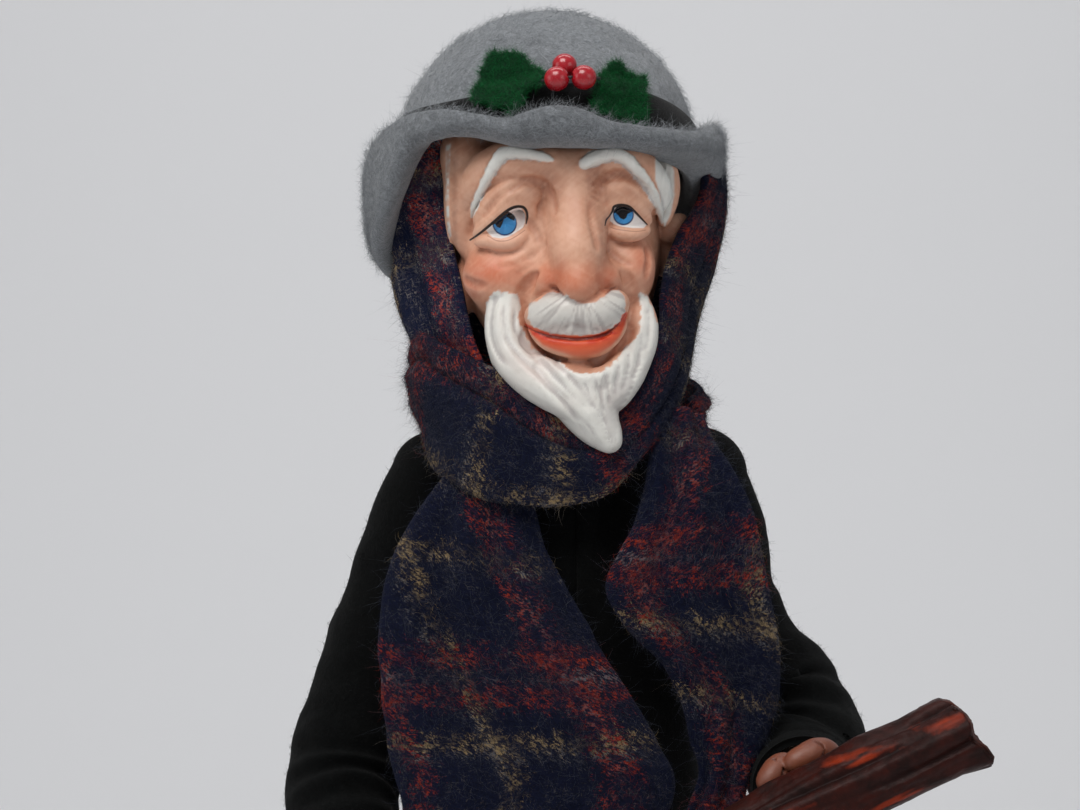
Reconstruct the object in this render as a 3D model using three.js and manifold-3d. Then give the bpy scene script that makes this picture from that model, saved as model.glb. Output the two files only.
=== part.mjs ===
// Caroler doll: a dressed old-man figure on a stand, 330 mm tall, carrying a log in both arms.
// Millimetres, +Z up, the face looks along -Y, +X is the doll's own left. The origin is the middle of the stand's underside.
import * as THREE from "three";
import { mergeVertices } from "three/addons/utils/BufferGeometryUtils.js";
import Module from "manifold-3d";

const wasm = await Module();
wasm.setup();

// ---- driving dimensions -------------------------------------------------------------------------
const GAP = 0.3; // clearance between pieces that touch on the real doll
const BASE = { w: 100, d: 78, h: 9.5, corner: 14, bevel: 1.2 };
const WIRE_R = 1.1; // armature wire
const NECK_ROD_R = 1.5;
const NECK = { x: 0, y: 3.2 }; // axis of the neck rod, about which the head turns
const SHOULDER = { y: 6.4, z: 238 }; // line through both shoulders, about which the arms swing
const RIGHT_CAP = { x: -26, r: 8.8 }; // top of the sleeve on the doll's right arm
const LEFT_CAP = { x: 27, r: 9.6 };
const FELT = 2.0; // coat felt
const SLEEVE_FELT = 1.7;
const HAT = { x: -3, y: 2, z: 291, pitch: -19, roll: -4, r: 28.5, ball: 30.2, centre: 10, brim: 35.5, felt: 2.6, sides: 28 };
const LOG = { ax: 72.5, az: 192.6, bx: -15.7, bz: 145.7, y: -48.3 };
const COAT_HEM = 88;
const WRAP_TOP = 266; // the neck wrap of the scarf ends here, under the hood part

// ---- helpers ------------------------------------------------------------------------------------
const V = (x, y, z) => new THREE.Vector3(x, y, z);
const rad = THREE.MathUtils.degToRad;

// A closed three.js geometry as a solid, turned right side out if its faces point inwards.
function solid(geometry) {
  const g = geometry.index ? geometry.toNonIndexed() : geometry.clone();
  for (const name of Object.keys(g.attributes)) if (name !== "position") g.deleteAttribute(name);
  const merged = mergeVertices(g, 1e-3);
  const make = (flip) => {
    const tri = new Uint32Array(merged.index.array);
    if (flip) for (let i = 0; i < tri.length; i += 3) [tri[i + 1], tri[i + 2]] = [tri[i + 2], tri[i + 1]];
    return new wasm.Manifold(
      new wasm.Mesh({ numProp: 3, vertProperties: new Float32Array(merged.attributes.position.array), triVerts: tri }),
    );
  };
  const made = make(false);
  return made.volume() < 0 ? make(true) : made;
}

function geometryOf(s) {
  const m = s.getMesh();
  const g = new THREE.BufferGeometry();
  const p = new Float32Array(m.numVert * 3);
  for (let i = 0; i < m.numVert; i++) for (let k = 0; k < 3; k++) p[3 * i + k] = m.vertProperties[m.numProp * i + k];
  g.setAttribute("position", new THREE.BufferAttribute(p, 3));
  g.setIndex(new THREE.BufferAttribute(new Uint32Array(m.triVerts), 1));
  g.computeVertexNormals();
  return g;
}

// Rows of [z, cx, cy, a, b]: ellipses stacked along Z, made from a lathed profile of radius one.
function loft(rows, seg = 24, grow = 0) {
  const pts = [new THREE.Vector2(0, rows[0][0])];
  for (const r of rows) pts.push(new THREE.Vector2(1, r[0]));
  pts.push(new THREE.Vector2(0, rows[rows.length - 1][0]));
  const g = new THREE.LatheGeometry(pts, seg);
  const pos = g.attributes.position;
  for (let i = 0; i < pos.count; i++) {
    const x = pos.getX(i), h = pos.getY(i), y = pos.getZ(i);
    let k = 0;
    let best = Infinity;
    rows.forEach((r, j) => { const d = Math.abs(r[0] - h); if (d < best) { best = d; k = j; } });
    const [z, cx, cy, a, b] = rows[k];
    const dz = k === 0 ? -grow : k === rows.length - 1 ? grow : 0;
    pos.setXYZ(i, cx + x * (a + grow), cy + y * (b + grow), z + dz);
  }
  return solid(g);
}

// The same rows, resampled along smooth curves through them.
function smoothRows(rows, n) {
  const line = (k) => new THREE.CatmullRomCurve3(rows.map((r) => V(r[0], r[k], 0)), false, "centripetal");
  const out = [];
  for (let i = 0; i <= n; i++) {
    const t = i / n;
    const at = [1, 2, 3, 4].map((k) => line(k).getPoint(t));
    out.push([at[2].x, at[0].y, at[1].y, at[2].y, at[3].y]);
  }
  out[0][0] = rows[0][0];
  out[n][0] = rows[rows.length - 1][0];
  return out;
}

// A round tube of changing radius along a smooth line, made from a cylinder whose rings are moved.
function limb(points, radii, seg = 16, rings = 12, grow = 0, flatten = 1) {
  const curve = new THREE.CatmullRomCurve3(points.map((p) => V(...p)), false, "centripetal");
  const g = new THREE.CylinderGeometry(1, 1, 1, seg, rings);
  const frames = curve.computeFrenetFrames(rings, false);
  const pos = g.attributes.position;
  const n = radii.length - 1;
  for (let i = 0; i < pos.count; i++) {
    const x = pos.getX(i), t = 0.5 - pos.getY(i), z = pos.getZ(i);
    const k = Math.round(t * rings);
    const c = curve.getPoint(t);
    const at = Math.min(t * n, n - 1e-9);
    const j = Math.floor(at);
    const r = radii[j] + (radii[j + 1] - radii[j]) * (at - j) + grow;
    c.addScaledVector(frames.normals[k], x * r * flatten).addScaledVector(frames.binormals[k], z * r);
    pos.setXYZ(i, c.x, c.y, c.z);
  }
  return solid(g);
}

function wire(points, r, steps = 40, sides = 6) {
  const curve = new THREE.CatmullRomCurve3(points.map((p) => V(...p)), false, "centripetal");
  const section = new THREE.Shape();
  for (let i = 0; i < sides; i++) {
    const a = (2 * Math.PI * i) / sides;
    section[i ? "lineTo" : "moveTo"](r * Math.cos(a), r * Math.sin(a));
  }
  section.closePath();
  return solid(new THREE.ExtrudeGeometry(section, { steps, bevelEnabled: false, extrudePath: curve, curveSegments: 1 }));
}

const ball = (x, y, z, r, w = 12, h = 8, sx = 1, sy = 1, sz = 1) =>
  solid(new THREE.SphereGeometry(r, w, h).scale(sx, sy, sz).translate(x, y, z));
const box = (x0, x1, y0, y1, z0, z1) =>
  solid(new THREE.BoxGeometry(x1 - x0, y1 - y0, z1 - z0).translate((x0 + x1) / 2, (y0 + y1) / 2, (z0 + z1) / 2));
const post = (x, y, z0, z1, r, seg = 8) =>
  solid(new THREE.CylinderGeometry(r, r, z1 - z0, seg).rotateX(Math.PI / 2).translate(x, y, (z0 + z1) / 2));
const bar = (x0, x1, y, z, r, seg = 8) =>
  solid(new THREE.CylinderGeometry(r, r, x1 - x0, seg).rotateZ(Math.PI / 2).translate((x0 + x1) / 2, y, z));
const join = (...s) => s.reduce((a, b) => a.add(b));
// Keeps the largest connected piece, dropping slivers that a cut leaves.
function main(s) {
  const parts = s.decompose();
  return parts.reduce((a, b) => (b.volume() > a.volume() ? b : a));
}

// ---- materials ----------------------------------------------------------------------------------
const mat = (color, roughness, metalness = 0) => new THREE.MeshStandardMaterial({ color, roughness, metalness });
const M = {
  base: mat(0x15110f, 0.45),
  wire: mat(0x6c6c6c, 0.4, 0.8),
  paper: mat(0xd9d2c4, 0.9),
  trousers: mat(0x55565a, 0.95),
  shoe: mat(0x111010, 0.35),
  coat: mat(0x0e0f10, 0.97),
  clay: mat(0xd79f82, 0.5),
  skin: mat(0xb9836a, 0.6),
  log: mat(0x4a1d14, 0.5),
  hat: mat(0x8d9296, 0.97),
  band: mat(0x0b0b0b, 0.95),
  leaf: mat(0x17532c, 0.95),
  berry: mat(0xc01f2c, 0.3),
  thread: mat(0x101010, 0.8),
  scarf: mat(0x23283f, 0.95),
};

const group = new THREE.Group();
const nodes = {};
function add(name, s, material) {
  const mesh = new THREE.Mesh(geometryOf(main(s)), material);
  mesh.name = name;
  group.add(mesh);
  nodes[name] = s;
}

// ---- stand --------------------------------------------------------------------------------------
{
  const { w, d, h, corner, bevel } = BASE;
  const outline = new THREE.Shape();
  const x = w / 2 - bevel, y = d / 2 - bevel, c = corner;
  outline.moveTo(-x + c, -y);
  outline.lineTo(x - c, -y);
  outline.absarc(x - c, -y + c, c, -Math.PI / 2, 0, false);
  outline.lineTo(x, y - c);
  outline.absarc(x - c, y - c, c, 0, Math.PI / 2, false);
  outline.lineTo(-x + c, y);
  outline.absarc(-x + c, y - c, c, Math.PI / 2, Math.PI, false);
  outline.lineTo(-x, -y + c);
  outline.absarc(-x + c, -y + c, c, Math.PI, 1.5 * Math.PI, false);
  const g = new THREE.ExtrudeGeometry(outline, {
    depth: h - 2 * bevel, bevelEnabled: true, bevelThickness: bevel, bevelSize: bevel, bevelSegments: 1, curveSegments: 3,
  }).translate(0, 0, bevel);
  const holes = join(post(-12.5, 4, 2.5, 12, WIRE_R + GAP), post(12.5, 4, 2.5, 12, WIRE_R + GAP));
  add("stand", solid(g).subtract(holes), M.base);
}

// ---- armature -----------------------------------------------------------------------------------
const hairpin = [
  [-12.5, 4, 3], [-12.5, 4, 30], [-12.5, 4, 60], [-12.5, 4, 100], [-11.5, 4, 135], [-9, 4, 170], [-5.5, 4, 198], [0, 4, 207],
  [5.5, 4, 198], [9, 4, 170], [11.5, 4, 135], [12.5, 4, 100], [12.5, 4, 60], [12.5, 4, 30], [12.5, 4, 3],
];
add("leg_wire", wire(hairpin, WIRE_R, 22), M.wire);
const legWireHole = wire(hairpin.map(([x, y, z], i, all) => [x, y, i === 0 || i === all.length - 1 ? z - 2 : z]), WIRE_R + 0.65, 22);

const neckTop = 290;
add("neck_rod", post(NECK.x, NECK.y, 212, neckTop, NECK_ROD_R, 12), M.wire);
const neckHole = post(NECK.x, NECK.y, 211, neckTop + 1, NECK_ROD_R + GAP, 12);

// One wire runs from hand to hand, straight along the shoulder line inside the body, so both arms swing together.
const rightWire = [[-21, 6.4, 238], [-28, 6.4, 234], [-33, 6, 222], [-39, 5, 200], [-43.5, 1.5, 177], [-38.5, -15, 162], [-29, -31, 148], [-22, -38, 142.5]];
const leftWire = [[22, 6.4, 238], [29, 6.4, 234], [32.8, 6, 222], [34.6, 5.6, 210], [44, 4, 192], [48.5, -10, 182.5], [46.5, -24, 180.5], [45, -29, 181]];
const across = [[-14, 6.4, 238], [-7, 6.4, 238], [7, 6.4, 238], [14, 6.4, 238]];
const armWire = [...rightWire.slice().reverse(), ...across, ...leftWire];
add("arm_wire", wire(armWire, WIRE_R, 40), M.wire);
const armHole = bar(-30, 30, SHOULDER.y, SHOULDER.z, WIRE_R + 0.55);
const rightWireHole = wire(extend([[-14, 6.4, 238], ...rightWire], 0.8), WIRE_R + 1.1, 20);
const leftWireHole = wire(extend([[14, 6.4, 238], ...leftWire], 0.8), WIRE_R + 1.1, 20);

// ---- sleeves ------------------------------------------------------------------------------------
const rightPath = [[-26, 6.4, 238], [-30.2, 6.4, 230], [-33.2, 6, 221], [-36.4, 5.6, 210.5], [-39.8, 5, 199], [-43.5, 2, 180], [-43, -7, 168], [-38, -17, 160], [-29.5, -31, 148]];
const rightR = [8.2, 8, 8.2, 8.8, 9.6, 11.2, 10.5, 9.3, 8];
const leftPath = [[27, 6.4, 238], [30.6, 6.4, 230.5], [32.8, 6, 222], [34, 5.6, 213], [38, 5.2, 203], [44.5, 3.2, 193], [48, -6, 185], [48.5, -14, 182], [46.5, -25, 180.5]];
const leftR = [8.8, 8.3, 8.2, 8.4, 9.6, 11.8, 11, 9.8, 8.6];
const capBall = (cap, grow) => ball(cap.x, SHOULDER.y, SHOULDER.z, cap.r + grow, 12, 8);
const pockets = join(capBall(RIGHT_CAP, 0.7), capBall(LEFT_CAP, 0.7));

function extend(path, by) {
  const a = V(...path[path.length - 2]), b = V(...path[path.length - 1]);
  const e = b.clone().add(b.clone().sub(a).normalize().multiplyScalar(by));
  return [...path.slice(0, -1), [e.x, e.y, e.z]];
}
function sleeve(path, radii, cap) {
  const outer = join(limb(path, radii, 10, 9), capBall(cap, 0));
  const inner = join(limb(extend(path, 3), radii, 8, 8, -SLEEVE_FELT), ball(cap.x, SHOULDER.y, SHOULDER.z, cap.r - SLEEVE_FELT - 0.4, 8, 6));
  return { outer, inner };
}
const rs = sleeve(rightPath, rightR, RIGHT_CAP);
const ls = sleeve(leftPath, leftR, LEFT_CAP);
const wireIn = join(bar(-26, -8, SHOULDER.y, SHOULDER.z, 2.4), bar(8, 27, SHOULDER.y, SHOULDER.z, 2.4));
add("right_sleeve", rs.outer.subtract(rs.inner).subtract(wireIn), M.coat);
add("left_sleeve", ls.outer.subtract(ls.inner).subtract(wireIn), M.coat);
// Paper wound round each arm wire fills the sleeve and stops short of the cuff.
const shorten = (path, n) => path.slice(0, path.length - n);
add("right_arm_padding", limb(shorten(rightPath, 1), shorten(rightR, 1), 8, 6, -SLEEVE_FELT - 2.3).subtract(rightWireHole), M.paper);
add("left_arm_padding", limb(shorten(leftPath, 1), shorten(leftR, 1), 8, 6, -SLEEVE_FELT - 2.3).subtract(leftWireHole), M.paper);

// ---- log ----------------------------------------------------------------------------------------
const logA = V(LOG.ax, LOG.y, LOG.az), logB = V(LOG.bx, LOG.y, LOG.bz);
const logDir = logA.clone().sub(logB).normalize();
const logLen = logA.distanceTo(logB);
function logSolid(grow) {
  const s = new THREE.Shape();
  const n = 16;
  for (let i = 0; i < n; i++) {
    const a = (2 * Math.PI * i) / n;
    const r = 8.0 + 0.75 * Math.cos(2 * (a - 1.2)) + 0.45 * Math.cos(5 * a + 0.6) + grow;
    s[i ? "lineTo" : "moveTo"](r * Math.cos(a), r * Math.sin(a));
  }
  s.closePath();
  const g = new THREE.ExtrudeGeometry(s, { depth: logLen + 2 * grow, steps: 5, bevelEnabled: false }).translate(0, 0, -grow);
  const pos = g.attributes.position;
  for (let i = 0; i < pos.count; i++) {
    const t = pos.getZ(i) / logLen;
    const k = 1 + 0.05 * Math.cos(6 * t) - 0.06 * (t - 0.5) * (t - 0.5) * 4;
    pos.setXYZ(i, pos.getX(i) * k, pos.getY(i) * k, pos.getZ(i));
  }
  const q = new THREE.Quaternion().setFromUnitVectors(V(0, 0, 1), logDir);
  g.applyQuaternion(q).translate(logB.x, logB.y, logB.z);
  return solid(g);
}
add("log", logSolid(0), M.log);
const logRoom = logSolid(GAP + 0.1);

// ---- hands --------------------------------------------------------------------------------------
{
  const f = (pts, r) => limb(pts, r, 6, 3);
  // The left hand lies behind the log: thumb and first finger along its top, the others under it.
  const palm = ball(43.5, -33.5, 181, 6.2, 8, 6, 1.15, 0.72, 1.1);
  const hand = join(
    palm,
    limb([[46.8, -22, 180.5], [46, -28, 181], [44, -33, 181]], [4.4, 4.5, 4.2], 8, 2),
    f([[44, -34, 184], [45, -37, 188], [48, -39.2, 191]], [2.5, 2.5, 2.0]),
    f([[40, -34, 183], [38, -37, 185.5], [37.5, -40, 187]], [2.3, 2.2, 1.8]),
    f([[46, -34, 177], [47.5, -38, 171.5], [49, -44, 169], [50, -50, 169]], [2.3, 2.2, 2.1, 1.8]),
    f([[42.3, -34, 175.5], [43, -38, 169], [44.2, -44.5, 166.2], [45, -51, 166.5]], [2.3, 2.2, 2.1, 1.8]),
    f([[38.5, -34, 176], [38.8, -37.5, 168], [39.5, -43.5, 164], [40.2, -49.5, 164]], [2.2, 2.1, 2.0, 1.7]),
  );
  add("left_hand", hand.subtract(logRoom).subtract(leftWireHole), M.skin);
  // The right hand carries the lower end from below.
  const under = join(
    ball(-13.5, -45, 135.6, 6.4, 8, 6, 1.1, 1.05, 0.6),
    limb([[-30.5, -29.5, 149], [-24, -37, 143.5], [-17, -43, 137.5]], [4.3, 4.4, 4.0], 8, 2),
    f([[-13, -49, 134], [-9.5, -54.5, 135.5], [-8.5, -58, 141]], [2.3, 2.2, 1.8]),
    f([[-10, -47.5, 134.5], [-5, -53.5, 137.5], [-3.5, -57.8, 143]], [2.3, 2.2, 1.8]),
    f([[-8, -44.5, 135.5], [-1.5, -50.5, 139.5], [1.2, -56.8, 145]], [2.2, 2.1, 1.7]),
    f([[-16.5, -47.5, 134], [-14.5, -54.5, 133.5], [-14, -58, 138]], [2.2, 2.1, 1.7]),
    f([[-15, -40.5, 137.5], [-10.5, -37, 142], [-7.5, -36.5, 147]], [2.5, 2.4, 2.0]),
  );
  add("right_hand", under.subtract(logRoom).subtract(rightWireHole), M.skin);
}

// ---- body and legs ------------------------------------------------------------------------------
const coatRows = [
  [COAT_HEM, 0, 3, 40, 31], [110, 0, 3, 37.2, 28.8], [138, 0, 3, 32.6, 25.2], [160, 0, 3, 29.2, 21.8], [180, 0, 3, 26.8, 19.4],
  [202, 0, 3, 23.4, 19], [226, 0, 3.5, 20.6, 18.8], [238, 0, 4, 21.2, 15.4], [243.5, 0, 4, 19, 12.6], [247, 0, 4, 14, 10.6],
];
const coatOuter = loft(coatRows, 20);
const coatInner = loft([[COAT_HEM - 3, 0, 3, 38, 29], ...coatRows.map(([z, cx, cy, a, b]) => [z, cx, cy, a - FELT, b - FELT]), [250, 0, 4, 9.4, 7.6]].map((r, i, all) => (i === all.length - 2 ? [247.2, 0, 4, 11, 8] : r)), 20);
const coatShell = coatOuter.subtract(coatInner).subtract(post(NECK.x, NECK.y, 240, 252, 9.8, 14)).subtract(pockets).subtract(wireIn);
const big = 90;
add("coat_back", coatShell.intersect(box(-big, big, 4.15, big, 60, 260)), M.coat);
add("coat_front_right", coatShell.intersect(box(-big, 2.85, -big, 3.85, 60, 260)), M.coat);
add("coat_front_left", coatShell.intersect(box(3.15, big, -big, 3.85, 60, 260)), M.coat);

const torsoRows = [[131, 0, 3.5, 17, 10.6], [134, 0, 3.5, 19.6, 12.8], [150, 0, 3, 21.4, 14.4], [178, 0, 3, 22, 15.2], [206, 0, 3, 19.2, 15.4], [226, 0, 3.4, 17.4, 15], [236, 0, 4, 17.2, 12.6], [243.8, 0, 4, 12, 8.4]];
add("paper_body", loft(torsoRows, 14).subtract(pockets).subtract(armHole).subtract(neckHole).subtract(legWireHole), M.paper);

const legOuter = (x, grow, z0, z1) => loft([[z0, x, 4, 9.6, 10.2], [55, x, 4, 9.3, 9.9], [90, x, 4, 10.6, 11.3], [z1, x * 0.95, 4, 11.6, 12.6]].map(([z, cx, cy, a, b]) => [z, cx, cy, a + grow, b + grow]), 12);
const hips = (grow, z0, z1) => loft([[z0, 0, 3.5, 21.5, 13.4], [124, 0, 3.5, 24, 15.6], [z1, 0, 3, 25.6, 17.4]].map(([z, cx, cy, a, b]) => [z, cx, cy, a + grow, b + grow]), 14);
const CLOTH = 1.5;
const trousersOut = join(legOuter(-12.3, 0, 23.5, 118), legOuter(12.3, 0, 23.5, 118), hips(0, 110, 156));
const trousersIn = join(legOuter(-12.3, -CLOTH, 20, 118), legOuter(12.3, -CLOTH, 20, 118), hips(-CLOTH, 112, 160));
add("trousers", trousersOut.subtract(trousersIn), M.trousers);
for (const [side, x] of [["right", -12.3], ["left", 12.3]])
  add(side + "_leg_padding", loft([[34.5, x, 4, 6.6, 7.2], [60, x, 4, 6.6, 7.2], [90, x, 4, 7.4, 8.1], [109, x * 0.97, 4, 7.9, 8.7]], 8).subtract(legWireHole), M.paper);

for (const [side, s] of [["right", -1], ["left", 1]]) {
  const x = 12.5 * s;
  const last = limb([[x, 13.5, 15], [x, 8, 15.5], [x + 0.5 * s, -2, 15.2], [x + 2 * s, -14, 13.2], [x + 2.8 * s, -23.5, 12.2]], [4.2, 6.8, 6.9, 6.4, 3.6], 10, 6);
  const ankle = loft([[13, x, 4, 6.6, 8.4], [19, x, 4, 6.3, 7.6], [23, x, 4, 5.9, 6.4], [33, x, 4, 5.6, 5.8]], 10);
  const shoe = join(last, ankle).subtract(box(-60, 60, -60, 60, -10, BASE.h + GAP));
  add(side + "_shoe", shoe.subtract(legWireHole), M.shoe);
}

// ---- head ---------------------------------------------------------------------------------------
const headRows = [
  [246.5, 0, 4, 8, 8], [253, 0, 3.6, 8.4, 8.6], [256.5, 0.4, 0, 10.5, 12.5], [260, 0.6, -2.4, 13.2, 16.4], [266, 0.6, -2.4, 16.4, 18.6],
  [273, 0.2, -1.6, 18.8, 20], [281, -0.2, -0.4, 20.4, 21.2], [289, -0.4, 0.2, 21.2, 21.6], [297, -0.6, 1, 21, 21.6], [304, -0.8, 2.6, 19.4, 20.2],
  [310, -1, 5, 16.4, 17.4], [315, -1.4, 7.6, 11.4, 12.6], [317.5, -1.6, 8.4, 5, 6],
];
const skull = (grow) => loft(headRows, 16, grow);
const nose = join(
  limb([[1.5, -20, 291], [2.6, -22.6, 284], [3.6, -25, 278.6], [3.4, -20, 274]], [2.2, 3, 3.9, 2.6], 8, 4),
  ball(0.2, -22.4, 277.3, 2.9, 7, 5), ball(6.8, -22.2, 277.5, 2.9, 7, 5),
);
const beardRows = [[243.2, 7.2, -24.4, 1.8, 1.6], [246, 6.4, -24, 4.2, 3.2], [250, 5.4, -22.6, 6.8, 4.6], [255, 3.8, -20.8, 10.2, 6.2], [260, 2.2, -17.2, 13.4, 8.8], [266, 1.2, -13, 16.2, 12.2], [271, 0.8, -9.5, 18, 14]];
const beard = loft(beardRows, 12);
const ears = join(ball(-21.2, 2, 283.5, 5, 8, 6, 0.45, 0.8, 1.25), ball(20.6, 2, 283.5, 5, 8, 6, 0.45, 0.8, 1.25));
const head = join(skull(0), nose, beard, ears);
add("head", head.subtract(neckHole), M.clay);

// ---- hat ----------------------------------------------------------------------------------------
const hatMatrix = new THREE.Matrix4().makeRotationY(rad(HAT.roll)).multiply(new THREE.Matrix4().makeRotationX(rad(HAT.pitch))).setPosition(HAT.x, HAT.y, HAT.z);
const inHat = (geometry) => solid(geometry.applyMatrix4(hatMatrix));
// The crown is part of a ball that stands on a short straight foot.
const crownAt = (z, grow = 0) => Math.sqrt((HAT.ball + grow) ** 2 - (z - HAT.centre) ** 2);
function dome(grow, from) {
  const pts = [new THREE.Vector2(0, from), new THREE.Vector2(HAT.r + grow, from)];
  if (from < 1) pts.push(new THREE.Vector2(HAT.r + grow, 1));
  const a0 = -Math.asin((HAT.centre - 3) / (HAT.ball + grow));
  for (let i = 0; i <= 8; i++) {
    const a = a0 + ((Math.PI / 2 - a0) * i) / 8;
    pts.push(new THREE.Vector2((HAT.ball + grow) * Math.cos(a), HAT.centre + (HAT.ball + grow) * Math.sin(a)));
  }
  pts[pts.length - 1].x = 0;
  return inHat(new THREE.LatheGeometry(pts, HAT.sides).rotateX(Math.PI / 2));
}
// The brim is rolled, and waves as it goes round: [angle from the front, height above the crown's foot].
const BRIM_WAVE = [[-180, -3.4], [-150, -2.9], [-120, -1.2], [-90, 2.6], [-60, 4.5], [-40, 5.8], [-30, 5.2], [-20, 3], [-10, 0.9], [0, 0.7], [10, 0.3], [20, -0.7], [30, -0.7], [40, 0], [50, 1.1], [60, 3.3], [70, 5.5], [80, 6.6], [90, 5.4], [120, 0.2], [150, -2.4], [180, -3.4]];
function bendBrim(geometry) {
  const p = geometry.attributes.position;
  for (let i = 0; i < p.count; i++) {
    const x = p.getX(i), y = p.getY(i);
    const t = Math.min(1, Math.max(0, (Math.hypot(x, y) - 28.7) / 4.4));
    const a = (Math.atan2(x, -y) * 180) / Math.PI;
    let k = 1;
    while (k < BRIM_WAVE.length - 1 && BRIM_WAVE[k][0] < a) k++;
    const [a0, z0] = BRIM_WAVE[k - 1], [a1, z1] = BRIM_WAVE[k];
    p.setZ(i, p.getZ(i) + t * t * (3 - 2 * t) * (z0 + ((z1 - z0) * (a - a0)) / (a1 - a0)));
  }
  return geometry;
}
function brimRing(grow) {
  const R = HAT.brim;
  const pts = [
    [HAT.r - 3, -1.4 - grow], [R - 3, -1.3 - grow], [R - 0.6, 0.2 - grow * 0.7], [R + grow, 2.2], [R - 0.8, 4.1 + grow], [R - 2.4, 3.7 + grow], [R - 4, 1.9 + grow], [HAT.r - 3, 1.4 + grow],
  ].map(([r, z]) => new THREE.Vector2(r, z));
  pts.push(pts[0].clone());
  return inHat(bendBrim(new THREE.LatheGeometry(pts, HAT.sides).rotateX(Math.PI / 2)));
}
const hat = join(dome(0, -1.2), brimRing(0)).subtract(dome(-HAT.felt, -8));
add("hat", hat.subtract(skull(0.35)), M.hat);
{
  const rows = [2.3, 6.5, 10.8];
  const pts = [...rows.map((z) => [crownAt(z) + 0.3, z]), ...rows.reverse().map((z) => [crownAt(z) + 1.4, z])].map(([r, z]) => new THREE.Vector2(r, z));
  pts.push(pts[0].clone());
  add("hat_band", inHat(new THREE.LatheGeometry(pts, HAT.sides).rotateX(Math.PI / 2)).subtract(brimRing(0.3)), M.band);
}
// Holly leaves and berries on the front of the band.
function leaf(angle, height, tilt, size, seed) {
  const s = new THREE.Shape();
  const n = 16;
  for (let i = 0; i < n; i++) {
    const a = (2 * Math.PI * i) / n;
    const spike = i % 2 ? 0.72 : 1.0 + 0.08 * Math.sin(seed + i);
    s[i ? "lineTo" : "moveTo"](size * spike * Math.cos(a), 0.74 * size * spike * Math.sin(a));
  }
  s.closePath();
  const g = new THREE.ExtrudeGeometry(s, { depth: 1.4, bevelEnabled: false });
  g.rotateZ(rad(tilt)).rotateX(Math.PI / 2); // upright, facing -Y
  g.translate(0, -HAT.ball - 1.9, height).rotateX(rad(-4)).rotateZ(rad(angle));
  return inHat(g);
}
const clearHat = join(
  brimRing(0.25), dome(0.3, 1.5),
  inHat(new THREE.LatheGeometry([[0, 2], [31, 2], [31.9, 6.5], [32, 11.1], [0, 11.1]].map(([r, z]) => new THREE.Vector2(r, z)), HAT.sides).rotateX(Math.PI / 2)),
);
add("holly_leaf_right", leaf(-11.2, 13.4, -14, 7.2, 0.3).subtract(clearHat), M.leaf);
add("holly_leaf_left", leaf(26.8, 9.8, -38, 6.6, 1.9).subtract(clearHat), M.leaf);
const berryAt = [[2.7, -35, 11.4], [7.8, -34.8, 11.4], [4.4, -32.35, 15.3]];
const BERRY_R = 2.38, BORE = 0.55;
const threadDir = V(...berryAt[1]).sub(V(...berryAt[0])).normalize();
function bead([x, y, z], i) {
  const pts = [];
  const a0 = Math.asin(BORE / BERRY_R);
  for (let k = 0; k <= 7; k++) {
    const a = a0 + ((Math.PI - 2 * a0) * k) / 7;
    pts.push(new THREE.Vector2(BERRY_R * Math.sin(a), -BERRY_R * Math.cos(a)));
  }
  pts.push(pts[0].clone());
  const g = new THREE.LatheGeometry(pts, 12);
  g.applyQuaternion(new THREE.Quaternion().setFromUnitVectors(V(0, 1, 0), threadDir)).translate(x, y, z);
  add("berry_" + (i + 1), inHat(g), M.berry);
}
berryAt.forEach(bead);
const threadPts = [-2.9, 0, 2.6, 5.1, 8].map((d) => V(...berryAt[0]).addScaledVector(threadDir, d).applyMatrix4(hatMatrix)).map((v) => [v.x, v.y, v.z]);
add("berry_thread", wire(threadPts, 0.28, 4, 6), M.thread);

// ---- scarf --------------------------------------------------------------------------------------
// One strip of cloth on the real doll: over the head under the hat, round the neck, and two hanging ends.
const hoodOuter = loft([[WRAP_TOP + 0.5, -1, 3, 28, 25.5], [276, -1.2, 2.6, 30, 26.8], [286, -1.4, 2.2, 31.2, 27.2], [296, -1, 2.2, 28.8, 26.8], [305, -1, 2.2, 26.5, 26]], 16);
const hoodInner = loft([[WRAP_TOP - 2, -1, 3, 23.5, 21], [276, -1, 2.6, 24.6, 22.8], [290, -1, 2.4, 25.4, 23.6], [307, -1, 2.4, 23, 22.6]], 16);
// Everything below the brim's underside, as a slab that tilts with the hat.
const underBrim = inHat(new THREE.BoxGeometry(200, 200, 100).translate(0, 0, -50 - 1.75));
const overBrim = inHat(new THREE.BoxGeometry(200, 200, 100).translate(0, 0, 50 - 3));
const hoodTop = dome(-HAT.felt - 0.35, -6).intersect(overBrim);
const faceCut = box(-80, 80, -80, -9, 200, 340);
const hood = join(hoodOuter.intersect(underBrim).subtract(hoodInner).subtract(brimRing(0.35)), hoodTop)
  .subtract(skull(0.7)).subtract(faceCut).subtract(box(-80, 80, -80, 80, 200, WRAP_TOP + 0.5))
  .subtract(join(ball(-21.2, 2, 283.5, 5.6, 8, 6, 0.56, 0.9, 1.32), ball(20.6, 2, 283.5, 5.6, 8, 6, 0.56, 0.9, 1.32)));
add("scarf_hood", hood.subtract(neckHole), M.scarf);

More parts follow.
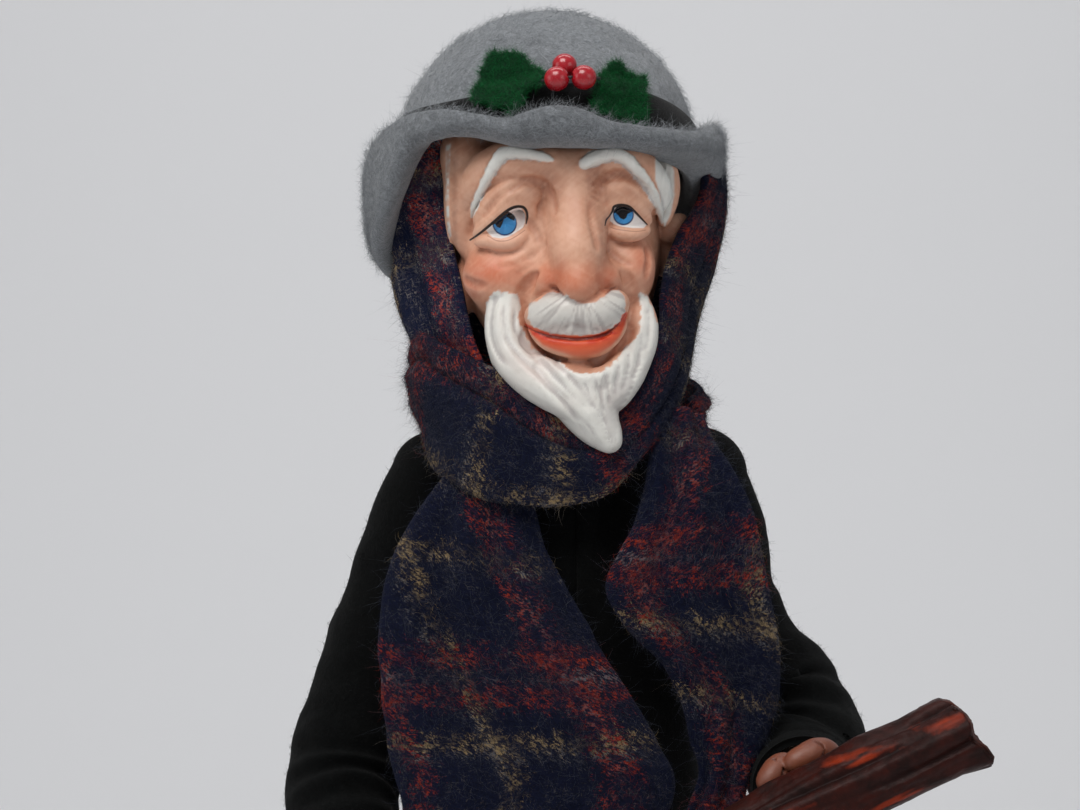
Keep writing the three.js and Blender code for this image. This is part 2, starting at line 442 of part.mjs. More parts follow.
function beardSweep() {
  // The room that the beard needs as the head turns: a sector in front of the neck.
  const s = new THREE.Shape();
  const r0 = 17, r1 = 60, a0 = rad(-90 - 58), a1 = rad(-90 + 66), n = 8;
  for (let i = 0; i <= n; i++) { const a = a0 + ((a1 - a0) * i) / n; s[i ? "lineTo" : "moveTo"](NECK.x + r0 * Math.cos(a), NECK.y + r0 * Math.sin(a)); }
  for (let i = n; i >= 0; i--) { const a = a0 + ((a1 - a0) * i) / n; s.lineTo(NECK.x + r1 * Math.cos(a), NECK.y + r1 * Math.sin(a)); }
  s.closePath();
  return solid(new THREE.ExtrudeGeometry(s, { depth: 40, bevelEnabled: false }).translate(0, 0, 241.6));
}
const wrapOuter = loft([[230.5, 0, 1.5, 17, 20], [232.5, 0, 1, 20.5, 23], [238, -0.4, 1.5, 24, 24.4], [246, -1, 2.6, 26.4, 25], [256, -1.4, 3, 28.4, 25.6], [WRAP_TOP, -1.2, 3, 27.6, 24.6]], 18);
const wrapInner = loft([[228, 12.8], [247, 12.8], [253.5, 17.4], [259, 20.2], [WRAP_TOP + 2, 20.4]].map(([z, r]) => [z, NECK.x, NECK.y, r, r]), 16);
const coatRoom = loft(coatRows, 20, 0.4);
const capRoom = join(capBall(RIGHT_CAP, 0.6), capBall(LEFT_CAP, 0.6));
const wrap = wrapOuter.subtract(wrapInner).subtract(coatRoom).subtract(capRoom).subtract(beardSweep());
add("scarf_neck_wrap", wrap, M.scarf);

// The hanging ends: slabs that lie on the front of the coat. Rows of [z, left edge, right edge].
function coatFront(x, z) {
  const k = Math.max(0, Math.min(coatRows.length - 2, coatRows.findIndex((r) => r[0] > z) - 1));
  const [p, q] = [coatRows[k], coatRows[k + 1]];
  const t = Math.min(1, Math.max(0, (z - p[0]) / (q[0] - p[0])));
  const [, , cy, a, b] = p.map((v, i) => v + (q[i] - v) * t);
  const u = Math.min(0.84, Math.abs(x) / a);
  return cy - b * Math.sqrt(1 - u * u);
}
function tail(rows, thick) {
  const n = rows.length - 1;
  const g = new THREE.BoxGeometry(1, 1, 1, 5, 1, n);
  const pos = g.attributes.position;
  for (let i = 0; i < pos.count; i++) {
    const k = Math.round((pos.getZ(i) + 0.5) * n);
    const [z, x0, x1] = rows[k];
    const u = pos.getX(i) + 0.5;
    const x = x0 + (x1 - x0) * u;
    const edge = Math.pow(Math.abs(2 * u - 1), 3);
    const yb = Math.min(coatFront(x, z) - 1.3, -14.5 - 0.001 * x * x);
    pos.setXYZ(i, x, pos.getY(i) < 0 ? yb - thick * (1 - 0.4 * edge) : yb, z);
  }
  return solid(g);
}
const rightTail = tail([[112, -17, 8], [124, -19, 10], [138, -20, 11], [150, -19, 12], [160, -24, 13.5], [170, -28.5, 14], [182, -32.5, 14], [194, -34.5, 9.5], [206, -34.5, 5.5], [216, -34, 0.5], [224, -31.5, -2], [230, -26, -4.5]], 5);
const leftTail = tail([[118, 14.5, 32], [130, 15, 33], [145, 16, 33], [160, 17, 32], [172, 17.5, 31.5], [184, 18, 32], [192, 16.5, 35.5], [200, 13.5, 38], [210, 9, 39], [218, 10, 38.5], [226, 12.5, 36], [236, 15, 31.5]], 5.2);
const wrapRoom = loft([[229.9, 0, 1.5, 17.4, 20.4], [232.1, 0, 1, 21, 23.5], [238, -0.4, 1.5, 24.5, 24.9], [246, -1, 2.6, 26.9, 25.5], [256, -1.4, 3, 28.9, 26.1]], 18);
add("scarf_right_end", rightTail.subtract(wrapRoom), M.scarf);
add("scarf_left_end", leftTail.subtract(wrapRoom), M.scarf);

export default group;
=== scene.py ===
"""Looks of the caroler doll: painted clay head, felt hat with holly, brushed wool plaid scarf, felt coat, log, trousers, shoes and stand.
Metres, +Z up, the face looks along -Y, +X is the doll's own left. Every mesh is made here in millimetres and scaled once, in add_mesh()."""
import math

import bmesh
import bpy
import numpy as np
from mathutils import Matrix, Vector


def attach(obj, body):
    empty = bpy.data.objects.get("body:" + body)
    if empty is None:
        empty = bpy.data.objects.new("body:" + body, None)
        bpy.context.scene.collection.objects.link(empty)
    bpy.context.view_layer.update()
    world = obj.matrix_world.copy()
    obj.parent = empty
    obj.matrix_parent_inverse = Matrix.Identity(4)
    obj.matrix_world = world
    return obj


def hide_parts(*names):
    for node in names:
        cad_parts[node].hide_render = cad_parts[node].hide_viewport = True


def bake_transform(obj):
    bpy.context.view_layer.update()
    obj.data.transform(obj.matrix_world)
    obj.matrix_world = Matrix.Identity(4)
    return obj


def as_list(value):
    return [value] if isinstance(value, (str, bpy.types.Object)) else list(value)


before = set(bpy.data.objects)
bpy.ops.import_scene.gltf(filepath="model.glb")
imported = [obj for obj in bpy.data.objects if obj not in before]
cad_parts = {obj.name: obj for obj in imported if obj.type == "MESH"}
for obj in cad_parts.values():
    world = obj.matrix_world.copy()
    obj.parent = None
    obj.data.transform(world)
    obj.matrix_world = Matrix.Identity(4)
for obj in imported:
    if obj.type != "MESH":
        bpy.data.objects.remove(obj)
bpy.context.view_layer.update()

MM = 0.001
f4 = np.float32


# ---- small maths ----------------------------------------------------------------------------------
def smoothstep(a, b, x):
    t = np.clip((x - a) / (b - a), 0.0, 1.0)
    return t * t * (3 - 2 * t)


def mix(a, b, t):
    return a + (b - a) * t


def catmull(points, n, closed=False):
    """n points along a smooth curve through points (k, d), evenly spread by length."""
    p = np.asarray(points, float)
    if closed:
        p = np.vstack([p[-1], p, p[0], p[1]])
    else:
        p = np.vstack([2 * p[0] - p[1], p, 2 * p[-1] - p[-2]])
    out = []
    for i in range(1, len(p) - 2):
        t = np.linspace(0, 1, 24, endpoint=False)[:, None]
        a, b, c, d = p[i - 1], p[i], p[i + 1], p[i + 2]
        out.append(0.5 * (2 * b + (c - a) * t + (2 * a - 5 * b + 4 * c - d) * t**2 + (3 * b - a - 3 * c + d) * t**3))
    out = np.vstack(out + [p[-2][None]])
    s = np.r_[0, np.cumsum(np.linalg.norm(np.diff(out, axis=0), axis=1))]
    u = np.linspace(0, s[-1], n + 1 if closed else n)
    if closed:
        u = u[:-1]
    return np.stack([np.interp(u, s, out[:, k]) for k in range(out.shape[1])], 1)


def curve_at(ts, values):
    """A smooth function through (ts, values), as a callable on arrays."""
    ts = np.asarray(ts, float)
    values = np.asarray(values, float)

    def f(x):
        x = np.clip(x, ts[0], ts[-1])
        i = np.clip(np.searchsorted(ts, x, side="right") - 1, 0, len(ts) - 2)
        h = ts[i + 1] - ts[i]
        t = (x - ts[i]) / h
        m = np.gradient(values, ts)
        a, b, ma, mb = values[i], values[i + 1], m[i] * h, m[i + 1] * h
        return (2 * t**3 - 3 * t**2 + 1) * a + (t**3 - 2 * t**2 + t) * ma + (-2 * t**3 + 3 * t**2) * b + (t**3 - t**2) * mb

    return f


def lattice_noise(p, scale, seed=0):
    """Smooth value noise in -1..1 at points p (n, 3), period far larger than the doll."""
    q = np.asarray(p, np.float64) / scale + 1000.0 + seed * 17.31
    i = np.floor(q).astype(np.int64)
    f = q - i
    f = f * f * f * (f * (f * 6 - 15) + 10)

    def h(a, b, c):
        n = (a * 73856093) ^ (b * 19349663) ^ (c * 83492791) ^ (seed * 2654435761 & 0x7FFFFFFF)
        n = (n ^ (n >> 13)) * 1274126177 & 0x7FFFFFFF
        n = (n ^ (n >> 16)) & 0xFFFF
        return n / 32767.5 - 1.0

    out = 0.0
    for dx in (0, 1):
        for dy in (0, 1):
            for dz in (0, 1):
                w = (f[..., 0] if dx else 1 - f[..., 0]) * (f[..., 1] if dy else 1 - f[..., 1]) * (f[..., 2] if dz else 1 - f[..., 2])
                out = out + w * h(i[..., 0] + dx, i[..., 1] + dy, i[..., 2] + dz)
    return out


def fbm(p, scale, octaves=3, seed=0):
    out, amp, tot = 0.0, 1.0, 0.0
    for k in range(octaves):
        out = out + amp * lattice_noise(p, scale / 2**k, seed + 31 * k)
        tot += amp
        amp *= 0.5
    return out / tot


def polyline_distance(p, line, radii=None):
    """Distance from points p (n, d) to a polyline (m, d), the position along it in 0..1, and the interpolated radius."""
    p = np.asarray(p, float)
    line = np.asarray(line, float)
    best = np.full(len(p), 1e9)
    along = np.zeros(len(p))
    seg = np.linalg.norm(np.diff(line, axis=0), axis=1)
    cum = np.r_[0, np.cumsum(seg)] / max(seg.sum(), 1e-9)
    for k in range(len(line) - 1):
        a, b = line[k], line[k + 1]
        ab = b - a
        t = np.clip(((p - a) @ ab) / max(ab @ ab, 1e-12), 0, 1)
        d = np.linalg.norm(p - a - t[:, None] * ab, axis=1)
        m = d < best
        best[m] = d[m]
        along[m] = (cum[k] + (cum[k + 1] - cum[k]) * t)[m]
    if radii is None:
        return best, along
    return best, along, np.interp(along, cum, radii)


# ---- solids from distance fields --------------------------------------------------------------------
class Field:
    """A signed distance grid in millimetres. Each stroke only touches the cells near it."""

    def __init__(self, lo, hi, h):
        self.lo = np.array(lo, float)
        self.h = h
        self.n = np.ceil((np.array(hi, float) - self.lo) / h).astype(int) + 1
        self.f = np.full(self.n, 9.0, f4)
        self.axes = [(self.lo[k] + h * np.arange(self.n[k])).astype(f4) for k in range(3)]

    def _window(self, lo, hi):
        a = np.clip(np.floor((np.array(lo) - self.lo) / self.h).astype(int), 0, self.n - 1)
        b = np.clip(np.ceil((np.array(hi) - self.lo) / self.h).astype(int) + 1, 1, self.n)
        s = tuple(slice(int(i), int(max(j, i + 1))) for i, j in zip(a, b))
        g = [self.axes[k][s[k]] for k in range(3)]
        return s, g[0][:, None, None], g[1][None, :, None], g[2][None, None, :]

    def _blend(self, s, d, k, cut):
        a = self.f[s]
        if cut:
            d = -d
            if k <= 0:
                self.f[s] = np.maximum(a, d)
            else:
                h = np.clip(0.5 - 0.5 * (a - d) / k, 0, 1)
                self.f[s] = a + (d - a) * h + k * h * (1 - h)
        elif k <= 0:
            self.f[s] = np.minimum(a, d)
        else:
            h = np.clip(0.5 + 0.5 * (a - d) / k, 0, 1)
            self.f[s] = a + (d - a) * h - k * h * (1 - h)

    def ellipsoid(self, c, r, k=0.0, cut=False, rot=None):
        c, r = np.array(c, float), np.array(r, float) * np.ones(3)
        m = r.max() + k * 1.5 + 2.5
        s, x, y, z = self._window(c - m, c + m)
        x, y, z = x - f4(c[0]), y - f4(c[1]), z - f4(c[2])
        if rot is not None:
            R = np.array(rot.to_3x3() if isinstance(rot, Matrix) else rot, f4)
            x, y, z = R[0, 0] * x + R[1, 0] * y + R[2, 0] * z, R[0, 1] * x + R[1, 1] * y + R[2, 1] * z, R[0, 2] * x + R[1, 2] * y + R[2, 2] * z
        k0 = np.sqrt((x / r[0]) ** 2 + (y / r[1]) ** 2 + (z / r[2]) ** 2)
        k1 = np.sqrt((x / r[0] ** 2) ** 2 + (y / r[1] ** 2) ** 2 + (z / r[2] ** 2) ** 2)
        d = (k0 * (k0 - 1) / np.maximum(k1, 1e-6)).astype(f4)
        self._blend(s, d, f4(k), cut)

    def tube(self, pts, radii, k=0.0, cut=False, n=None, squash=None):
        """A tube through pts whose radius changes along it. squash flattens it along one direction."""
        pts = np.asarray(pts, float)
        radii = np.asarray(radii, float) * np.ones(len(pts))
        if n is None:
            n = max(2, 5 * (len(pts) - 1) + 1)
        data = np.c_[pts, radii]
        line = catmull(data, n) if len(pts) > 2 else np.linspace(data[0], data[1], 2)
        for a, b in zip(line[:-1], line[1:]):
            r0, r1 = a[3], b[3]
            m = max(r0, r1) + k * 1.5 + 1.2
            s, x, y, z = self._window(np.minimum(a[:3], b[:3]) - m, np.maximum(a[:3], b[:3]) + m)
            ab = b[:3] - a[:3]
            L2 = max(ab @ ab, 1e-9)
            px, py, pz = x - f4(a[0]), y - f4(a[1]), z - f4(a[2])
            t = np.clip((px * f4(ab[0]) + py * f4(ab[1]) + pz * f4(ab[2])) / f4(L2), 0, 1)
            dx, dy, dz = px - t * f4(ab[0]), py - t * f4(ab[1]), pz - t * f4(ab[2])
            if squash is not None:
                q, amount = np.array(squash[0], float), squash[1]
                q = q / np.linalg.norm(q)
                dq = dx * f4(q[0]) + dy * f4(q[1]) + dz * f4(q[2])
                w = f4(amount - 1)
                dx, dy, dz = dx + dq * w * f4(q[0]), dy + dq * w * f4(q[1]), dz + dq * w * f4(q[2])
            d = np.sqrt(dx * dx + dy * dy + dz * dz) - (f4(r0) + f4(r1 - r0) * t)
            self._blend(s, d.astype(f4), f4(k), cut)

    def displace(self, lo, hi, fn):
        """Adds fn(points) to the field near its surface inside a box: positive carves, negative raises."""
        s, x, y, z = self._window(lo, hi)
        sub = self.f[s]
        near = np.abs(sub) < 2.2
        idx = np.argwhere(near)
        if not len(idx):
            return
        p = np.stack([x.ravel()[idx[:, 0]], y.ravel()[idx[:, 1]], z.ravel()[idx[:, 2]]], 1).astype(np.float64)
        sub[near] += fn(p).astype(f4)
        self.f[s] = sub

    def mesh(self):
        F, h = self.f, self.h
        S = F < 0
        corners = [(i, j, k) for i in (0, 1) for j in (0, 1) for k in (0, 1)]
        nx, ny, nz = F.shape
        count = np.zeros((nx - 1, ny - 1, nz - 1), np.int8)
        for i, j, k in corners:
            count += S[i:nx - 1 + i, j:ny - 1 + j, k:nz - 1 + k]
        active = (count > 0) & (count < 8)
        cells = np.argwhere(active)
        index = np.full(active.shape, -1, np.int32)
        index[active] = np.arange(len(cells))
        vals = {c: F[cells[:, 0] + c[0], cells[:, 1] + c[1], cells[:, 2] + c[2]].astype(float) for c in corners}
        acc, cnt = np.zeros((len(cells), 3)), np.zeros(len(cells))
        for a in corners:
            for ax in range(3):
                if a[ax]:
                    continue
                b = tuple(1 if q == ax else a[q] for q in range(3))
                fa, fb = vals[a], vals[b]
                m = (fa < 0) != (fb < 0)
                t = np.where(m, fa / np.where(m, fa - fb, 1), 0)
                p = np.array(a, float)[None] + t[:, None] * (np.array(b) - np.array(a))[None]
                acc[m] += p[m]
                cnt[m] += 1
        v = self.lo + h * (cells + acc / cnt[:, None])
        quads = []
        for ax in range(3):
            o1, o2 = [q for q in range(3) if q != ax]
            sl_a = [slice(1, -1)] * 3
            sl_a[ax] = slice(0, F.shape[ax] - 1)
            sl_b = list(sl_a)
            sl_b[ax] = slice(1, F.shape[ax])
            A, B = S[tuple(sl_a)], S[tuple(sl_b)]
            e = np.argwhere(A != B)
            inside_first = A[e[:, 0], e[:, 1], e[:, 2]]
            base = e + 1
            base[:, ax] -= 1
            def at(d1, d2):
                c = base.copy()
                c[:, o1] += d1
                c[:, o2] += d2
                return index[c[:, 0], c[:, 1], c[:, 2]]
            q = np.stack([at(-1, -1), at(0, -1), at(0, 0), at(-1, 0)], 1)
            flip = inside_first if ax in (0, 2) else ~inside_first
            q[~flip] = q[~flip][:, ::-1]
            quads.append(q)
        quads = np.vstack(quads)
        return v, quads[(quads >= 0).all(1)]

    def value(self, p):
        """The field at points p, by trilinear interpolation."""
        q = (np.asarray(p, float) - self.lo) / self.h
        i = np.clip(np.floor(q).astype(int), 0, self.n - 2)
        f = q - i
        out = 0
        for dx in (0, 1):
            for dy in (0, 1):
                for dz in (0, 1):
                    w = (f[:, 0] if dx else 1 - f[:, 0]) * (f[:, 1] if dy else 1 - f[:, 1]) * (f[:, 2] if dz else 1 - f[:, 2])
                    out = out + w * self.f[i[:, 0] + dx, i[:, 1] + dy, i[:, 2] + dz]
        return out


# ---- meshes in Blender ------------------------------------------------------------------------------
def add_mesh(name, verts_mm, faces, material=None, body=None, replaces=(), smooth=True):
    """A new object from vertices in millimetres."""
    me = bpy.data.meshes.new(name)
    verts = np.asarray(verts_mm, float) * MM
    if isinstance(faces, np.ndarray):
        n, k = faces.shape
        me.vertices.add(len(verts))
        me.vertices.foreach_set("co", verts.astype(f4).ravel())
        me.loops.add(n * k)
        me.loops.foreach_set("vertex_index", faces.astype(np.int32).ravel())
        me.polygons.add(n)
        me.polygons.foreach_set("loop_start", (np.arange(n) * k).astype(np.int32))
        me.update(calc_edges=True)
        me.validate(clean_customdata=False)
    else:
        me.from_pydata([tuple(v) for v in verts], [], [list(map(int, f)) for f in faces])
        me.update()
    me.polygons.foreach_set("use_smooth", np.full(len(me.polygons), bool(smooth)))
    ob = bpy.data.objects.new(name, me)
    bpy.context.scene.collection.objects.link(ob)
    if material is not None:
        for m in material if isinstance(material, (list, tuple)) else [material]:
            me.materials.append(m)
    if body:
        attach(ob, body)
    if replaces:
        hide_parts(*replaces)
    return ob


def attribute(ob, name, values, kind="FLOAT"):
    me = ob.data
    at = me.attributes.get(name) or me.attributes.new(name, kind, "POINT")
    values = np.asarray(values, f4)
    if kind == "FLOAT":
        at.data.foreach_set("value", values.ravel())
    elif kind == "FLOAT_COLOR":
        if values.shape[1] == 3:
            values = np.c_[values, np.ones(len(values), f4)]
        at.data.foreach_set("color", values.ravel())
    else:
        at.data.foreach_set("vector", values.ravel())
    return at


def grid_faces(nu, nv, wrap_u=False, wrap_v=False):
    """Quads of a grid whose vertex (i, j) is i * nv + j."""
    u = np.arange(nu if wrap_u else nu - 1)
    v = np.arange(nv if wrap_v else nv - 1)
    i, j = np.meshgrid(u, v, indexing="ij")
    i2, j2 = (i + 1) % nu, (j + 1) % nv
    return np.stack([i * nv + j, i2 * nv + j, i2 * nv + j2, i * nv + j2], -1).reshape(-1, 4)


def vertex_normals(v, faces):
    n = np.zeros_like(v)
    q = faces
    a = np.cross(v[q[:, 2]] - v[q[:, 0]], v[q[:, 3 % q.shape[1]]] - v[q[:, 1]])
    for k in range(q.shape[1]):
        np.add.at(n, q[:, k], a)
    return n / np.maximum(np.linalg.norm(n, axis=1, keepdims=True), 1e-12)


def shell(v, faces, nu, nv, thickness, wrap_u=False, wrap_v=False, inner=None):
    """A closed sheet from a grid: the outer surface v, and an inner one thickness further in. Returns vertices, quads."""
    n = vertex_normals(v, faces)
    t = np.asarray(thickness) * np.ones(len(v))
    w = v - n * t[:, None] if inner is None else inner
    allv = np.vstack([v, w])
    off = len(v)
    quads = [faces, faces[:, ::-1] + off]
    idx = np.arange(nu * nv).reshape(nu, nv)

    def rim(line, closed):
        a = line if closed else line[:-1]
        b = np.roll(line, -1) if closed else line[1:]
        return np.stack([a, a + off, b + off, b], 1)

    if not wrap_v:
        quads += [rim(idx[:, 0], wrap_u)[:, ::1], rim(idx[:, -1], wrap_u)[:, ::-1]]
    if not wrap_u:
        quads += [rim(idx[0, :], wrap_v)[:, ::-1], rim(idx[-1, :], wrap_v)[:, ::1]]
    return allv, np.vstack(quads)


def outward(v, faces):
    """Turns all faces round if the closed mesh is inside out."""
    c = v[faces]
    if faces.shape[1] == 4:
        tri = np.vstack([c[:, [0, 1, 2]], c[:, [0, 2, 3]]])
    else:
        tri = c
    vol = np.einsum("ij,ij->i", tri[:, 0], np.cross(tri[:, 1], tri[:, 2])).sum()
    return faces if vol > 0 else faces[:, ::-1]


def tube_mesh(pts, radii, sides=12, cap=True, up=(0, 0, 1), flat=1.0):
    """A closed round tube through pts (already dense), with shrunk round ends."""
    p = np.asarray(pts, float)
    r = np.asarray(radii, float) * np.ones(len(p))
    t = np.gradient(p, axis=0)
    t /= np.linalg.norm(t, axis=1, keepdims=True)
    n = np.cross(t[0], up)
    if np.linalg.norm(n) < 1e-3:
        n = np.cross(t[0], (1, 0, 0))
    n /= np.linalg.norm(n)
    frames = []
    for k in range(len(p)):
        n = n - t[k] * (n @ t[k])
        n /= np.linalg.norm(n)
        frames.append((n.copy(), np.cross(t[k], n)))
    rows, cents, rad = [], [], []
    ks = list(range(len(p)))
    if cap:
        q = [(0, math.cos(a), -math.sin(a)) for a in (1.45, 1.1, 0.7, 0.35)]
        for i, c, s in q:
            rows.append((0, s * r[0], c * r[0]))
    for k in ks:
        rows.append((k, 0.0, r[k]))
    if cap:
        for a in (0.35, 0.7, 1.1, 1.45):
            rows.append((len(p) - 1, math.sin(a) * r[-1], math.cos(a) * r[-1]))
    ang = np.linspace(0, 2 * np.pi, sides, endpoint=False)
    v = []
    for k, off, rr in rows:
        a, b = frames[k]
        c = p[k] + t[k] * off
        v.append(c + rr * (np.cos(ang)[:, None] * a + flat * np.sin(ang)[:, None] * b))
    v = np.vstack(v)
    n_rows = len(rows)
    quads = grid_faces(n_rows, sides, wrap_v=True)
    faces = [tuple(q) for q in quads]
    faces.append(tuple(range(sides)))
    faces.append(tuple(reversed(range((n_rows - 1) * sides, n_rows * sides))))
    c = v[quads]
    vol = np.einsum("ij,ij->i", c[:, 0], np.cross(c[:, 1], c[:, 2])).sum() + np.einsum("ij,ij->i", c[:, 0], np.cross(c[:, 2], c[:, 3])).sum()
    if vol < 0:
        faces = [tuple(reversed(f)) for f in faces]
    return v, faces


# ---- materials --------------------------------------------------------------------------------------
def srgb(r, g, b):
    """Linear colour from 0..255 sRGB numbers."""
    out = []
    for c in (r, g, b):
        c = c / 255
        out.append(c / 12.92 if c <= 0.04045 else ((c + 0.055) / 1.055) ** 2.4)
    return tuple(out)


class Nodes:
    """A short way to write a material's node tree."""

    def __init__(self, name, roughness=0.5, **sockets):
        self.m = bpy.data.materials.new(name)
        self.m.use_nodes = True
        self.t = self.m.node_tree
        self.t.nodes.clear()
        self.out = self.t.nodes.new("ShaderNodeOutputMaterial")
        self.bsdf = self.t.nodes.new("ShaderNodeBsdfPrincipled")
        self.t.links.new(self.bsdf.outputs[0], self.out.inputs[0])
        self.bsdf.inputs["Roughness"].default_value = roughness
        for k, v in sockets.items():
            self.bsdf.inputs[k.replace("_", " ")].default_value = v
        self._p = None

    def node(self, kind, **props):
        n = self.t.nodes.new(kind)
        for k, v in props.items():
            setattr(n, k, v)
        return n

    def link(self, a, b):
        self.t.links.new(a, b)
        return a

    def set(self, socket, value):
        if hasattr(value, "links"):
            self.link(value, socket)
        else:
            socket.default_value = value

    @property
    def p(self):
        """Position in the doll's own space, in metres."""
        if self._p is None:
            self._p = self.node("ShaderNodeTexCoord").outputs["Object"]
        return self._p

    def attr(self, name, what="Fac"):
        return self.node("ShaderNodeAttribute", attribute_name=name).outputs[what]

    def math(self, op, a, b=0.0, c=None, clamp=False):
        n = self.node("ShaderNodeMath", operation=op, use_clamp=clamp)
        self.set(n.inputs[0], a)
        self.set(n.inputs[1], b)
        if c is not None:
            self.set(n.inputs[2], c)
        return n.outputs[0]

    def noise(self, scale, detail=3.0, rough=0.5, vector=None, distortion=0.0, colour=False):
        n = self.node("ShaderNodeTexNoise")
        self.link(vector if vector is not None else self.p, n.inputs["Vector"])
        n.inputs["Scale"].default_value = scale
        n.inputs["Detail"].default_value = detail
        n.inputs["Roughness"].default_value = rough
        n.inputs["Distortion"].default_value = distortion
        return n.outputs["Color" if colour else "Fac"]

    def voronoi(self, scale, feature="F1", vector=None, out="Distance"):
        n = self.node("ShaderNodeTexVoronoi", feature=feature)
        self.link(vector if vector is not None else self.p, n.inputs["Vector"])
        n.inputs["Scale"].default_value = scale
        return n.outputs[out]

    def wave(self, scale, vector, distortion=0.0, detail=2.0, direction="X", profile="SIN"):
        n = self.node("ShaderNodeTexWave", bands_direction=direction, wave_profile=profile)
        self.link(vector, n.inputs["Vector"])
        n.inputs["Scale"].default_value = scale
        n.inputs["Distortion"].default_value = distortion
        n.inputs["Detail"].default_value = detail
        return n.outputs["Fac"]

    def mapped(self, scale=(1, 1, 1), rotation=(0, 0, 0), location=(0, 0, 0), vector=None):
        n = self.node("ShaderNodeMapping")
        self.link(vector if vector is not None else self.p, n.inputs["Vector"])
        n.inputs["Scale"].default_value = scale
        n.inputs["Rotation"].default_value = rotation
        n.inputs["Location"].default_value = location
        return n.outputs[0]

    def ramp(self, fac, stops, interpolation="LINEAR"):
        n = self.node("ShaderNodeValToRGB")
        n.color_ramp.interpolation = interpolation
        e = n.color_ramp.elements
        while len(e) < len(stops):
            e.new(0.5)
        for k, (pos, col) in enumerate(stops):
            e[k].position = pos
            if not hasattr(col, "__len__"):
                col = (col, col, col)
            e[k].color = (*col[:3], 1)
        self.link(fac, n.inputs[0])
        return n.outputs[0]

    def range(self, value, a, b, c=0.0, d=1.0, smooth=False):
        n = self.node("ShaderNodeMapRange", clamp=True, interpolation_type="SMOOTHSTEP" if smooth else "LINEAR")
        self.link(value, n.inputs[0])
        for i, v in zip((1, 2, 3, 4), (a, b, c, d)):
            n.inputs[i].default_value = v
        return n.outputs[0]

    def mix(self, fac, a, b, blend="MIX"):
        n = self.node("ShaderNodeMix", data_type="RGBA", blend_type=blend, clamp_factor=True)
        self.set(n.inputs[0], fac)
        for socket, v in ((n.inputs[6], a), (n.inputs[7], b)):
            if hasattr(v, "links"):
                self.link(v, socket)
            else:
                socket.default_value = (*v[:3], 1)
        return n.outputs[2]

    def bump(self, height, strength=0.4, distance=0.0002, normal=None):
        n = self.node("ShaderNodeBump")
        n.inputs["Strength"].default_value = strength
        n.inputs["Distance"].default_value = distance
        self.link(height, n.inputs["Height"])
        if normal is not None:
            self.link(normal, n.inputs["Normal"])
        return n.outputs[0]

    def done(self, colour=None, roughness=None, normal=None):
        if colour is not None:
            if hasattr(colour, "links"):
                self.link(colour, self.bsdf.inputs["Base Color"])
            else:
                self.bsdf.inputs["Base Color"].default_value = (*colour[:3], 1)
        if roughness is not None:
            self.set(self.bsdf.inputs["Roughness"], roughness)
        if normal is not None:
            self.link(normal, self.bsdf.inputs["Normal"])
        return self.m
# ==== fibres =========================================================================================
def fibres(name, base, normal, along, colour, length, radius, lift, seed, material, curl=0.35):
    """Short bent hairs, each a thin closed body: three sides, one bend, a pointed tip.
    base, normal and along are (n, 3); colour is (n, 3); length, radius and lift are numbers or (n,)."""
    rng = np.random.default_rng(seed)
    n = len(base)
    length = np.asarray(length) * (0.55 + 0.9 * rng.random(n))
    lift = np.asarray(lift) * (0.4 + 1.1 * rng.random(n))
    side = np.cross(normal, along)
    side /= np.maximum(np.linalg.norm(side, axis=1, keepdims=True), 1e-9)
    along = np.cross(side, normal)
    turn = rng.normal(0, curl, n)[:, None]
    d0 = along * np.cos(turn) + side * np.sin(turn)
    bend = turn + rng.normal(0, curl, n)[:, None]
    d1 = along * np.cos(bend) + side * np.sin(bend)
    l0 = lift[:, None]
    p0 = base - normal * 0.12
    p1 = base + d0 * (length * 0.5)[:, None] + normal * (l0 * (length * 0.35)[:, None] + 0.03)
    p2 = p1 + d1 * (length * 0.5)[:, None] + normal * l0 * (length * 0.5)[:, None] * rng.normal(0.5, 0.9, n)[:, None]
    r = (np.asarray(radius) * np.ones(n))[:, None]
    v = np.zeros((n, 7, 3))
    t0 = d0
    a = np.cross(t0, normal)
    b = normal
    for k in range(3):
        ang = 2 * np.pi * k / 3
        off = np.cos(ang) * a + np.sin(ang) * b
        v[:, k] = p0 + off * r
        v[:, 3 + k] = p1 + off * r * 0.75
    v[:, 6] = p2
    f = np.array([[0, 1, 2], [0, 3, 1], [1, 3, 4], [1, 4, 2], [2, 4, 5], [2, 5, 0], [0, 5, 3], [3, 6, 4], [4, 6, 5], [5, 6, 3]])
    faces = (f[None] + 7 * np.arange(n)[:, None, None]).reshape(-1, 3)
    verts = v.reshape(-1, 3)
    c = verts[faces[:10]]
    if np.einsum("ij,ij->i", c[:, 0] - verts[0], np.cross(c[:, 1] - verts[0], c[:, 2] - verts[0])).sum() < 0:
        faces = faces[:, ::-1].copy()
    ob = add_mesh(name, verts, faces, material)
    tone = colour * (0.8 + 0.4 * rng.random(n))[:, None]
    attribute(ob, "Paint", np.repeat(tone, 7, axis=0), "FLOAT_COLOR")
    return ob


def fibre_material(name, rough=0.75, gain=1.0, sheen=0.03, spec=0.12):
    k = Nodes(name, rough)
    base = k.attr("Paint", "Color")
    k.bsdf.inputs["Sheen Weight"].default_value = sheen
    k.bsdf.inputs["Sheen Roughness"].default_value = 0.4
    k.bsdf.inputs["Specular IOR Level"].default_value = spec
    speck = k.range(k.noise(700, 2), 0.35, 0.65, 0.85 * gain, 1.15 * gain)
    grey = k.node("ShaderNodeCombineXYZ")
    for s in grey.inputs:
        k.link(speck, s)
    return k.done(k.mix(1.0, base, grey.outputs[0], "MULTIPLY"), rough)


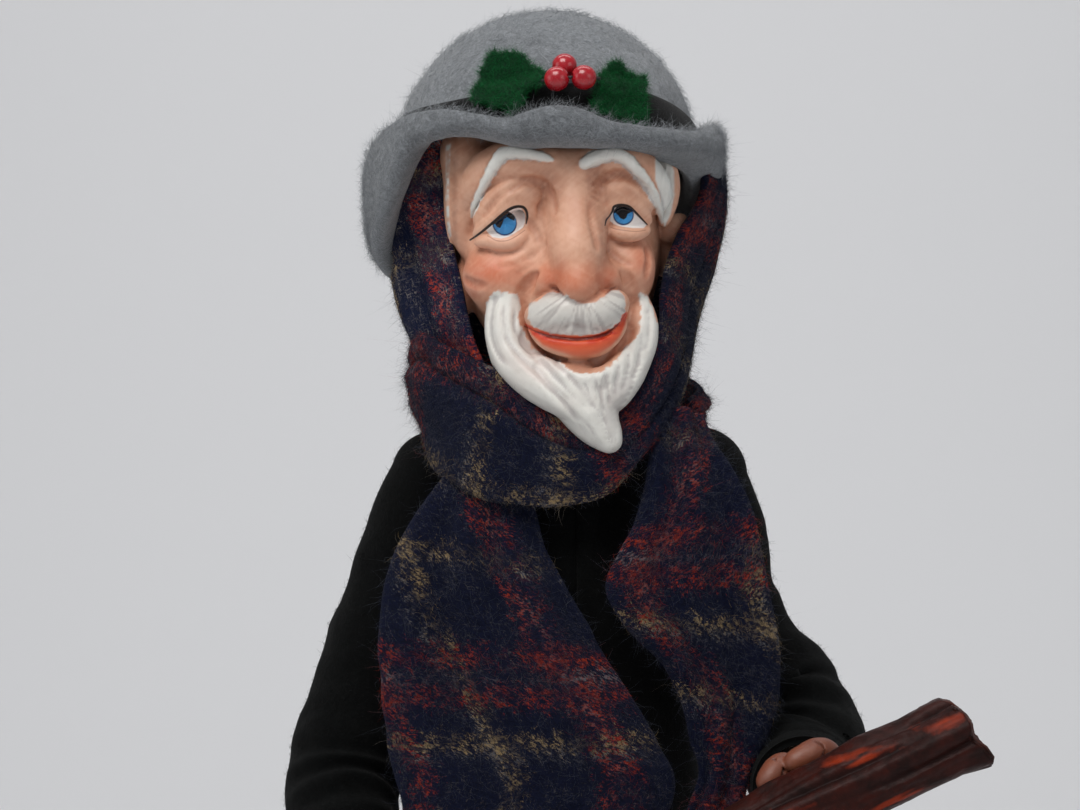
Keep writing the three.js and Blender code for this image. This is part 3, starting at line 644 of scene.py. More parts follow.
def scatter(verts, faces, count, seed, weight=None):
    """Evenly spread random places on a mesh: positions, normals, face index and the corner weights."""
    rng = np.random.default_rng(seed)
    tri = np.vstack([faces[:, [0, 1, 2]], faces[:, [0, 2, 3]]]) if faces.shape[1] == 4 else faces
    a, b, c = verts[tri[:, 0]], verts[tri[:, 1]], verts[tri[:, 2]]
    cr = np.cross(b - a, c - a)
    area_ = np.linalg.norm(cr, axis=1)
    w = area_ if weight is None else area_ * weight[tri].mean(1)
    pick = rng.choice(len(tri), count, p=w / w.sum())
    u, v = rng.random(count), rng.random(count)
    flip = u + v > 1
    u[flip], v[flip] = 1 - u[flip], 1 - v[flip]
    bar = np.stack([1 - u - v, u, v], 1)
    p = a[pick] * bar[:, :1] + b[pick] * bar[:, 1:2] + c[pick] * bar[:, 2:]
    n = cr[pick] / np.maximum(area_[pick, None], 1e-12)
    return p, n, tri[pick], bar


def wool(name, rgb, rgb2, fleck, scale=1.0, bump=0.6, rough=0.95, sheen=0.35, spec=0.2):
    """Felt: matted fibres in all directions, with lighter and darker flecks."""
    k = Nodes(name, rough)
    k.bsdf.inputs["Sheen Weight"].default_value = sheen
    k.bsdf.inputs["Sheen Roughness"].default_value = 0.5
    k.bsdf.inputs["Specular IOR Level"].default_value = spec
    warp = k.noise(260 * scale, 3, 0.6, colour=True)
    v = k.node("ShaderNodeVectorMath", operation="MULTIPLY_ADD")
    k.link(warp, v.inputs[0])
    v.inputs[1].default_value = (0.0035, 0.0035, 0.0035)
    k.link(k.p, v.inputs[2])
    a = k.noise(1500 * scale, 4, 0.65, v.outputs[0], 1.5)
    b = k.noise(620 * scale, 4, 0.6, v.outputs[0], 2.5)
    c = k.noise(60 * scale, 3, 0.55)
    col = k.mix(k.range(b, 0.38, 0.64), srgb(*rgb), srgb(*rgb2))
    col = k.mix(k.range(a, 0.56, 0.72, 0.0, 0.6), col, srgb(*fleck))
    col = k.mix(k.range(c, 0.3, 0.7, 0.0, 0.22), col, srgb(*[q * 0.62 for q in rgb]))
    h = k.math("ADD", k.math("MULTIPLY", a, 0.55), k.math("MULTIPLY", b, 0.45))
    return k.done(col, rough, k.bump(h, bump, 0.0005))


# ==== head: painted modelling clay ===================================================================
# Places on the face are given on a picture plane: (cx, cy) count from the top left of a portrait window of the front view,
# 16.466 units to a millimetre at the doll's axis, seen from EYE; P() puts such a place at depth y.
EYE = np.array([-5.0, -520.0, 252.0])


def P(cx, cy, y):
    f = (y - EYE[1]) / 520.0
    return np.array([EYE[0] + (cx - 653.4) / 16.466 * f, y, EYE[2] + (1323.1 - cy) / 16.466 * f])


def plane(p):
    """The picture-plane place of points p."""
    f = (p[:, 1] - EYE[1]) / 520.0
    return np.stack([653.4 + (p[:, 0] - EYE[0]) / f * 16.466, 1323.1 - (p[:, 2] - EYE[2]) / f * 16.466], 1)


def sd_poly(q, poly):
    """Signed distance from 2-D points to a closed polygon, negative inside."""
    poly = np.asarray(poly, float)
    best = np.full(len(q), 1e9)
    inside = np.zeros(len(q), bool)
    for a, b in zip(poly, np.roll(poly, -1, 0)):
        ab = b - a
        t = np.clip(((q - a) @ ab) / max(ab @ ab, 1e-9), 0, 1)
        best = np.minimum(best, np.linalg.norm(q - a - t[:, None] * ab, axis=1))
        cond = (a[1] > q[:, 1]) != (b[1] > q[:, 1])
        with np.errstate(divide="ignore", invalid="ignore"):
            x = a[0] + (q[:, 1] - a[1]) * (b[0] - a[0]) / (b[1] - a[1] if b[1] != a[1] else 1e-9)
        inside ^= cond & (q[:, 0] < x)
    return np.where(inside, -best, best)


# Outlines on the picture plane: x, y and, for strokes, half width.
BROW_L = [(431, 708, 7), (440, 672, 11), (458, 630, 14), (480, 585, 17), (505, 538, 21), (532, 503, 25), (570, 497, 24), (615, 502, 21), (660, 512, 17), (692, 522, 9)]
BROW_R = [(800, 534, 23), (825, 520, 26), (860, 508, 25), (900, 503, 24), (935, 520, 24), (965, 553, 23), (995, 590, 22), (1022, 632, 19), (1042, 680, 13), (1052, 728, 6)]
LASH_L = [(425, 784, 2.8), (449, 768, 3.6), (476, 747, 4.4), (502, 725, 4.6), (531, 700, 4.8), (555, 683, 5.0), (578, 675, 4.8), (598, 677, 4.8), (608, 688, 4.6), (612, 707, 3.8), (608, 731, 2.0)]
LASH_R = [(866, 736, 1.8), (870, 719, 2.6), (880, 706, 2.4), (890, 690, 3.6), (896, 675, 4.4), (918, 670, 4.8), (943, 675, 4.8), (960, 688, 4.0), (980, 709, 3.6), (1003, 733, 2.2)]
EYE_L = [(476, 750), (490, 735), (531, 698), (572, 676), (592, 680), (605, 702), (605, 725), (597, 744), (573, 760), (551, 773), (527, 779), (498, 775), (484, 761)]
EYE_R = [(882, 721), (886, 702), (892, 682), (915, 671), (943, 673), (960, 688), (981, 710), (1002, 734), (992, 745), (956, 745), (919, 740), (894, 732)]
SHADE_L = [(478, 745), (531, 694), (560, 676), (584, 684), (574, 706), (570, 722), (556, 716), (546, 710), (536, 716), (532, 728), (524, 746), (513, 742), (506, 732), (494, 740)]
SHADE_R = [(884, 700), (892, 672), (940, 668), (962, 690), (950, 694), (940, 700), (936, 712), (927, 718), (916, 714), (908, 704), (900, 696), (892, 698)]
MOUSTACHE = [(625, 994), (653, 984), (672, 968), (688, 958), (719, 962), (747, 972), (768, 988), (796, 1000), (837, 992), (866, 972), (890, 952), (911, 948), (923, 968), (928, 1000), (925, 1020), (907, 1046), (886, 1066), (845, 1086), (796, 1090), (743, 1090), (678, 1082), (637, 1064), (619, 1041), (619, 1013)]
LIPS = [(604, 1058), (637, 1072), (678, 1088), (743, 1097), (800, 1099), (845, 1092), (886, 1074), (912, 1046), (931, 1019), (938, 1022), (932, 1058), (915, 1099), (886, 1131), (845, 1156), (804, 1168), (764, 1164), (702, 1144), (662, 1126), (629, 1094)]
MOUTH_LINE = [(602, 1056), (637, 1073), (678, 1089), (743, 1098), (776, 1100), (825, 1095), (870, 1082), (905, 1054), (932, 1018)]
BEARD_OUT_L = [(539, 952), (502, 952), (478, 992), (472, 1050), (476, 1103), (498, 1160), (531, 1217), (576, 1266), (629, 1290), (674, 1315), (711, 1352), (751, 1397), (804, 1446), (845, 1474)]
BEARD_TIP = [(878, 1482), (903, 1466), (917, 1437), (919, 1405), (911, 1372)]
BEARD_OUT_R = [(917, 1356), (947, 1307), (984, 1241), (1009, 1180), (1029, 1119), (1037, 1058), (1029, 1025), (1009, 972), (988, 952), (976, 968)]
BEARD_IN = [(982, 1005), (980, 1058), (968, 1107), (939, 1127), (911, 1168), (894, 1184), (853, 1217), (825, 1221), (788, 1227), (760, 1217), (719, 1180), (662, 1158), (629, 1139), (621, 1119), (592, 1074), (584, 1037), (588, 1005), (580, 960)]
BEARD = BEARD_OUT_L + BEARD_TIP + BEARD_OUT_R + BEARD_IN
BEARD_WIDE = BEARD_OUT_L[:3] + [(472, 1040), (430, 1060), (430, 1500), (1120, 1500), (1120, 1080), (1037, 1050)] + BEARD_OUT_R[6:] + BEARD_IN
# Soft valleys between the beard's locks: points on the picture plane, depth, half width.
BEARD_VALLEYS = [
    ([(519, 956), (502, 1004), (494, 1058), (498, 1111), (519, 1160), (555, 1209)], 0.42, 10),
    ([(541, 960), (535, 1008), (537, 1062), (551, 1111), (580, 1152), (621, 1192), (670, 1241), (719, 1303), (768, 1360), (817, 1405)], 0.5, 12),
    ([(574, 988), (568, 1037), (570, 1086), (588, 1127), (633, 1168), (686, 1209), (735, 1262), (780, 1315), (817, 1360)], 0.42, 11),
    ([(633, 1176), (686, 1225), (719, 1282), (760, 1331)], 0.5, 22),
    ([(686, 1176), (735, 1217), (768, 1266), (796, 1315), (821, 1356)], 0.4, 13),
    ([(743, 1217), (780, 1258), (805, 1303), (833, 1348)], 0.36, 11),
    ([(796, 1237), (813, 1282), (833, 1323), (858, 1364), (870, 1405)], 0.34, 12),
    ([(837, 1233), (845, 1274), (858, 1315), (870, 1356)], 0.3, 10),
    ([(870, 1217), (874, 1258), (878, 1299), (882, 1327)], 0.4, 10),
    ([(911, 1184), (907, 1225), (900, 1266), (894, 1307)], 0.42, 11),
    ([(939, 1143), (943, 1192), (931, 1241), (915, 1290)], 0.42, 12),
    ([(984, 1086), (980, 1143), (968, 1201), (943, 1258)], 0.42, 12),
    ([(1004, 996), (1009, 1049), (1004, 1107), (992, 1160)], 0.36, 11),
]
HAIR_R = [(1034, 496), (1074, 512), (1092, 560), (1092, 640), (1080, 700), (1060, 742), (1050, 700), (1046, 640), (1030, 585), (1030, 530)]
HAIR_L = [(346, 470), (362, 470), (358, 560), (356, 640), (358, 720), (364, 770), (356, 780), (350, 740), (344, 640), (346, 560)]


def head_field():
    F = Field((-28, -34, 240.5), (28, 27, 319.5), 0.36)
    F.ellipsoid((-0.8, 3.5, 297), (20.6, 21.2, 20.2))
    F.ellipsoid((-0.9, -3.0, 281.5), (19.6, 18.4, 22.5), 5)
    F.ellipsoid((2.0, -6.6, 266.5), (13.4, 13.2, 10), 5)
    F.ellipsoid((4.2, -15.4, 259.8), (6.6, 7, 6.2), 4)
    F.tube([(0.2, 4.2, 247.2), (0.2, 2.2, 262)], [8.3, 8.6], 3)
    # cheeks and brow
    F.ellipsoid(P(520, 905, -14.2), (7.0, 6.4, 6.0), 4)
    F.ellipsoid(P(952, 885, -14.8), (4.4, 5.6, 5.8), 4)
    F.tube([P(430, 640, -13), P(500, 560, -17), P(600, 530, -19.6), P(700, 545, -20.2)], [2.4, 2.9, 2.9, 2.4], 3.2)
    F.tube([P(810, 545, -20.2), P(900, 530, -19.4), P(990, 580, -16.5), P(1030, 650, -13)], [2.4, 2.9, 2.7, 2.2], 3.2)
    # eye sockets and eyeballs
    F.ellipsoid(P(548, 690, -24.4), (7.4, 4.5, 5.6), 3.2, cut=True)
    F.ellipsoid(P(925, 672, -24.0), (6.4, 4.4, 5.4), 3.0, cut=True)
    F.ellipsoid(P(682, 620, -25.0), (2.6, 2.6, 5.2), 2.4, cut=True)
    F.ellipsoid(P(838, 610, -25.0), (2.6, 2.6, 5.4), 2.4, cut=True)
    F.ellipsoid(P(541, 730, -14.9), (5.6, 5.4, 5.2), 0.7)
    F.ellipsoid(P(928, 708, -14.9), (5.2, 5.4, 5.0), 0.7)
    # lids
    F.tube([P(446, 764, -17.8), P(482, 730, -19.5), P(525, 684, -20.6), P(572, 660, -20.8), (P(612, 668, -20.2)), P(628, 712, -19.2)], [0.7, 1.0, 1.25, 1.2, 1.0, 0.6], 0.9)
    F.tube([P(455, 720, -17.2), P(510, 655, -19.9), P(575, 622, -20.8), P(635, 640, -20.2)], [1.0, 1.5, 1.5, 1.0], 1.6)
    F.tube([P(450, 793, -17.6), P(485, 787, -19.0), P(530, 796, -19.9), P(575, 788, -19.9), P(612, 756, -19.0)], [0.7, 0.95, 1.05, 1.0, 0.6], 0.9)
    F.tube([P(862, 742, -18.6), P(872, 690, -19.9), P(900, 656, -20.6), P(938, 652, -20.6), P(975, 676, -19.8), P(1008, 722, -17.8)], [0.5, 0.95, 1.2, 1.2, 1.0, 0.6], 0.9)
    F.tube([P(860, 640, -20.4), P(905, 615, -20.8), P(960, 628, -19.8), P(1005, 670, -17.4)], [0.9, 1.4, 1.4, 0.9], 1.6)
    F.tube([P(876, 756, -18.8), P(915, 764, -19.6), P(960, 766, -19.2), P(1004, 752, -17.4)], [0.6, 0.95, 1.0, 0.6], 0.9)
    # nose
    F.tube([P(752, 540, -17.0), P(768, 640, -18.4), P(775, 760, -21.2), P(776, 850, -24.0)], [3.8, 3.3, 3.2, 3.4], 3.8)
    F.ellipsoid(P(780, 926, -25.2), (3.9, 4.3, 4.0), 2.6)
    F.ellipsoid(P(690, 922, -20.4), (3.6, 3.6, 2.8), 3.2)
    F.ellipsoid(P(864, 914, -20.6), (3.2, 3.6, 2.7), 3.2)
    F.tube([P(692, 938, -24.0), P(712, 950, -24.6), P(734, 968, -24.4)], [0.12, 0.3, 0.1], 0.9, cut=True)
    F.tube([P(898, 938, -23.6), P(884, 948, -24.2), P(868, 962, -24.2)], [0.1, 0.3, 0.12], 0.9, cut=True)
    # muzzle, folds from the nose to the corners of the mouth
    F.ellipsoid(P(780, 1050, -17.2), (9.2, 6.2, 7.0), 3.0)
    F.tube([P(640, 900, -21.6), P(606, 940, -21.0), P(590, 990, -20.6), P(592, 1050, -20.4), P(612, 1090, -20.8)], [0.5, 0.9, 0.9, 0.9, 0.5], 1.3, cut=True)
    F.tube([P(930, 890, -21.4), P(955, 935, -20.8), P(962, 985, -20.2), P(948, 1030, -20.4)], [0.5, 0.8, 0.9, 0.6], 1.3, cut=True)
    F.tube([P(560, 930, -18.6), P(545, 880, -18.6), P(600, 850, -19.4)], [0.8, 1.4, 0.8], 1.6)
    # lips and the line between
    F.tube([P(628, 1074, -21.6), P(680, 1112, -23.2), P(760, 1132, -24.2), P(830, 1128, -24.2), P(890, 1092, -23.0), P(926, 1050, -21.2)], [0.8, 1.5, 2.0, 2.0, 1.5, 0.7], 1.0)
    F.tube([P(604, 1052, -22.4), P(650, 1084, -24.6), P(745, 1101, -26.0), P(800, 1101, -26.2), P(860, 1092, -25.6), P(936, 1022, -22.2)], [0.5, 0.6, 0.6, 0.6, 0.6, 0.5], 0.5, cut=True)
    F.tube([P(690, 1186, -24.2), P(770, 1200, -25.4), P(850, 1188, -24.8)], [0.3, 0.4, 0.3], 1.8, cut=True)
    # moustache in two lobes
    F.tube([P(786, 1022, -24.4), P(720, 1020, -23.8), P(665, 1028, -22.4), P(634, 1034, -21.2)], [2.6, 3.0, 2.6, 1.3], 1.3)
    F.tube([P(790, 1026, -24.4), P(840, 1022, -24.2), P(888, 1002, -22.8), P(912, 985, -21.2)], [2.6, 3.0, 2.5, 1.3], 1.3)
    F.tube([P(640, 1054, -22.4), P(720, 1072, -24.0), P(800, 1075, -24.6), P(868, 1062, -23.8), P(906, 1036, -22.4)], [0.9, 1.2, 1.2, 1.1, 0.8], 1.2)
    # beard: side strips, body and tip
    F.tube([P(548, 975, -16.6), P(540, 1030, -16.8), P(548, 1100, -17.6), P(570, 1170, -18.6), P(628, 1228, -20.0), P(700, 1270, -21.8), P(770, 1310, -23.2)], [2.0, 3.0, 3.4, 3.6, 3.6, 3.6, 3.4], 1.6)
    F.tube([P(532, 1000, -14.0), P(528, 1080, -13.8), P(552, 1160, -14.6), P(600, 1230, -16.4)], [1.5, 2.1, 2.3, 2.2], 1.4)
    F.tube([P(980, 972, -15.6), P(986, 1030, -15.4), P(980, 1100, -16.4), P(950, 1170, -18.2), P(918, 1230, -20.6), P(868, 1290, -22.6)], [0.7, 2.0, 2.9, 3.3, 3.5, 3.6], 1.4)
    F.tube([P(770, 1255, -21.6), P(810, 1320, -22.8), P(850, 1385, -23.4), P(882, 1438, -23.8)], [4.4, 4.0, 2.6, 1.7], 1.8)
    F.tube([P(760, 1330, -21.0), P(820, 1395, -22.2), P(872, 1436, -23.2)], [2.7, 2.4, 1.5], 1.6)
    F.ellipsoid(P(886, 1446, -24.0), (1.95, 2.0, 1.9), 0.7)
    F.tube([P(650, 1190, -22.2), P(740, 1232, -24.4), P(800, 1248, -24.8), P(870, 1230, -24.2), P(940, 1170, -21.6)], [1.5, 1.8, 2.0, 1.8, 1.4], 1.0)
    # brows
    for brow, y0, y1 in ((BROW_L, -15.6, -22.2), (BROW_R, -22.4, -15.0)):
        q = np.array(brow, float)
        n = len(q)
        ys = np.linspace(y0, y1, n) if brow is BROW_R else y0 + (y1 - y0) * np.sqrt(np.linspace(0, 1, n))
        if brow is BROW_R:
            ys = y1 + (y0 - y1) * np.sqrt(np.linspace(1, 0, n))
        pts = np.array([P(a, b, y) for (a, b, _), y in zip(q, ys)])
        # lay the stroke on the surface below it
        for k in range(n):
            for _ in range(6):
                d = F.value(pts[k][None])[0]
                pts[k][1] += np.clip(d, -1.5, 1.5) * 0.8
                pts[k] = P(q[k, 0], q[k, 1], pts[k][1])
        F.tube(pts + np.array([0, -0.1, 0]), q[:, 2] / 16.466 * 0.8, 0.35)
    # ears under the hood
    F.ellipsoid((-21.0, 2.2, 283.5), (2.2, 4.0, 6.0), 1.0)
    F.ellipsoid((19.6, 0.6, 283.6), (3.4, 3.6, 6.2), 1.0)
    F.tube([P(1070, 760, -3.0), P(1098, 730, -2.6), P(1120, 716, -1.4)], [2.3, 1.5, 0.6], 1.0)
    F.ellipsoid((-20.0, -5.0, 274.8), (2.4, 3.4, 5.4), 1.6)
    F.tube([P(404, 888, -10.5), P(440, 925, -12.0), P(478, 942, -14.0)], [0.35, 0.6, 0.35], 0.7, cut=True)
    # side hair
    F.tube([P(1052, 510, -9), P(1070, 580, -8), P(1072, 650, -7.5), P(1058, 728, -8)], [1.6, 2.0, 1.8, 0.9], 0.8)
    F.ellipsoid(P(404, 640, -8.0), (3.9, 6.5, 11.0), 2.5)
    F.ellipsoid(P(430, 500, -6.0), (6.0, 8.0, 6.0), 4.0)
    F.tube([P(362, 470, -9.0), P(357, 600, -8.8), P(358, 720, -8.4), P(364, 790, -8.4)], [0.5, 0.6, 0.5, 0.35], 0.8)
    # wrinkles
    for line, r in (
        ([(560, 612), (610, 590), (660, 600), (690, 640), (700, 690)], 0.34),
        ([(845, 600), (880, 575), (925, 572), (975, 600), (1010, 640)], 0.32),
        ([(822, 660), (822, 710), (832, 760), (842, 810)], 0.12),
        ([(650, 800), (640, 760), (622, 730)], 0.3),
        ([(520, 870), (570, 862), (630, 830), (668, 800)], 0.06),
        ([(872, 800), (905, 840), (950, 862)], 0.06),
        ([(400, 912), (432, 930), (470, 936)], 0.34),
        ([(1005, 800), (1014, 850), (1004, 900)], 0.3),
        ([(470, 700), (520, 640), (580, 606)], 0.26),
        ([(602, 1090), (612, 1118), (636, 1142)], 0.3),
        ([(948, 1064), (940, 1100), (916, 1134)], 0.28),
    ):
        q = catmull(np.array(line, float), 10)
        pts = np.array([P(a, b, -20.0) for a, b in q])
        for k in range(len(pts)):
            for _ in range(7):
                d = F.value(pts[k][None])[0]
                pts[k] = P(q[k][0], q[k][1], pts[k][1] + np.clip(d, -2, 2) * 0.8)
        taper = np.sin(np.linspace(0.25, np.pi - 0.25, len(pts)))
        F.tube(pts + np.array([0, -0.52, 0]), r * 0.75 * (0.4 + 0.6 * taper) + 0.16, 1.2, cut=True, n=len(pts))
    return F


def strand_lines():
    """Guide lines of the beard's strands on the picture plane."""
    tip = (886, 1452)
    lines = []
    for a in np.linspace(0, 1, 9):
        s = (mix(494, 580, a), 966)
        lines.append([s, (mix(478, 580, a), 1070), (mix(540, 640, a), mix(1230, 1150, a)), (mix(700, 740, a), mix(1350, 1250, a)), (mix(830, 840, a), mix(1440, 1380, a)), tip])
    for a in np.linspace(0, 1, 6):
        lines.append([(mix(978, 996, a), 962), (mix(978, 1030, a), 1060), (mix(940, 1010, a), mix(1160, 1180, a)), (mix(880, 950, a), mix(1260, 1300, a)), (mix(870, 912, a), mix(1370, 1390, a)), tip])
    return [catmull(np.array(line, float), 24) for line in lines]


def build_head():
    F = head_field()
    guides = strand_lines()
    starts = np.vstack([g[:-1] for g in guides])
    dirs = np.vstack([np.diff(g, axis=0) for g in guides])
    mids = starts + dirs / 2
    dirs = dirs / np.linalg.norm(dirs, axis=1, keepdims=True)

    def flow_at(q):
        """Strand direction at picture-plane places, from the nearest guides."""
        out = np.zeros((len(q), 2))
        for k in range(0, len(q), 20000):
            part = q[k:k + 20000]
            d2 = ((part[:, None, :] - mids[None]) ** 2).sum(-1)
            w = 1 / (d2 + 120.0) ** 2
            v = (w[..., None] * dirs[None]).sum(1)
            out[k:k + 20000] = v / np.maximum(np.linalg.norm(v, axis=1, keepdims=True), 1e-9)
        return out

    def beard_mask(q, soft=10.0):
        return np.clip(0.5 - sd_poly(q, BEARD) / soft, 0, 1)

    # a coordinate that stays the same along a strand: follow the flow upward from a coarse grid of places
    gx, gy, step_g = np.arange(440, 1081, 5.0), np.arange(930, 1501, 5.0), 5.0
    grid = np.stack(np.meshgrid(gx, gy, indexing="ij"), -1).reshape(-1, 2)
    r = grid.copy()
    for _ in range(22):
        nxt = r - flow_at(r) * 22.0
        r = np.where((nxt[:, 1] < 975)[:, None], r, nxt)
    origin = (r[:, 0] + 0.25 * (r[:, 1] - 975)).reshape(len(gx), len(gy))

    def strands(q):
        a = np.clip((q[:, 0] - gx[0]) / step_g, 0, len(gx) - 1.001)
        b = np.clip((q[:, 1] - gy[0]) / step_g, 0, len(gy) - 1.001)
        i, j = a.astype(int), b.astype(int)
        u, w = a - i, b - j
        c = origin[i, j] * (1 - u) * (1 - w) + origin[i + 1, j] * u * (1 - w) + origin[i, j + 1] * (1 - u) * w + origin[i + 1, j + 1] * u * w
        p3 = np.stack([c, np.zeros_like(c), q[:, 1] * 0.12], 1)
        return 0.65 * lattice_noise(p3, 17.0, 3) + 0.35 * lattice_noise(p3, 7.5, 5)

    def valleys(q):
        out = np.zeros(len(q))
        for line, depth, width in BEARD_VALLEYS:
            line = np.array(line, float)
            near = (q[:, 0] > line[:, 0].min() - 3 * width) & (q[:, 0] < line[:, 0].max() + 3 * width) & (q[:, 1] > line[:, 1].min() - 3 * width) & (q[:, 1] < line[:, 1].max() + 3 * width)
            if near.any():
                d, t = polyline_distance(q[near], catmull(line, 24))
                fade = smoothstep(0, 0.12, t) * smoothstep(1.0, 0.8, t)
                out[near] += depth * np.exp(-((d / width) ** 2)) * fade
        return out

    def relief(p):
        q = plane(p)
        out = np.zeros(len(p))
        front = p[:, 1] < -5
        m = beard_mask(q, 14)
        sel = (m > 0) & front
        if sel.any():
            s = strands(q[sel])
            out[sel] += m[sel] * (0.2 * s - 0.12 + valleys(q[sel]))
        # moustache strands fan out from under the nose
        mm = np.clip(0.5 - sd_poly(q, MOUSTACHE) / 8.0, 0, 1)
        sel = (mm > 0) & (p[:, 1] < -15)
        if sel.any():
            d = q[sel] - np.array([790.0, 925.0])
            ang = np.degrees(np.arctan2(d[:, 0], d[:, 1]))
            p3 = np.stack([ang, np.linalg.norm(d, axis=1) * 0.05, 0 * ang], 1)
            out[sel] += mm[sel] * (0.16 * lattice_noise(p3, 7.5, 9) + 0.08 * lattice_noise(p3, 3.6, 11) - 0.05)
        for poly, seed in ((HAIR_R, 21), (HAIR_L, 23)):
            hm = np.clip(0.5 - sd_poly(q, poly) / 10.0, 0, 1)
            sel = (hm > 0) & (p[:, 1] < 6)
            if sel.any():
                c = (q[sel][:, 0] + 0.12 * q[sel][:, 1])[:, None] * np.array([[1, 0, 0]]) + q[sel][:, 1:2] * np.array([[0, 0, 0.12]])
                out[sel] += hm[sel] * 0.22 * lattice_noise(c, 8.0, seed)
        for brow, seed in ((BROW_L, 31), (BROW_R, 33)):
            line = np.array(brow, float)
            d, t, w = polyline_distance(q, line[:, :2], line[:, 2])
            sel = (d < w * 1.2) & (p[:, 1] < -8)
            if sel.any():
                c = np.stack([t[sel] * 40, d[sel] * 0.3, 0 * d[sel]], 1)
                out[sel] += 0.14 * lattice_noise(c, 1.6, seed)
        # tool marks of hand modelling all over
        out += 0.06 * fbm(p, 3.0, 2, 41) + 0.035 * fbm(p, 1.2, 2, 43)
        return out

    F.displace((-27, -33, 241), (27, 8, 306), relief)
    v, q = F.mesh()
    q = outward(v, q)

    # finer mesh where the paint has fine lines
    pp = plane(v)
    fine = np.zeros(len(v), bool)
    for x0, x1, y0, y1 in ((415, 625, 655, 795), (855, 1015, 655, 765)):
        fine |= (pp[:, 0] > x0) & (pp[:, 0] < x1) & (pp[:, 1] > y0) & (pp[:, 1] < y1) & (v[:, 1] < -12)
    md = polyline_distance(pp, np.array(MOUTH_LINE, float))[0]
    fine |= (md < 13) & (v[:, 1] < -14)
    ob = add_mesh("painted_head", v, q)
    bm = bmesh.new()
    bm.from_mesh(ob.data)
    bm.verts.ensure_lookup_table()
    edges = [e for e in bm.edges if fine[e.verts[0].index] and fine[e.verts[1].index]]
    bmesh.ops.subdivide_edges(bm, edges=edges, cuts=3, use_grid_fill=True, smooth=0.0)
    bm.to_mesh(ob.data)
    bm.free()
    me = ob.data
    me.polygons.foreach_set("use_smooth", np.ones(len(me.polygons), bool))
    n = len(me.vertices)
    co = np.zeros(n * 3, f4)
    me.vertices.foreach_get("co", co)
    p = co.reshape(-1, 3).astype(float) / MM
    # settle the vertices on the surface
    for _ in range(2):
        e = 0.3
        g = np.stack([F.value(p + np.eye(3)[k] * e) - F.value(p - np.eye(3)[k] * e) for k in range(3)], 1)
        L = np.linalg.norm(g, axis=1, keepdims=True)
        d = F.value(p) / np.maximum(L[:, 0] / (2 * e), 0.3)
        p = p - g / np.maximum(L, 1e-6) * np.clip(d, -0.2, 0.2)[:, None]
    me.vertices.foreach_set("co", (p * MM).astype(f4).ravel())
    me.update()
    nrm = -g / np.maximum(L, 1e-6) * -1.0
    paint_head(ob, p, nrm, F, strands)
    return ob


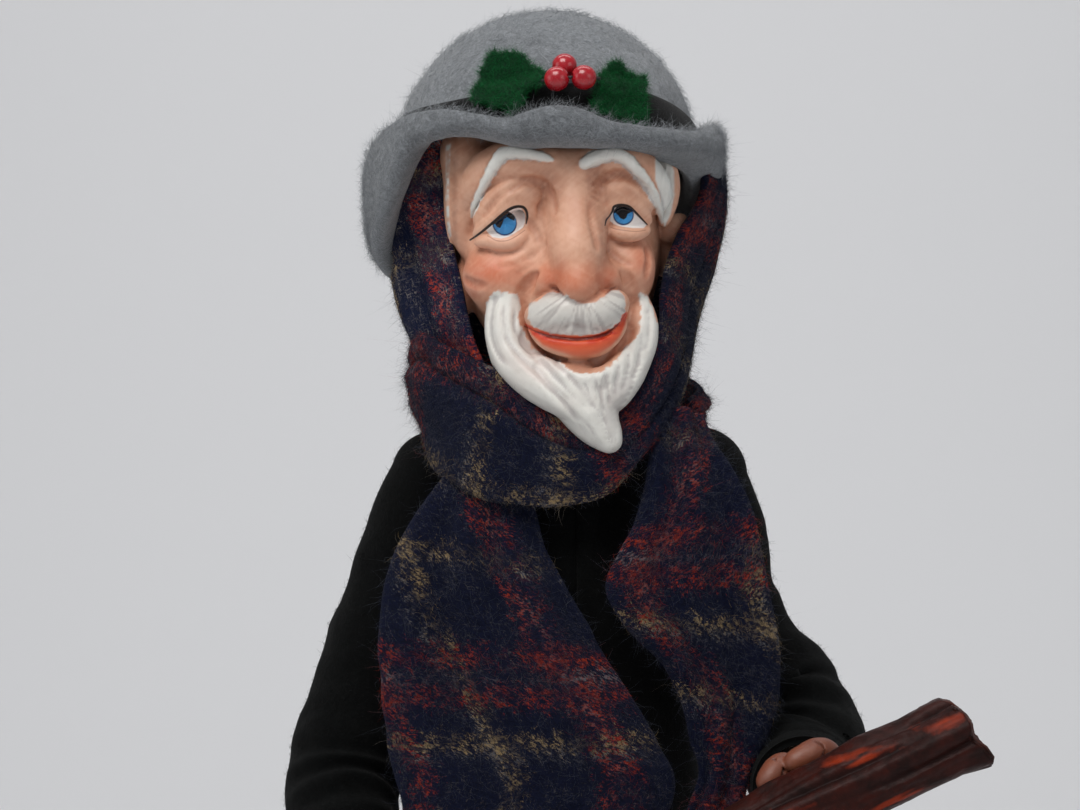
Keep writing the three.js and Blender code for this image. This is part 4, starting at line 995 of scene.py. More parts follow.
def paint_head(ob, p, nrm, F, strands):
    q = plane(p)
    front = p[:, 1] < -3
    cx, cy = q[:, 0], q[:, 1]
    n = len(p)
    skin = np.array(srgb(217, 166, 138))
    col = np.tile(skin, (n, 1))
    rough = np.full(n, 0.46)

    def lay(mask, rgb, amount=1.0):
        nonlocal col
        m = np.clip(mask * amount, 0, 1)[:, None]
        col = col * (1 - m) + np.array(srgb(*rgb))[None] * m

    def blob(x, y, rx, ry, power=1.0):
        d = ((cx - x) / rx) ** 2 + ((cy - y) / ry) ** 2
        return np.exp(-d * 1.4) ** power * front

    tone = fbm(p, 6.0, 3, 51)
    tone2 = fbm(p, 1.6, 2, 53)
    # forehead and lids lighter, cheeks and nose redder; painted highlight down the nose bridge and on the nose tip;
    # painted shade in brown in the eye sockets, under the brows, beside the nose, under the nose tip, in the folds by
    # the mouth and in the hollow under the lower lip
    lay(blob(620, 600, 260, 170) + blob(760, 700, 60, 160), (222, 176, 150), 0.5)
    lay(blob(500, 885, 100, 60), (214, 116, 82), 0.85)
    lay(blob(450, 860, 60, 60), (206, 120, 90), 0.4)
    lay(blob(560, 900, 80, 45), (216, 138, 108), 0.5)
    lay(blob(690, 908, 50, 42), (202, 108, 74), 0.95)
    lay(blob(776, 925, 104, 60), (204, 122, 88), 0.85)
    lay(blob(770, 690, 44, 150), (216, 164, 136), 0.6)
    # painted highlight on the nose tip
    lay(blob(790, 930, 24, 18), (228, 168, 140), 0.6)
    lay(blob(874, 908, 42, 42), (194, 102, 70), 0.9)
    # painted shade under the nose tip
    lay(blob(776, 986, 60, 14), (150, 100, 86), 0.6)
    lay(blob(992, 850, 42, 62), (202, 116, 86), 0.75)
    lay(blob(1012, 920, 36, 60), (176, 104, 80), 0.5)
    lay(blob(880, 820, 62, 70), (176, 126, 106), 0.55)
    lay(blob(850, 770, 40, 60), (170, 120, 100), 0.45)
    # painted shade: brown in the eye sockets, under the brows and beside the nose bridge
    lay(blob(660, 606, 66, 50), (160, 104, 80), 0.8)
    lay(blob(700, 660, 34, 80), (190, 136, 110), 0.5)
    lay(blob(600, 560, 80, 26), (188, 132, 106), 0.45)
    lay(blob(838, 610, 46, 76), (146, 92, 70), 0.9)
    lay(blob(900, 578, 66, 26), (166, 110, 86), 0.7)
    lay(blob(960, 620, 44, 44), (176, 120, 94), 0.6)
    lay(blob(500, 640, 44, 66), (196, 140, 114), 0.45)
    lay(blob(640, 740, 26, 40), (196, 142, 116), 0.5)
    lay(blob(1040, 770, 28, 60), (150, 100, 78), 0.6)
    lay(blob(1094, 756, 32, 44), (205, 140, 114), 0.6)
    lay(blob(430, 950, 46, 66), (184, 106, 82), 0.8)
    lay(blob(448, 1010, 30, 34), (214, 150, 122), 0.6)
    # painted shade in the folds from the nose to the mouth corners
    lay(blob(600, 980, 26, 60), (186, 120, 94), 0.6)
    lay(blob(596, 1060, 24, 44), (170, 104, 80), 0.6)
    lay(blob(955, 960, 26, 60), (186, 122, 98), 0.6)
    # painted shade in the hollow under the lower lip
    lay(blob(760, 1196, 110, 26), (190, 136, 110), 0.6)
    lay(blob(780, 1215, 60, 18), (170, 118, 96), 0.5)
    lay(blob(570, 820, 90, 22), (200, 150, 124), 0.45)
    lay(blob(520, 790, 90, 16), (222, 172, 146), 0.5)
    # painted shade darkens the hollows and a painted highlight lightens the ridges: from the field's own curvature
    e = 0.9
    lap = sum(F.value(p + np.eye(3)[k] * e) + F.value(p - np.eye(3)[k] * e) for k in range(3)) - 6 * F.value(p)
    e2 = 0.45
    lap2 = (sum(F.value(p + np.eye(3)[k] * e2) + F.value(p - np.eye(3)[k] * e2) for k in range(3)) - 6 * F.value(p)) * 2.2
    cavity_shade = np.clip(-(lap * 0.75 + lap2 * 0.25) - 0.03, 0, 1)
    ridge = np.clip((lap * 0.5 + lap2 * 0.5) - 0.22, 0, 1)
    cavity_shade_rgb = np.array(srgb(160, 98, 72))
    m = np.clip(cavity_shade * 1.0, 0, 0.42)[:, None]
    col = col * (1 - m) + cavity_shade_rgb * m
    m = np.clip(ridge * 0.9, 0, 0.22)[:, None]
    col = col * (1 - m) + np.array(srgb(232, 190, 164)) * m
    col *= (1 + 0.05 * tone + 0.035 * tone2)[:, None]
    # painted shade: a dark line down the temple beside the hair, a band under the brim, and brown down the sides of the
    # nose
    lay(np.exp(-(((cx - 374) / 12.0) ** 2)) * (cy > 440) * (cy < 860) * front, (148, 100, 80), 0.6)
    lay(blob(440, 480, 120, 26), (170, 112, 86), 0.6)
    lay(blob(822, 640, 30, 120), (150, 98, 76), 0.55)
    lay(blob(700, 636, 26, 70), (178, 122, 98), 0.4)
    lay(blob(812, 870, 20, 44) + blob(724, 872, 18, 40), (184, 112, 84), 0.5)
    # visible brushwork: short strokes of paler and redder paint
    for ang, length, width, seed, amount in ((0.5, 46.0, 9.0, 81, 0.30), (-0.7, 38.0, 7.0, 83, 0.26), (1.4, 30.0, 5.5, 85, 0.18)):
        ca, sa = math.cos(ang), math.sin(ang)
        st = lattice_noise(np.stack([(cx * ca + cy * sa) / length, (cy * ca - cx * sa) / width, p[:, 1] * 0.25], 1), 1.0, seed)
        lay(smoothstep(0.12, 0.62, st) * front, (226, 178, 150), amount)
        lay(smoothstep(0.12, 0.62, -st) * front, (202, 138, 108), amount * 0.8)
    # redder paint on the nose and the cheeks, paler paint under the eyes
    for x, y, rx, ry, tint, amount in ((560, 800, 100, 40, (232, 184, 158), 0.6), (774, 690, 40, 70, (200, 146, 120), 0.45), (690, 908, 52, 44, (192, 102, 70), 0.5), (874, 908, 40, 40, (188, 100, 70), 0.45), (778, 925, 84, 50, (200, 112, 80), 0.5), (500, 885, 88, 52, (208, 112, 80), 0.4), (985, 850, 46, 60, (206, 116, 84), 0.35)):
        lay(np.exp(-(((cx - x) / rx) ** 2 + ((cy - y) / ry) ** 2)) * front, tint, amount)

    def edge(sd, w=2.2):
        return np.clip(0.5 - sd / w, 0, 1) * front

    # lips
    sd = sd_poly(q, LIPS)
    line = np.array(MOUTH_LINE, float)
    md, mt = polyline_distance(q, line)
    fade = np.clip(0.5 - (sd + 2) / 22.0, 0, 1) * front
    lay(fade, (214, 116, 80), 0.9)
    lay(edge(sd, 8) * np.clip(1.4 - md / 66.0, 0, 1), (218, 84, 44), 0.95)
    streak = lattice_noise(np.c_[q[:, 0] * 0.35, q[:, 1], 0 * cx], 9.0, 71)
    lay(edge(sd, 6) * np.exp(-((md - 12) / 18.0) ** 2) * np.clip(0.6 + 1.0 * streak, 0, 1), (190, 36, 18), 0.9)
    # painted shade in the hollow under the lower lip
    lay(np.exp(-((cx - 800) / 90.0) ** 2 - ((cy - 1190) / 18.0) ** 2) * front, (164, 118, 98), 0.55)
    low = polyline_distance(q, line + [0, 9])[0]
    lay(np.clip(0.5 - (low - 5.5 * np.clip((cx - 600) / 90, 0.3, 1) * np.clip((930 - cx) / 60, 0.1, 1)) / 3.0, 0, 1) * front, (92, 24, 15), 0.9)

    # painted shade: the neck, which the scarf hides, is painted near black where it shows in the gap between hood and
    # wrap
    lay(smoothstep(265, 260, p[:, 2]) * smoothstep(-12, -6, p[:, 1]), (15, 17, 24), 1.0)

    # whites: brows, moustache, beard, hair
    white = np.array(srgb(227, 226, 219))
    grey = np.array(srgb(172, 167, 166))
    hair = np.zeros(n)
    for brow in (BROW_L, BROW_R):
        b = np.array(brow, float)
        d, t, w = polyline_distance(q, b[:, :2], b[:, 2])
        wob = 3.0 * lattice_noise(np.stack([t * 60, d * 0, d * 0], 1), 2.0, 61)
        hair = np.maximum(hair, edge(d - w + wob, 4) * (p[:, 1] < -8))
    hair_m = edge(sd_poly(q, MOUSTACHE) - 5.0 + 5.0 * lattice_noise(np.c_[q, 0 * cx] * 1.0, 11.0, 63), 4) * (p[:, 1] < -12)
    hair_b = edge(sd_poly(q, BEARD_WIDE) + 6.0 * lattice_noise(np.c_[cx * 2.2, cy, 0 * cx], 16.0, 65), 4)
    # the underside of the beard, behind its edge as seen from the front
    under = (p[:, 2] < 258.0) & (p[:, 1] < -12.5) | (p[:, 2] < 252) & (p[:, 1] < -10.2)
    hair_b = np.maximum(hair_b * (p[:, 1] < -10.5 + 0.6 * tone), under * 1.0)
    for poly in (HAIR_R,):
        hair = np.maximum(hair, np.clip(0.5 - sd_poly(q, poly) / 5.0, 0, 1) * (p[:, 1] < 4))
    strip_l = np.clip(0.5 - sd_poly(q, HAIR_L) / 5.0, 0, 1) * (p[:, 1] < 4) * np.clip(0.55 + 0.9 * lattice_noise(np.c_[q, 0 * cx], 9.0, 93), 0.15, 1)
    hair = np.maximum(hair, strip_l)
    allhair = np.maximum(np.maximum(hair, hair_m), hair_b)
    s = np.zeros(n)
    sel = hair_b > 0
    s[sel] = strands(q[sel])
    c_hair = np.tile(white, (n, 1))
    # greyer in the hollows of the beard and moustache as painted shade, and along the beard's strands
    m = np.clip(cavity_shade * 1.5 + 0.25 * np.clip(s, 0, 1) * hair_b, 0, 0.6)[:, None]
    c_hair = c_hair * (1 - m) + grey * m
    m = (hair_m * np.clip(0.35 + 0.5 * cavity_shade * 2, 0, 0.75))[:, None]
    c_hair = c_hair * (1 - m) + np.array(srgb(178, 169, 162)) * m
    fan = np.degrees(np.arctan2(cx - 790.0, cy - 925.0))
    stroke = lattice_noise(np.stack([fan, np.hypot(cx - 790, cy - 925) * 0.04, 0 * fan], 1), 3.2, 91)
    m = (hair_m * smoothstep(0.05, 0.6, stroke) * 0.5)[:, None]
    c_hair = c_hair * (1 - m) + np.array(srgb(146, 138, 136)) * m
    m = (hair_b * smoothstep(0.15, 0.7, s) * 0.35)[:, None]
    c_hair = c_hair * (1 - m) + np.array(srgb(168, 160, 158)) * m
    thin = blob(640, 1180, 120, 90) * hair_b
    m = np.clip(thin * (0.35 + 0.6 * smoothstep(-0.2, 0.5, s)), 0, 0.6)[:, None]
    c_hair = c_hair * (1 - m) + np.array(srgb(206, 188, 180)) * m
    c_hair *= (1 + 0.025 * tone)[:, None]
    col = col * (1 - allhair[:, None]) + c_hair * allhair[:, None]
    rough = rough * (1 - allhair) + 0.36 * allhair

    # eyes: white, blue ring and dark lower rim, then the dark upper part with the pupil, then the lash line
    for poly, lash, shade, (ix, iy), r, lobe in ((EYE_L, LASH_L, SHADE_L, (538, 730), 40, (548, 720)), (EYE_R, LASH_R, SHADE_R, (926, 702), 34, (903, 706))):
        sd = sd_poly(q, poly)
        inside = edge(sd, 3)
        lay(inside, (232, 226, 222), 1.0)
        lay(inside * np.exp(-(np.hypot(cx - ix - 36, cy - iy + 22) / 26.0) ** 2), (206, 188, 182), 0.5)
        d = np.hypot(cx - ix, cy - iy)
        ring = np.clip(0.5 - (d - r) / 2.6, 0, 1) * np.clip(0.5 - (sd - 2) / 3, 0, 1) * front
        lay(ring, (22, 52, 96), 1.0)
        iris = np.clip(0.5 - (d - r + 3.4 + 0.06 * (cy - iy)) / 2.4, 0, 1) * ring
        lay(iris, (64, 146, 206), 1.0)
        tint = lattice_noise(np.c_[np.degrees(np.arctan2(cy - iy, cx - ix)), d * 0.3, 0 * d], 16.0, 73)
        lay(iris * np.clip(0.3 + 0.5 * tint, 0, 1), (40, 112, 178), 0.6)
        lay(iris * np.clip(0.5 - (sd_poly(q, shade) + 1.0) / 2.4, 0, 1), (12, 14, 22), 1.0)
        lay(ring * np.clip(0.5 - (sd_poly(q, shade) + 1.0) / 2.4, 0, 1), (12, 12, 18), 1.0)
        Lc = catmull(np.array(lash, float), 80)
        d, t, w = polyline_distance(q, Lc[:, :2], Lc[:, 2])
        lay(np.clip(0.5 - (d - w) / 2.0, 0, 1) * front, (16, 11, 11), 1.0)
        rough[inside > 0.5] = 0.24
    for slit in ([(690, 938, 2.0), (706, 944, 4.0), (722, 956, 3.6), (734, 968, 1.0)], [(900, 938, 1.6), (888, 944, 3.8), (876, 954, 3.4), (867, 962, 1.0)]):
        L = catmull(np.array(slit, float), 20)
        d, t, w = polyline_distance(q, L[:, :2], L[:, 2])
        lay(np.clip(0.5 - (d - w) / 3.0, 0, 1) * front, (104, 50, 38), 0.75)
    # a fine brown line under each eye
    for low in ([(482, 770, 1.2), (512, 786, 1.8), (545, 786, 1.8), (575, 772, 1.6), (604, 752, 1.2)], [(884, 742, 1.2), (900, 748, 1.8), (925, 752, 1.6), (965, 756, 1.4), (998, 752, 1.0)]):
        L = catmull(np.array(low, float), 30)
        d, t, w = polyline_distance(q, L[:, :2], L[:, 2])
        lay(np.clip(0.5 - (d - w) / 2.2, 0, 1) * front, (150, 96, 74), 0.7)
    attribute(ob, "Paint", col, "FLOAT_COLOR")
    attribute(ob, "PaintRough", rough)
    attribute(ob, "Hair", allhair)

    k = Nodes("head_paint", 0.45)
    k.bsdf.inputs["Specular IOR Level"].default_value = 0.42
    k.bsdf.inputs["Subsurface Weight"].default_value = 0.0
    base = k.attr("Paint", "Color")
    speck = k.noise(900, 4, 0.6)
    cloudy = k.noise(160, 3, 0.6)
    c = k.mix(k.range(cloudy, 0.35, 0.7, 0.0, 0.10), base, srgb(150, 96, 72))
    c = k.mix(k.math("MULTIPLY", k.attr("Hair"), k.range(speck, 0.55, 0.75, 0.0, 0.25)), c, srgb(186, 180, 168))
    r = k.math("ADD", k.attr("PaintRough"), k.range(k.noise(420, 3), 0.3, 0.7, -0.07, 0.09))
    brush = k.noise(1500, 3, 0.6, k.mapped((1.0, 1.0, 0.35)))
    fine = k.noise(3200, 2, 0.5)
    h = k.math("ADD", k.math("MULTIPLY", brush, 0.7), k.math("MULTIPLY", fine, 0.3))
    k.done(c, r, k.bump(h, 0.42, 0.00014))
    ob.data.materials.clear()
    ob.data.materials.append(k.m)
# ==== hat: grey wool felt, black band, holly and berries ============================================
HAT_T = np.array([-3.0, 2.0, 291.0])
HAT_M = np.array((Matrix.Rotation(math.radians(-4), 3, "Y") @ Matrix.Rotation(math.radians(-19), 3, "X")), float)
HAT_BALL, HAT_CENTRE = 30.2, 10.0


def hat_world(p):
    return p @ HAT_M.T + HAT_T


def hat_local(p):
    return (p - HAT_T) @ HAT_M


_rim = np.array([
    # angle from the front, top of the rolled rim, lowest line of the brim, outer radius
    [-180, 2.6, -6.0, 36.2], [-150, 3.4, -6.0, 36.4], [-120, 6.2, -7.8, 36.8], [-100, 9.6, -8.4, 36.6], [-90, 11.2, -8.2, 36.4], [-75, 12.6, -7.0, 35.9], [-66, 12.8, -5.0, 35.6], [-60, 12.8, -3.0, 35.4], [-55, 12.6, -0.4, 35.3], [-50, 12.3, 2.0, 35.3],
    [-40, 10.9, 3.2, 35.3], [-30, 9.0, 4.0, 35.4], [-20, 6.5, 2.8, 35.4], [-12, 4.8, 0.0, 35.4], [-4, 5.6, -1.2, 35.4], [4, 6.3, -1.8, 35.3], [11, 5.6, -2.4, 35.3], [20, 3.4, -2.3, 35.4], [30, 3.2, -1.8, 35.5],
    [40, 3.8, -1.0, 35.6], [50, 4.8, 0.2, 35.8], [60, 7.0, 2.0, 36.0], [70, 10.4, 3.2, 36.2], [78, 12.0, 3.8, 36.0], [88, 11.6, 3.0, 35.4], [105, 7.6, -0.6, 35.4], [130, 4.6, -3.6, 35.8], [155, 3.0, -5.4, 36.0], [180, 2.6, -6.0, 36.2]], float)


def rim(phi):
    """Rim heights and radius by angle in degrees from the front, +90 on the doll's left."""
    d = (phi + 180) % 360 - 180
    k = np.vstack([_rim[-4:-1] - [360, 0, 0, 0], _rim, _rim[1:4] + [360, 0, 0, 0]])
    return [curve_at(k[:, 0], k[:, c])(d) for c in (1, 2, 3)]


# height at which the brim leaves the crown, by angle
_foot = np.array([[-180, 0.1], [-130, 0.4], [-108, 3.5], [-88, 8.6], [-72, 10.6], [-58, 10.4], [-46, 9.6], [-34, 7.8], [-22, 4.8], [-10, 2.5], [4, 2.0], [24, 2.0], [44, 2.2], [62, 2.6], [80, 2.6], [100, 1.4], [130, 0.3], [180, 0.1]], float)


def build_hat():
    nu = 360
    phis = np.linspace(-180, 180, nu, endpoint=False)
    top, low, rad = rim(phis)
    foots = curve_at(_foot[:, 0], _foot[:, 1])(phis)
    rng = np.random.default_rng(4)
    cols = []
    T = 2.5
    for i, phi in enumerate(phis):
        s, c = math.sin(math.radians(phi)), -math.cos(math.radians(phi))
        ft = foots[i]
        a0 = math.asin((ft + 1.75 - HAT_CENTRE) / HAT_BALL)
        crown_a = np.linspace(math.radians(88.8), a0, 72)
        q = np.array([[HAT_BALL * math.cos(a), HAT_CENTRE + HAT_BALL * math.sin(a)] for a in crown_a])
        wob = 0.35 * math.sin(math.radians(phi * 3 + 40)) + 0.25 * math.sin(math.radians(phi * 7 + 10))
        P0, P1 = np.array([28.0, ft]), np.array([31.0, max(mix(ft, low[i] + 0.6, 0.6), ft - 1.6)])
        P2, P3 = np.array([rad[i] - 0.4, mix(low[i] + 0.6, top[i], 0.12)]), np.array([rad[i] - T / 2 - 0.1, top[i] - T / 2 + 0.25 * wob])
        # where the brim hangs well below its root it drops as a flap
        w = float(smoothstep(5.0, 11.0, ft - low[i])) * float(smoothstep(-40, -70, phi))
        P1 = P1 * (1 - w) + w * np.array([33.4, low[i] - 2.6])
        P2 = P2 * (1 - w) + w * np.array([rad[i] + 0.8, low[i] - 2.0])
        t = np.linspace(0, 1, 30)[:, None]
        mid = (1 - t) ** 3 * P0 + 3 * (1 - t) ** 2 * t * P1 + 3 * (1 - t) * t**2 * P2 + t**3 * P3
        tan = np.gradient(mid, axis=0)
        tan /= np.linalg.norm(tan, axis=1, keepdims=True)
        nor = np.stack([-tan[:, 1], tan[:, 0]], 1)
        th = T / 2 * (1 + 0.12 * np.sin(t * 6 + phi * 0.05))
        upper, lower = mid + nor * th, mid - nor * th
        end = mid[-1]
        ang = math.atan2(nor[-1, 1], nor[-1, 0])
        capp = np.array([end + T / 2 * np.array([math.cos(ang - b), math.sin(ang - b)]) for b in np.linspace(0.35, math.pi - 0.35, 8)])
        r_foot = HAT_BALL * math.cos(a0)
        upper = upper[upper[:, 0] > r_foot + 0.1]
        a_in = math.asin(max(-0.24, (ft + 0.5 - HAT_CENTRE) / (HAT_BALL - 2.6)))
        inner = np.array([[(HAT_BALL - 2.6) * math.cos(a), HAT_CENTRE + (HAT_BALL - 2.6) * math.sin(a)] for a in np.linspace(a_in, math.radians(88.8), 36)])
        foot = np.array([[r_foot + 0.05, ft + 1.45]])
        up = np.vstack([foot, upper])
        seg = np.r_[0, np.cumsum(np.linalg.norm(np.diff(up, axis=0), axis=1))]
        up = np.stack([np.interp(np.linspace(0, seg[-1], 30), seg, up[:, k]) for k in (0, 1)], 1)
        prof = np.vstack([q, up, capp, lower[::-1], inner])
        cols.append(np.stack([prof[:, 0] * s, prof[:, 0] * c, prof[:, 1]], 1))
    v = np.stack(cols)  # nu, nv, 3
    nv = v.shape[1]
    v = v.reshape(-1, 3)
    # hand-shaped unevenness
    rr = v / np.maximum(np.linalg.norm(v - [0, 0, 6], axis=1, keepdims=True), 1e-6)
    v = v + rr * (0.35 * fbm(v, 13.0, 2, 101) + 0.16 * fbm(v, 3.4, 2, 103))[:, None]
    poles = np.array([[0, 0, HAT_CENTRE + HAT_BALL], [0, 0, HAT_CENTRE + HAT_BALL - 2.6]])
    faces = grid_faces(nu, nv, wrap_u=True)
    allv = hat_world(np.vstack([v, poles]))
    ip, jp = len(v), len(v) + 1
    tris = [(i * nv, ((i + 1) % nu) * nv, ip) for i in range(nu)]
    tris += [(((i + 1) % nu) * nv + nv - 1, i * nv + nv - 1, jp) for i in range(nu)]
    c = allv[faces]
    vol = np.einsum("ij,ij->i", c[:, 0], np.cross(c[:, 1], c[:, 2])).sum() + np.einsum("ij,ij->i", c[:, 0], np.cross(c[:, 2], c[:, 3])).sum()
    fl = [tuple(map(int, f)) for f in faces] + tris
    if vol < 0:
        fl = [tuple(reversed(f)) for f in fl]
        faces = faces[:, ::-1]
    felt = wool("hat_felt_grey", (104, 108, 112), (134, 138, 142), (172, 176, 180), 1.0, 1.0)
    ob = add_mesh("felt_hat", allv, fl, felt, "head", ["hat"])
    # nap, combed round the brim and down the crown
    n = 27000
    nvis = 72 + 30 + 8 + 12
    inside = np.zeros(len(allv))
    cols_idx = np.arange(len(v)) % nv
    under_band = (v[:, 2] < 13.0 + 4.6 * np.exp(-((np.degrees(np.arctan2(v[:, 0], -v[:, 1])) + 75) / 30.0) ** 2)) & (np.hypot(v[:, 0], v[:, 1]) < 31.4)
    under_leaf = (np.abs(np.degrees(np.arctan2(v[:, 0], -v[:, 1])) - 8) < 38) & (v[:, 2] < 22) & (cols_idx < 74)
    inside[:len(v)] = (cols_idx < nvis) * (1 + 2.2 * (cols_idx > 74)) * ~under_band * ~under_leaf
    p, nn, _, _ = scatter(allv, faces, n, 7, inside)
    ax = HAT_M @ np.array([0, 0, 1.0])
    along = np.cross(ax[None], nn) + np.random.default_rng(5).normal(0, 0.9, (n, 3))
    grey = np.tile(np.array(srgb(140, 144, 148)), (n, 1))
    nap = fibres("hat_nap", p, nn, along, grey * (0.75 + 0.5 * np.random.default_rng(6).random(n))[:, None], 2.6, 0.027, 0.5, 9, fibre_material("hat_fibre", 0.75, 1.0, 0.2, 0.25), 0.7)
    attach(nap, "head")

    # band
    zb = np.linspace(1.9, 12.4, 14)
    nb = 240
    outer, innr = [], []
    for phi in np.linspace(-180, 180, nb, endpoint=False):
        s, c = math.sin(math.radians(phi)), -math.cos(math.radians(phi))
        lift = 0.22 * math.sin(math.radians(5 * phi)) + 4.6 * math.exp(-(((phi + 75) / 30.0) ** 2)) + 0.6 * math.exp(-(((phi - 50) / 26.0) ** 2))
        low_edge = float(curve_at(_foot[:, 0], _foot[:, 1])(np.array([phi]))[0]) + 1.0
        zt = low_edge + (12.4 + lift - low_edge) * (zb - 1.9) / 10.5
        r = np.sqrt(HAT_BALL**2 - (zt - HAT_CENTRE) ** 2)
        g = 0.25 + 1.0 * np.sqrt(np.clip(np.sin(np.linspace(0.12, np.pi - 0.12, 14)), 0, 1))
        outer.append(np.stack([(r + g) * s, (r + g) * c, zt], 1))
        innr.append(np.stack([(r + 0.12) * s, (r + 0.12) * c, zt], 1))
    bo, bi = np.vstack(outer), np.vstack(innr)
    bv, bf = shell(bo, grid_faces(nb, 14, wrap_u=True), nb, 14, 1.0, wrap_u=True, inner=bi)
    bv = hat_world(bv)
    band = add_mesh("felt_band", bv, outward(bv, bf), wool("band_black", (9, 9, 10), (17, 17, 18), (34, 34, 36), 1.2, 0.6, 0.95, 0.08), "head", ["hat_band"])
    return ob


LEAF_A = [(500, 168), (530, 176), (552, 170), (580, 178), (604, 184), (610, 204), (618, 218), (640, 220), (668, 242), (660, 262), (668, 274), (640, 280), (618, 290), (592, 306), (598, 326), (584, 348), (560, 370), (546, 356), (530, 346), (512, 352), (484, 338), (462, 332), (436, 322), (432, 304), (446, 286), (462, 262), (456, 242), (466, 222), (478, 206), (484, 186)]
LEAF_B = [(892, 204), (914, 202), (926, 216), (934, 236), (948, 242), (966, 252), (994, 254), (1000, 274), (990, 290), (1000, 318), (994, 340), (1002, 368), (998, 404), (974, 400), (952, 404), (926, 386), (904, 384), (880, 374), (852, 372), (832, 362), (826, 340), (838, 322), (834, 300), (846, 282), (838, 262), (842, 246), (858, 240), (872, 226), (878, 212)]


def laid_flat(poly):
    """An outline on the crown, unrolled about its middle, in millimetres."""
    R, pts = HAT_BALL + 2.2, []
    for x, y in poly:
        lo, hi = -40.0, 0.0
        for _ in range(40):
            m = (lo + hi) / 2
            if np.linalg.norm(hat_local(P(x, y, m)) - [0, 0, HAT_CENTRE]) > R:
                lo = m
            else:
                hi = m
        pts.append(hat_local(P(x, y, hi)) - [0, 0, HAT_CENTRE])
    u = np.array(pts) / R
    c = u.mean(0) / np.linalg.norm(u.mean(0))
    e1 = np.cross([0, 0, 1.0], c)
    e1 /= np.linalg.norm(e1)
    e2 = np.cross(c, e1)
    along = np.clip(u @ c, -1, 1)
    t = u - along[:, None] * c
    t /= np.maximum(np.linalg.norm(t, axis=1, keepdims=True), 1e-9)
    return (np.arccos(along) * R)[:, None] * np.stack([t @ e1, t @ e2], 1)


def build_leaf(name, poly, seed, node):
    poly = np.array(poly, float)
    mid = poly.mean(0)
    lo2, hi2 = poly.min(0) - 14, poly.max(0) + 14
    c = P(mid[0], mid[1], -26)
    F = Field((c[0] - 9.5, -30, c[2] - 9.5), (c[0] + 9.5, -12, c[2] + 9.5), 0.2)
    g = np.stack(np.meshgrid(*F.axes, indexing="ij"), -1).reshape(-1, 3).astype(float)
    q = plane(g)
    loc = hat_local(g)
    ball = np.linalg.norm(loc - [0, 0, HAT_CENTRE], axis=1) - HAT_BALL
    near = (ball > 0) & (ball < 5) & (q[:, 0] > lo2[0]) & (q[:, 0] < hi2[0]) & (q[:, 1] > lo2[1]) & (q[:, 1] < hi2[1])
    d = np.full(len(g), 9.0)
    gn, qn, bn = g[near], q[near], ball[near]
    ragged = 5.0 * lattice_noise(np.c_[qn, 0 * qn[:, 0]], 11.0, seed) + 3.0 * lattice_noise(np.c_[qn, 0 * qn[:, 0]], 4.5, seed + 3)
    d2 = (sd_poly(qn, poly) + ragged) / 17.0
    u = (qn - mid) / 60.0
    over_band = smoothstep(14.4, 11.4, loc[near][:, 2])
    off = 1.15 + 1.35 * over_band + 0.55 * np.clip((u**2).sum(1), 0, 3) + 0.35 * lattice_noise(gn, 4.0, seed + 5)
    d3 = np.abs(bn - off) - 0.55 - 0.08 * fbm(gn, 1.0, 2, seed + 9)
    d[near] = np.maximum(d2, d3)
    F.f = d.reshape(F.n).astype(f4)
    v, f = F.mesh()
    f = outward(v, f)
    leaf = add_mesh(name, v, f, LEAF_MAT, "head", [node])
    n = 7000
    p, nn, _, _ = scatter(v, f, n, seed)
    along = np.random.default_rng(seed).normal(0, 1, (n, 3))
    col = np.tile(np.array(srgb(16, 92, 46)), (n, 1)) * (0.45 + 1.1 * np.random.default_rng(seed + 2).random(n) ** 1.5)[:, None]
    nap = fibres(name + "_nap", p, nn, along, col, 1.5, 0.028, 0.7, seed + 1, LEAF_NAP, 0.8)
    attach(nap, "head")
    cut = laid_flat(poly) * MM
    x, y = cut[:, 0], cut[:, 1]
    float(np.ptp(x))
    float(np.ptp(y))
    float(abs(x @ np.roll(y, 1) - y @ np.roll(x, 1)) / 2)
    return leaf


BERRIES = [np.array(b) for b in ((2.7, -35.0, 11.4), (7.8, -34.8, 11.4), (4.4, -32.35, 15.3))]


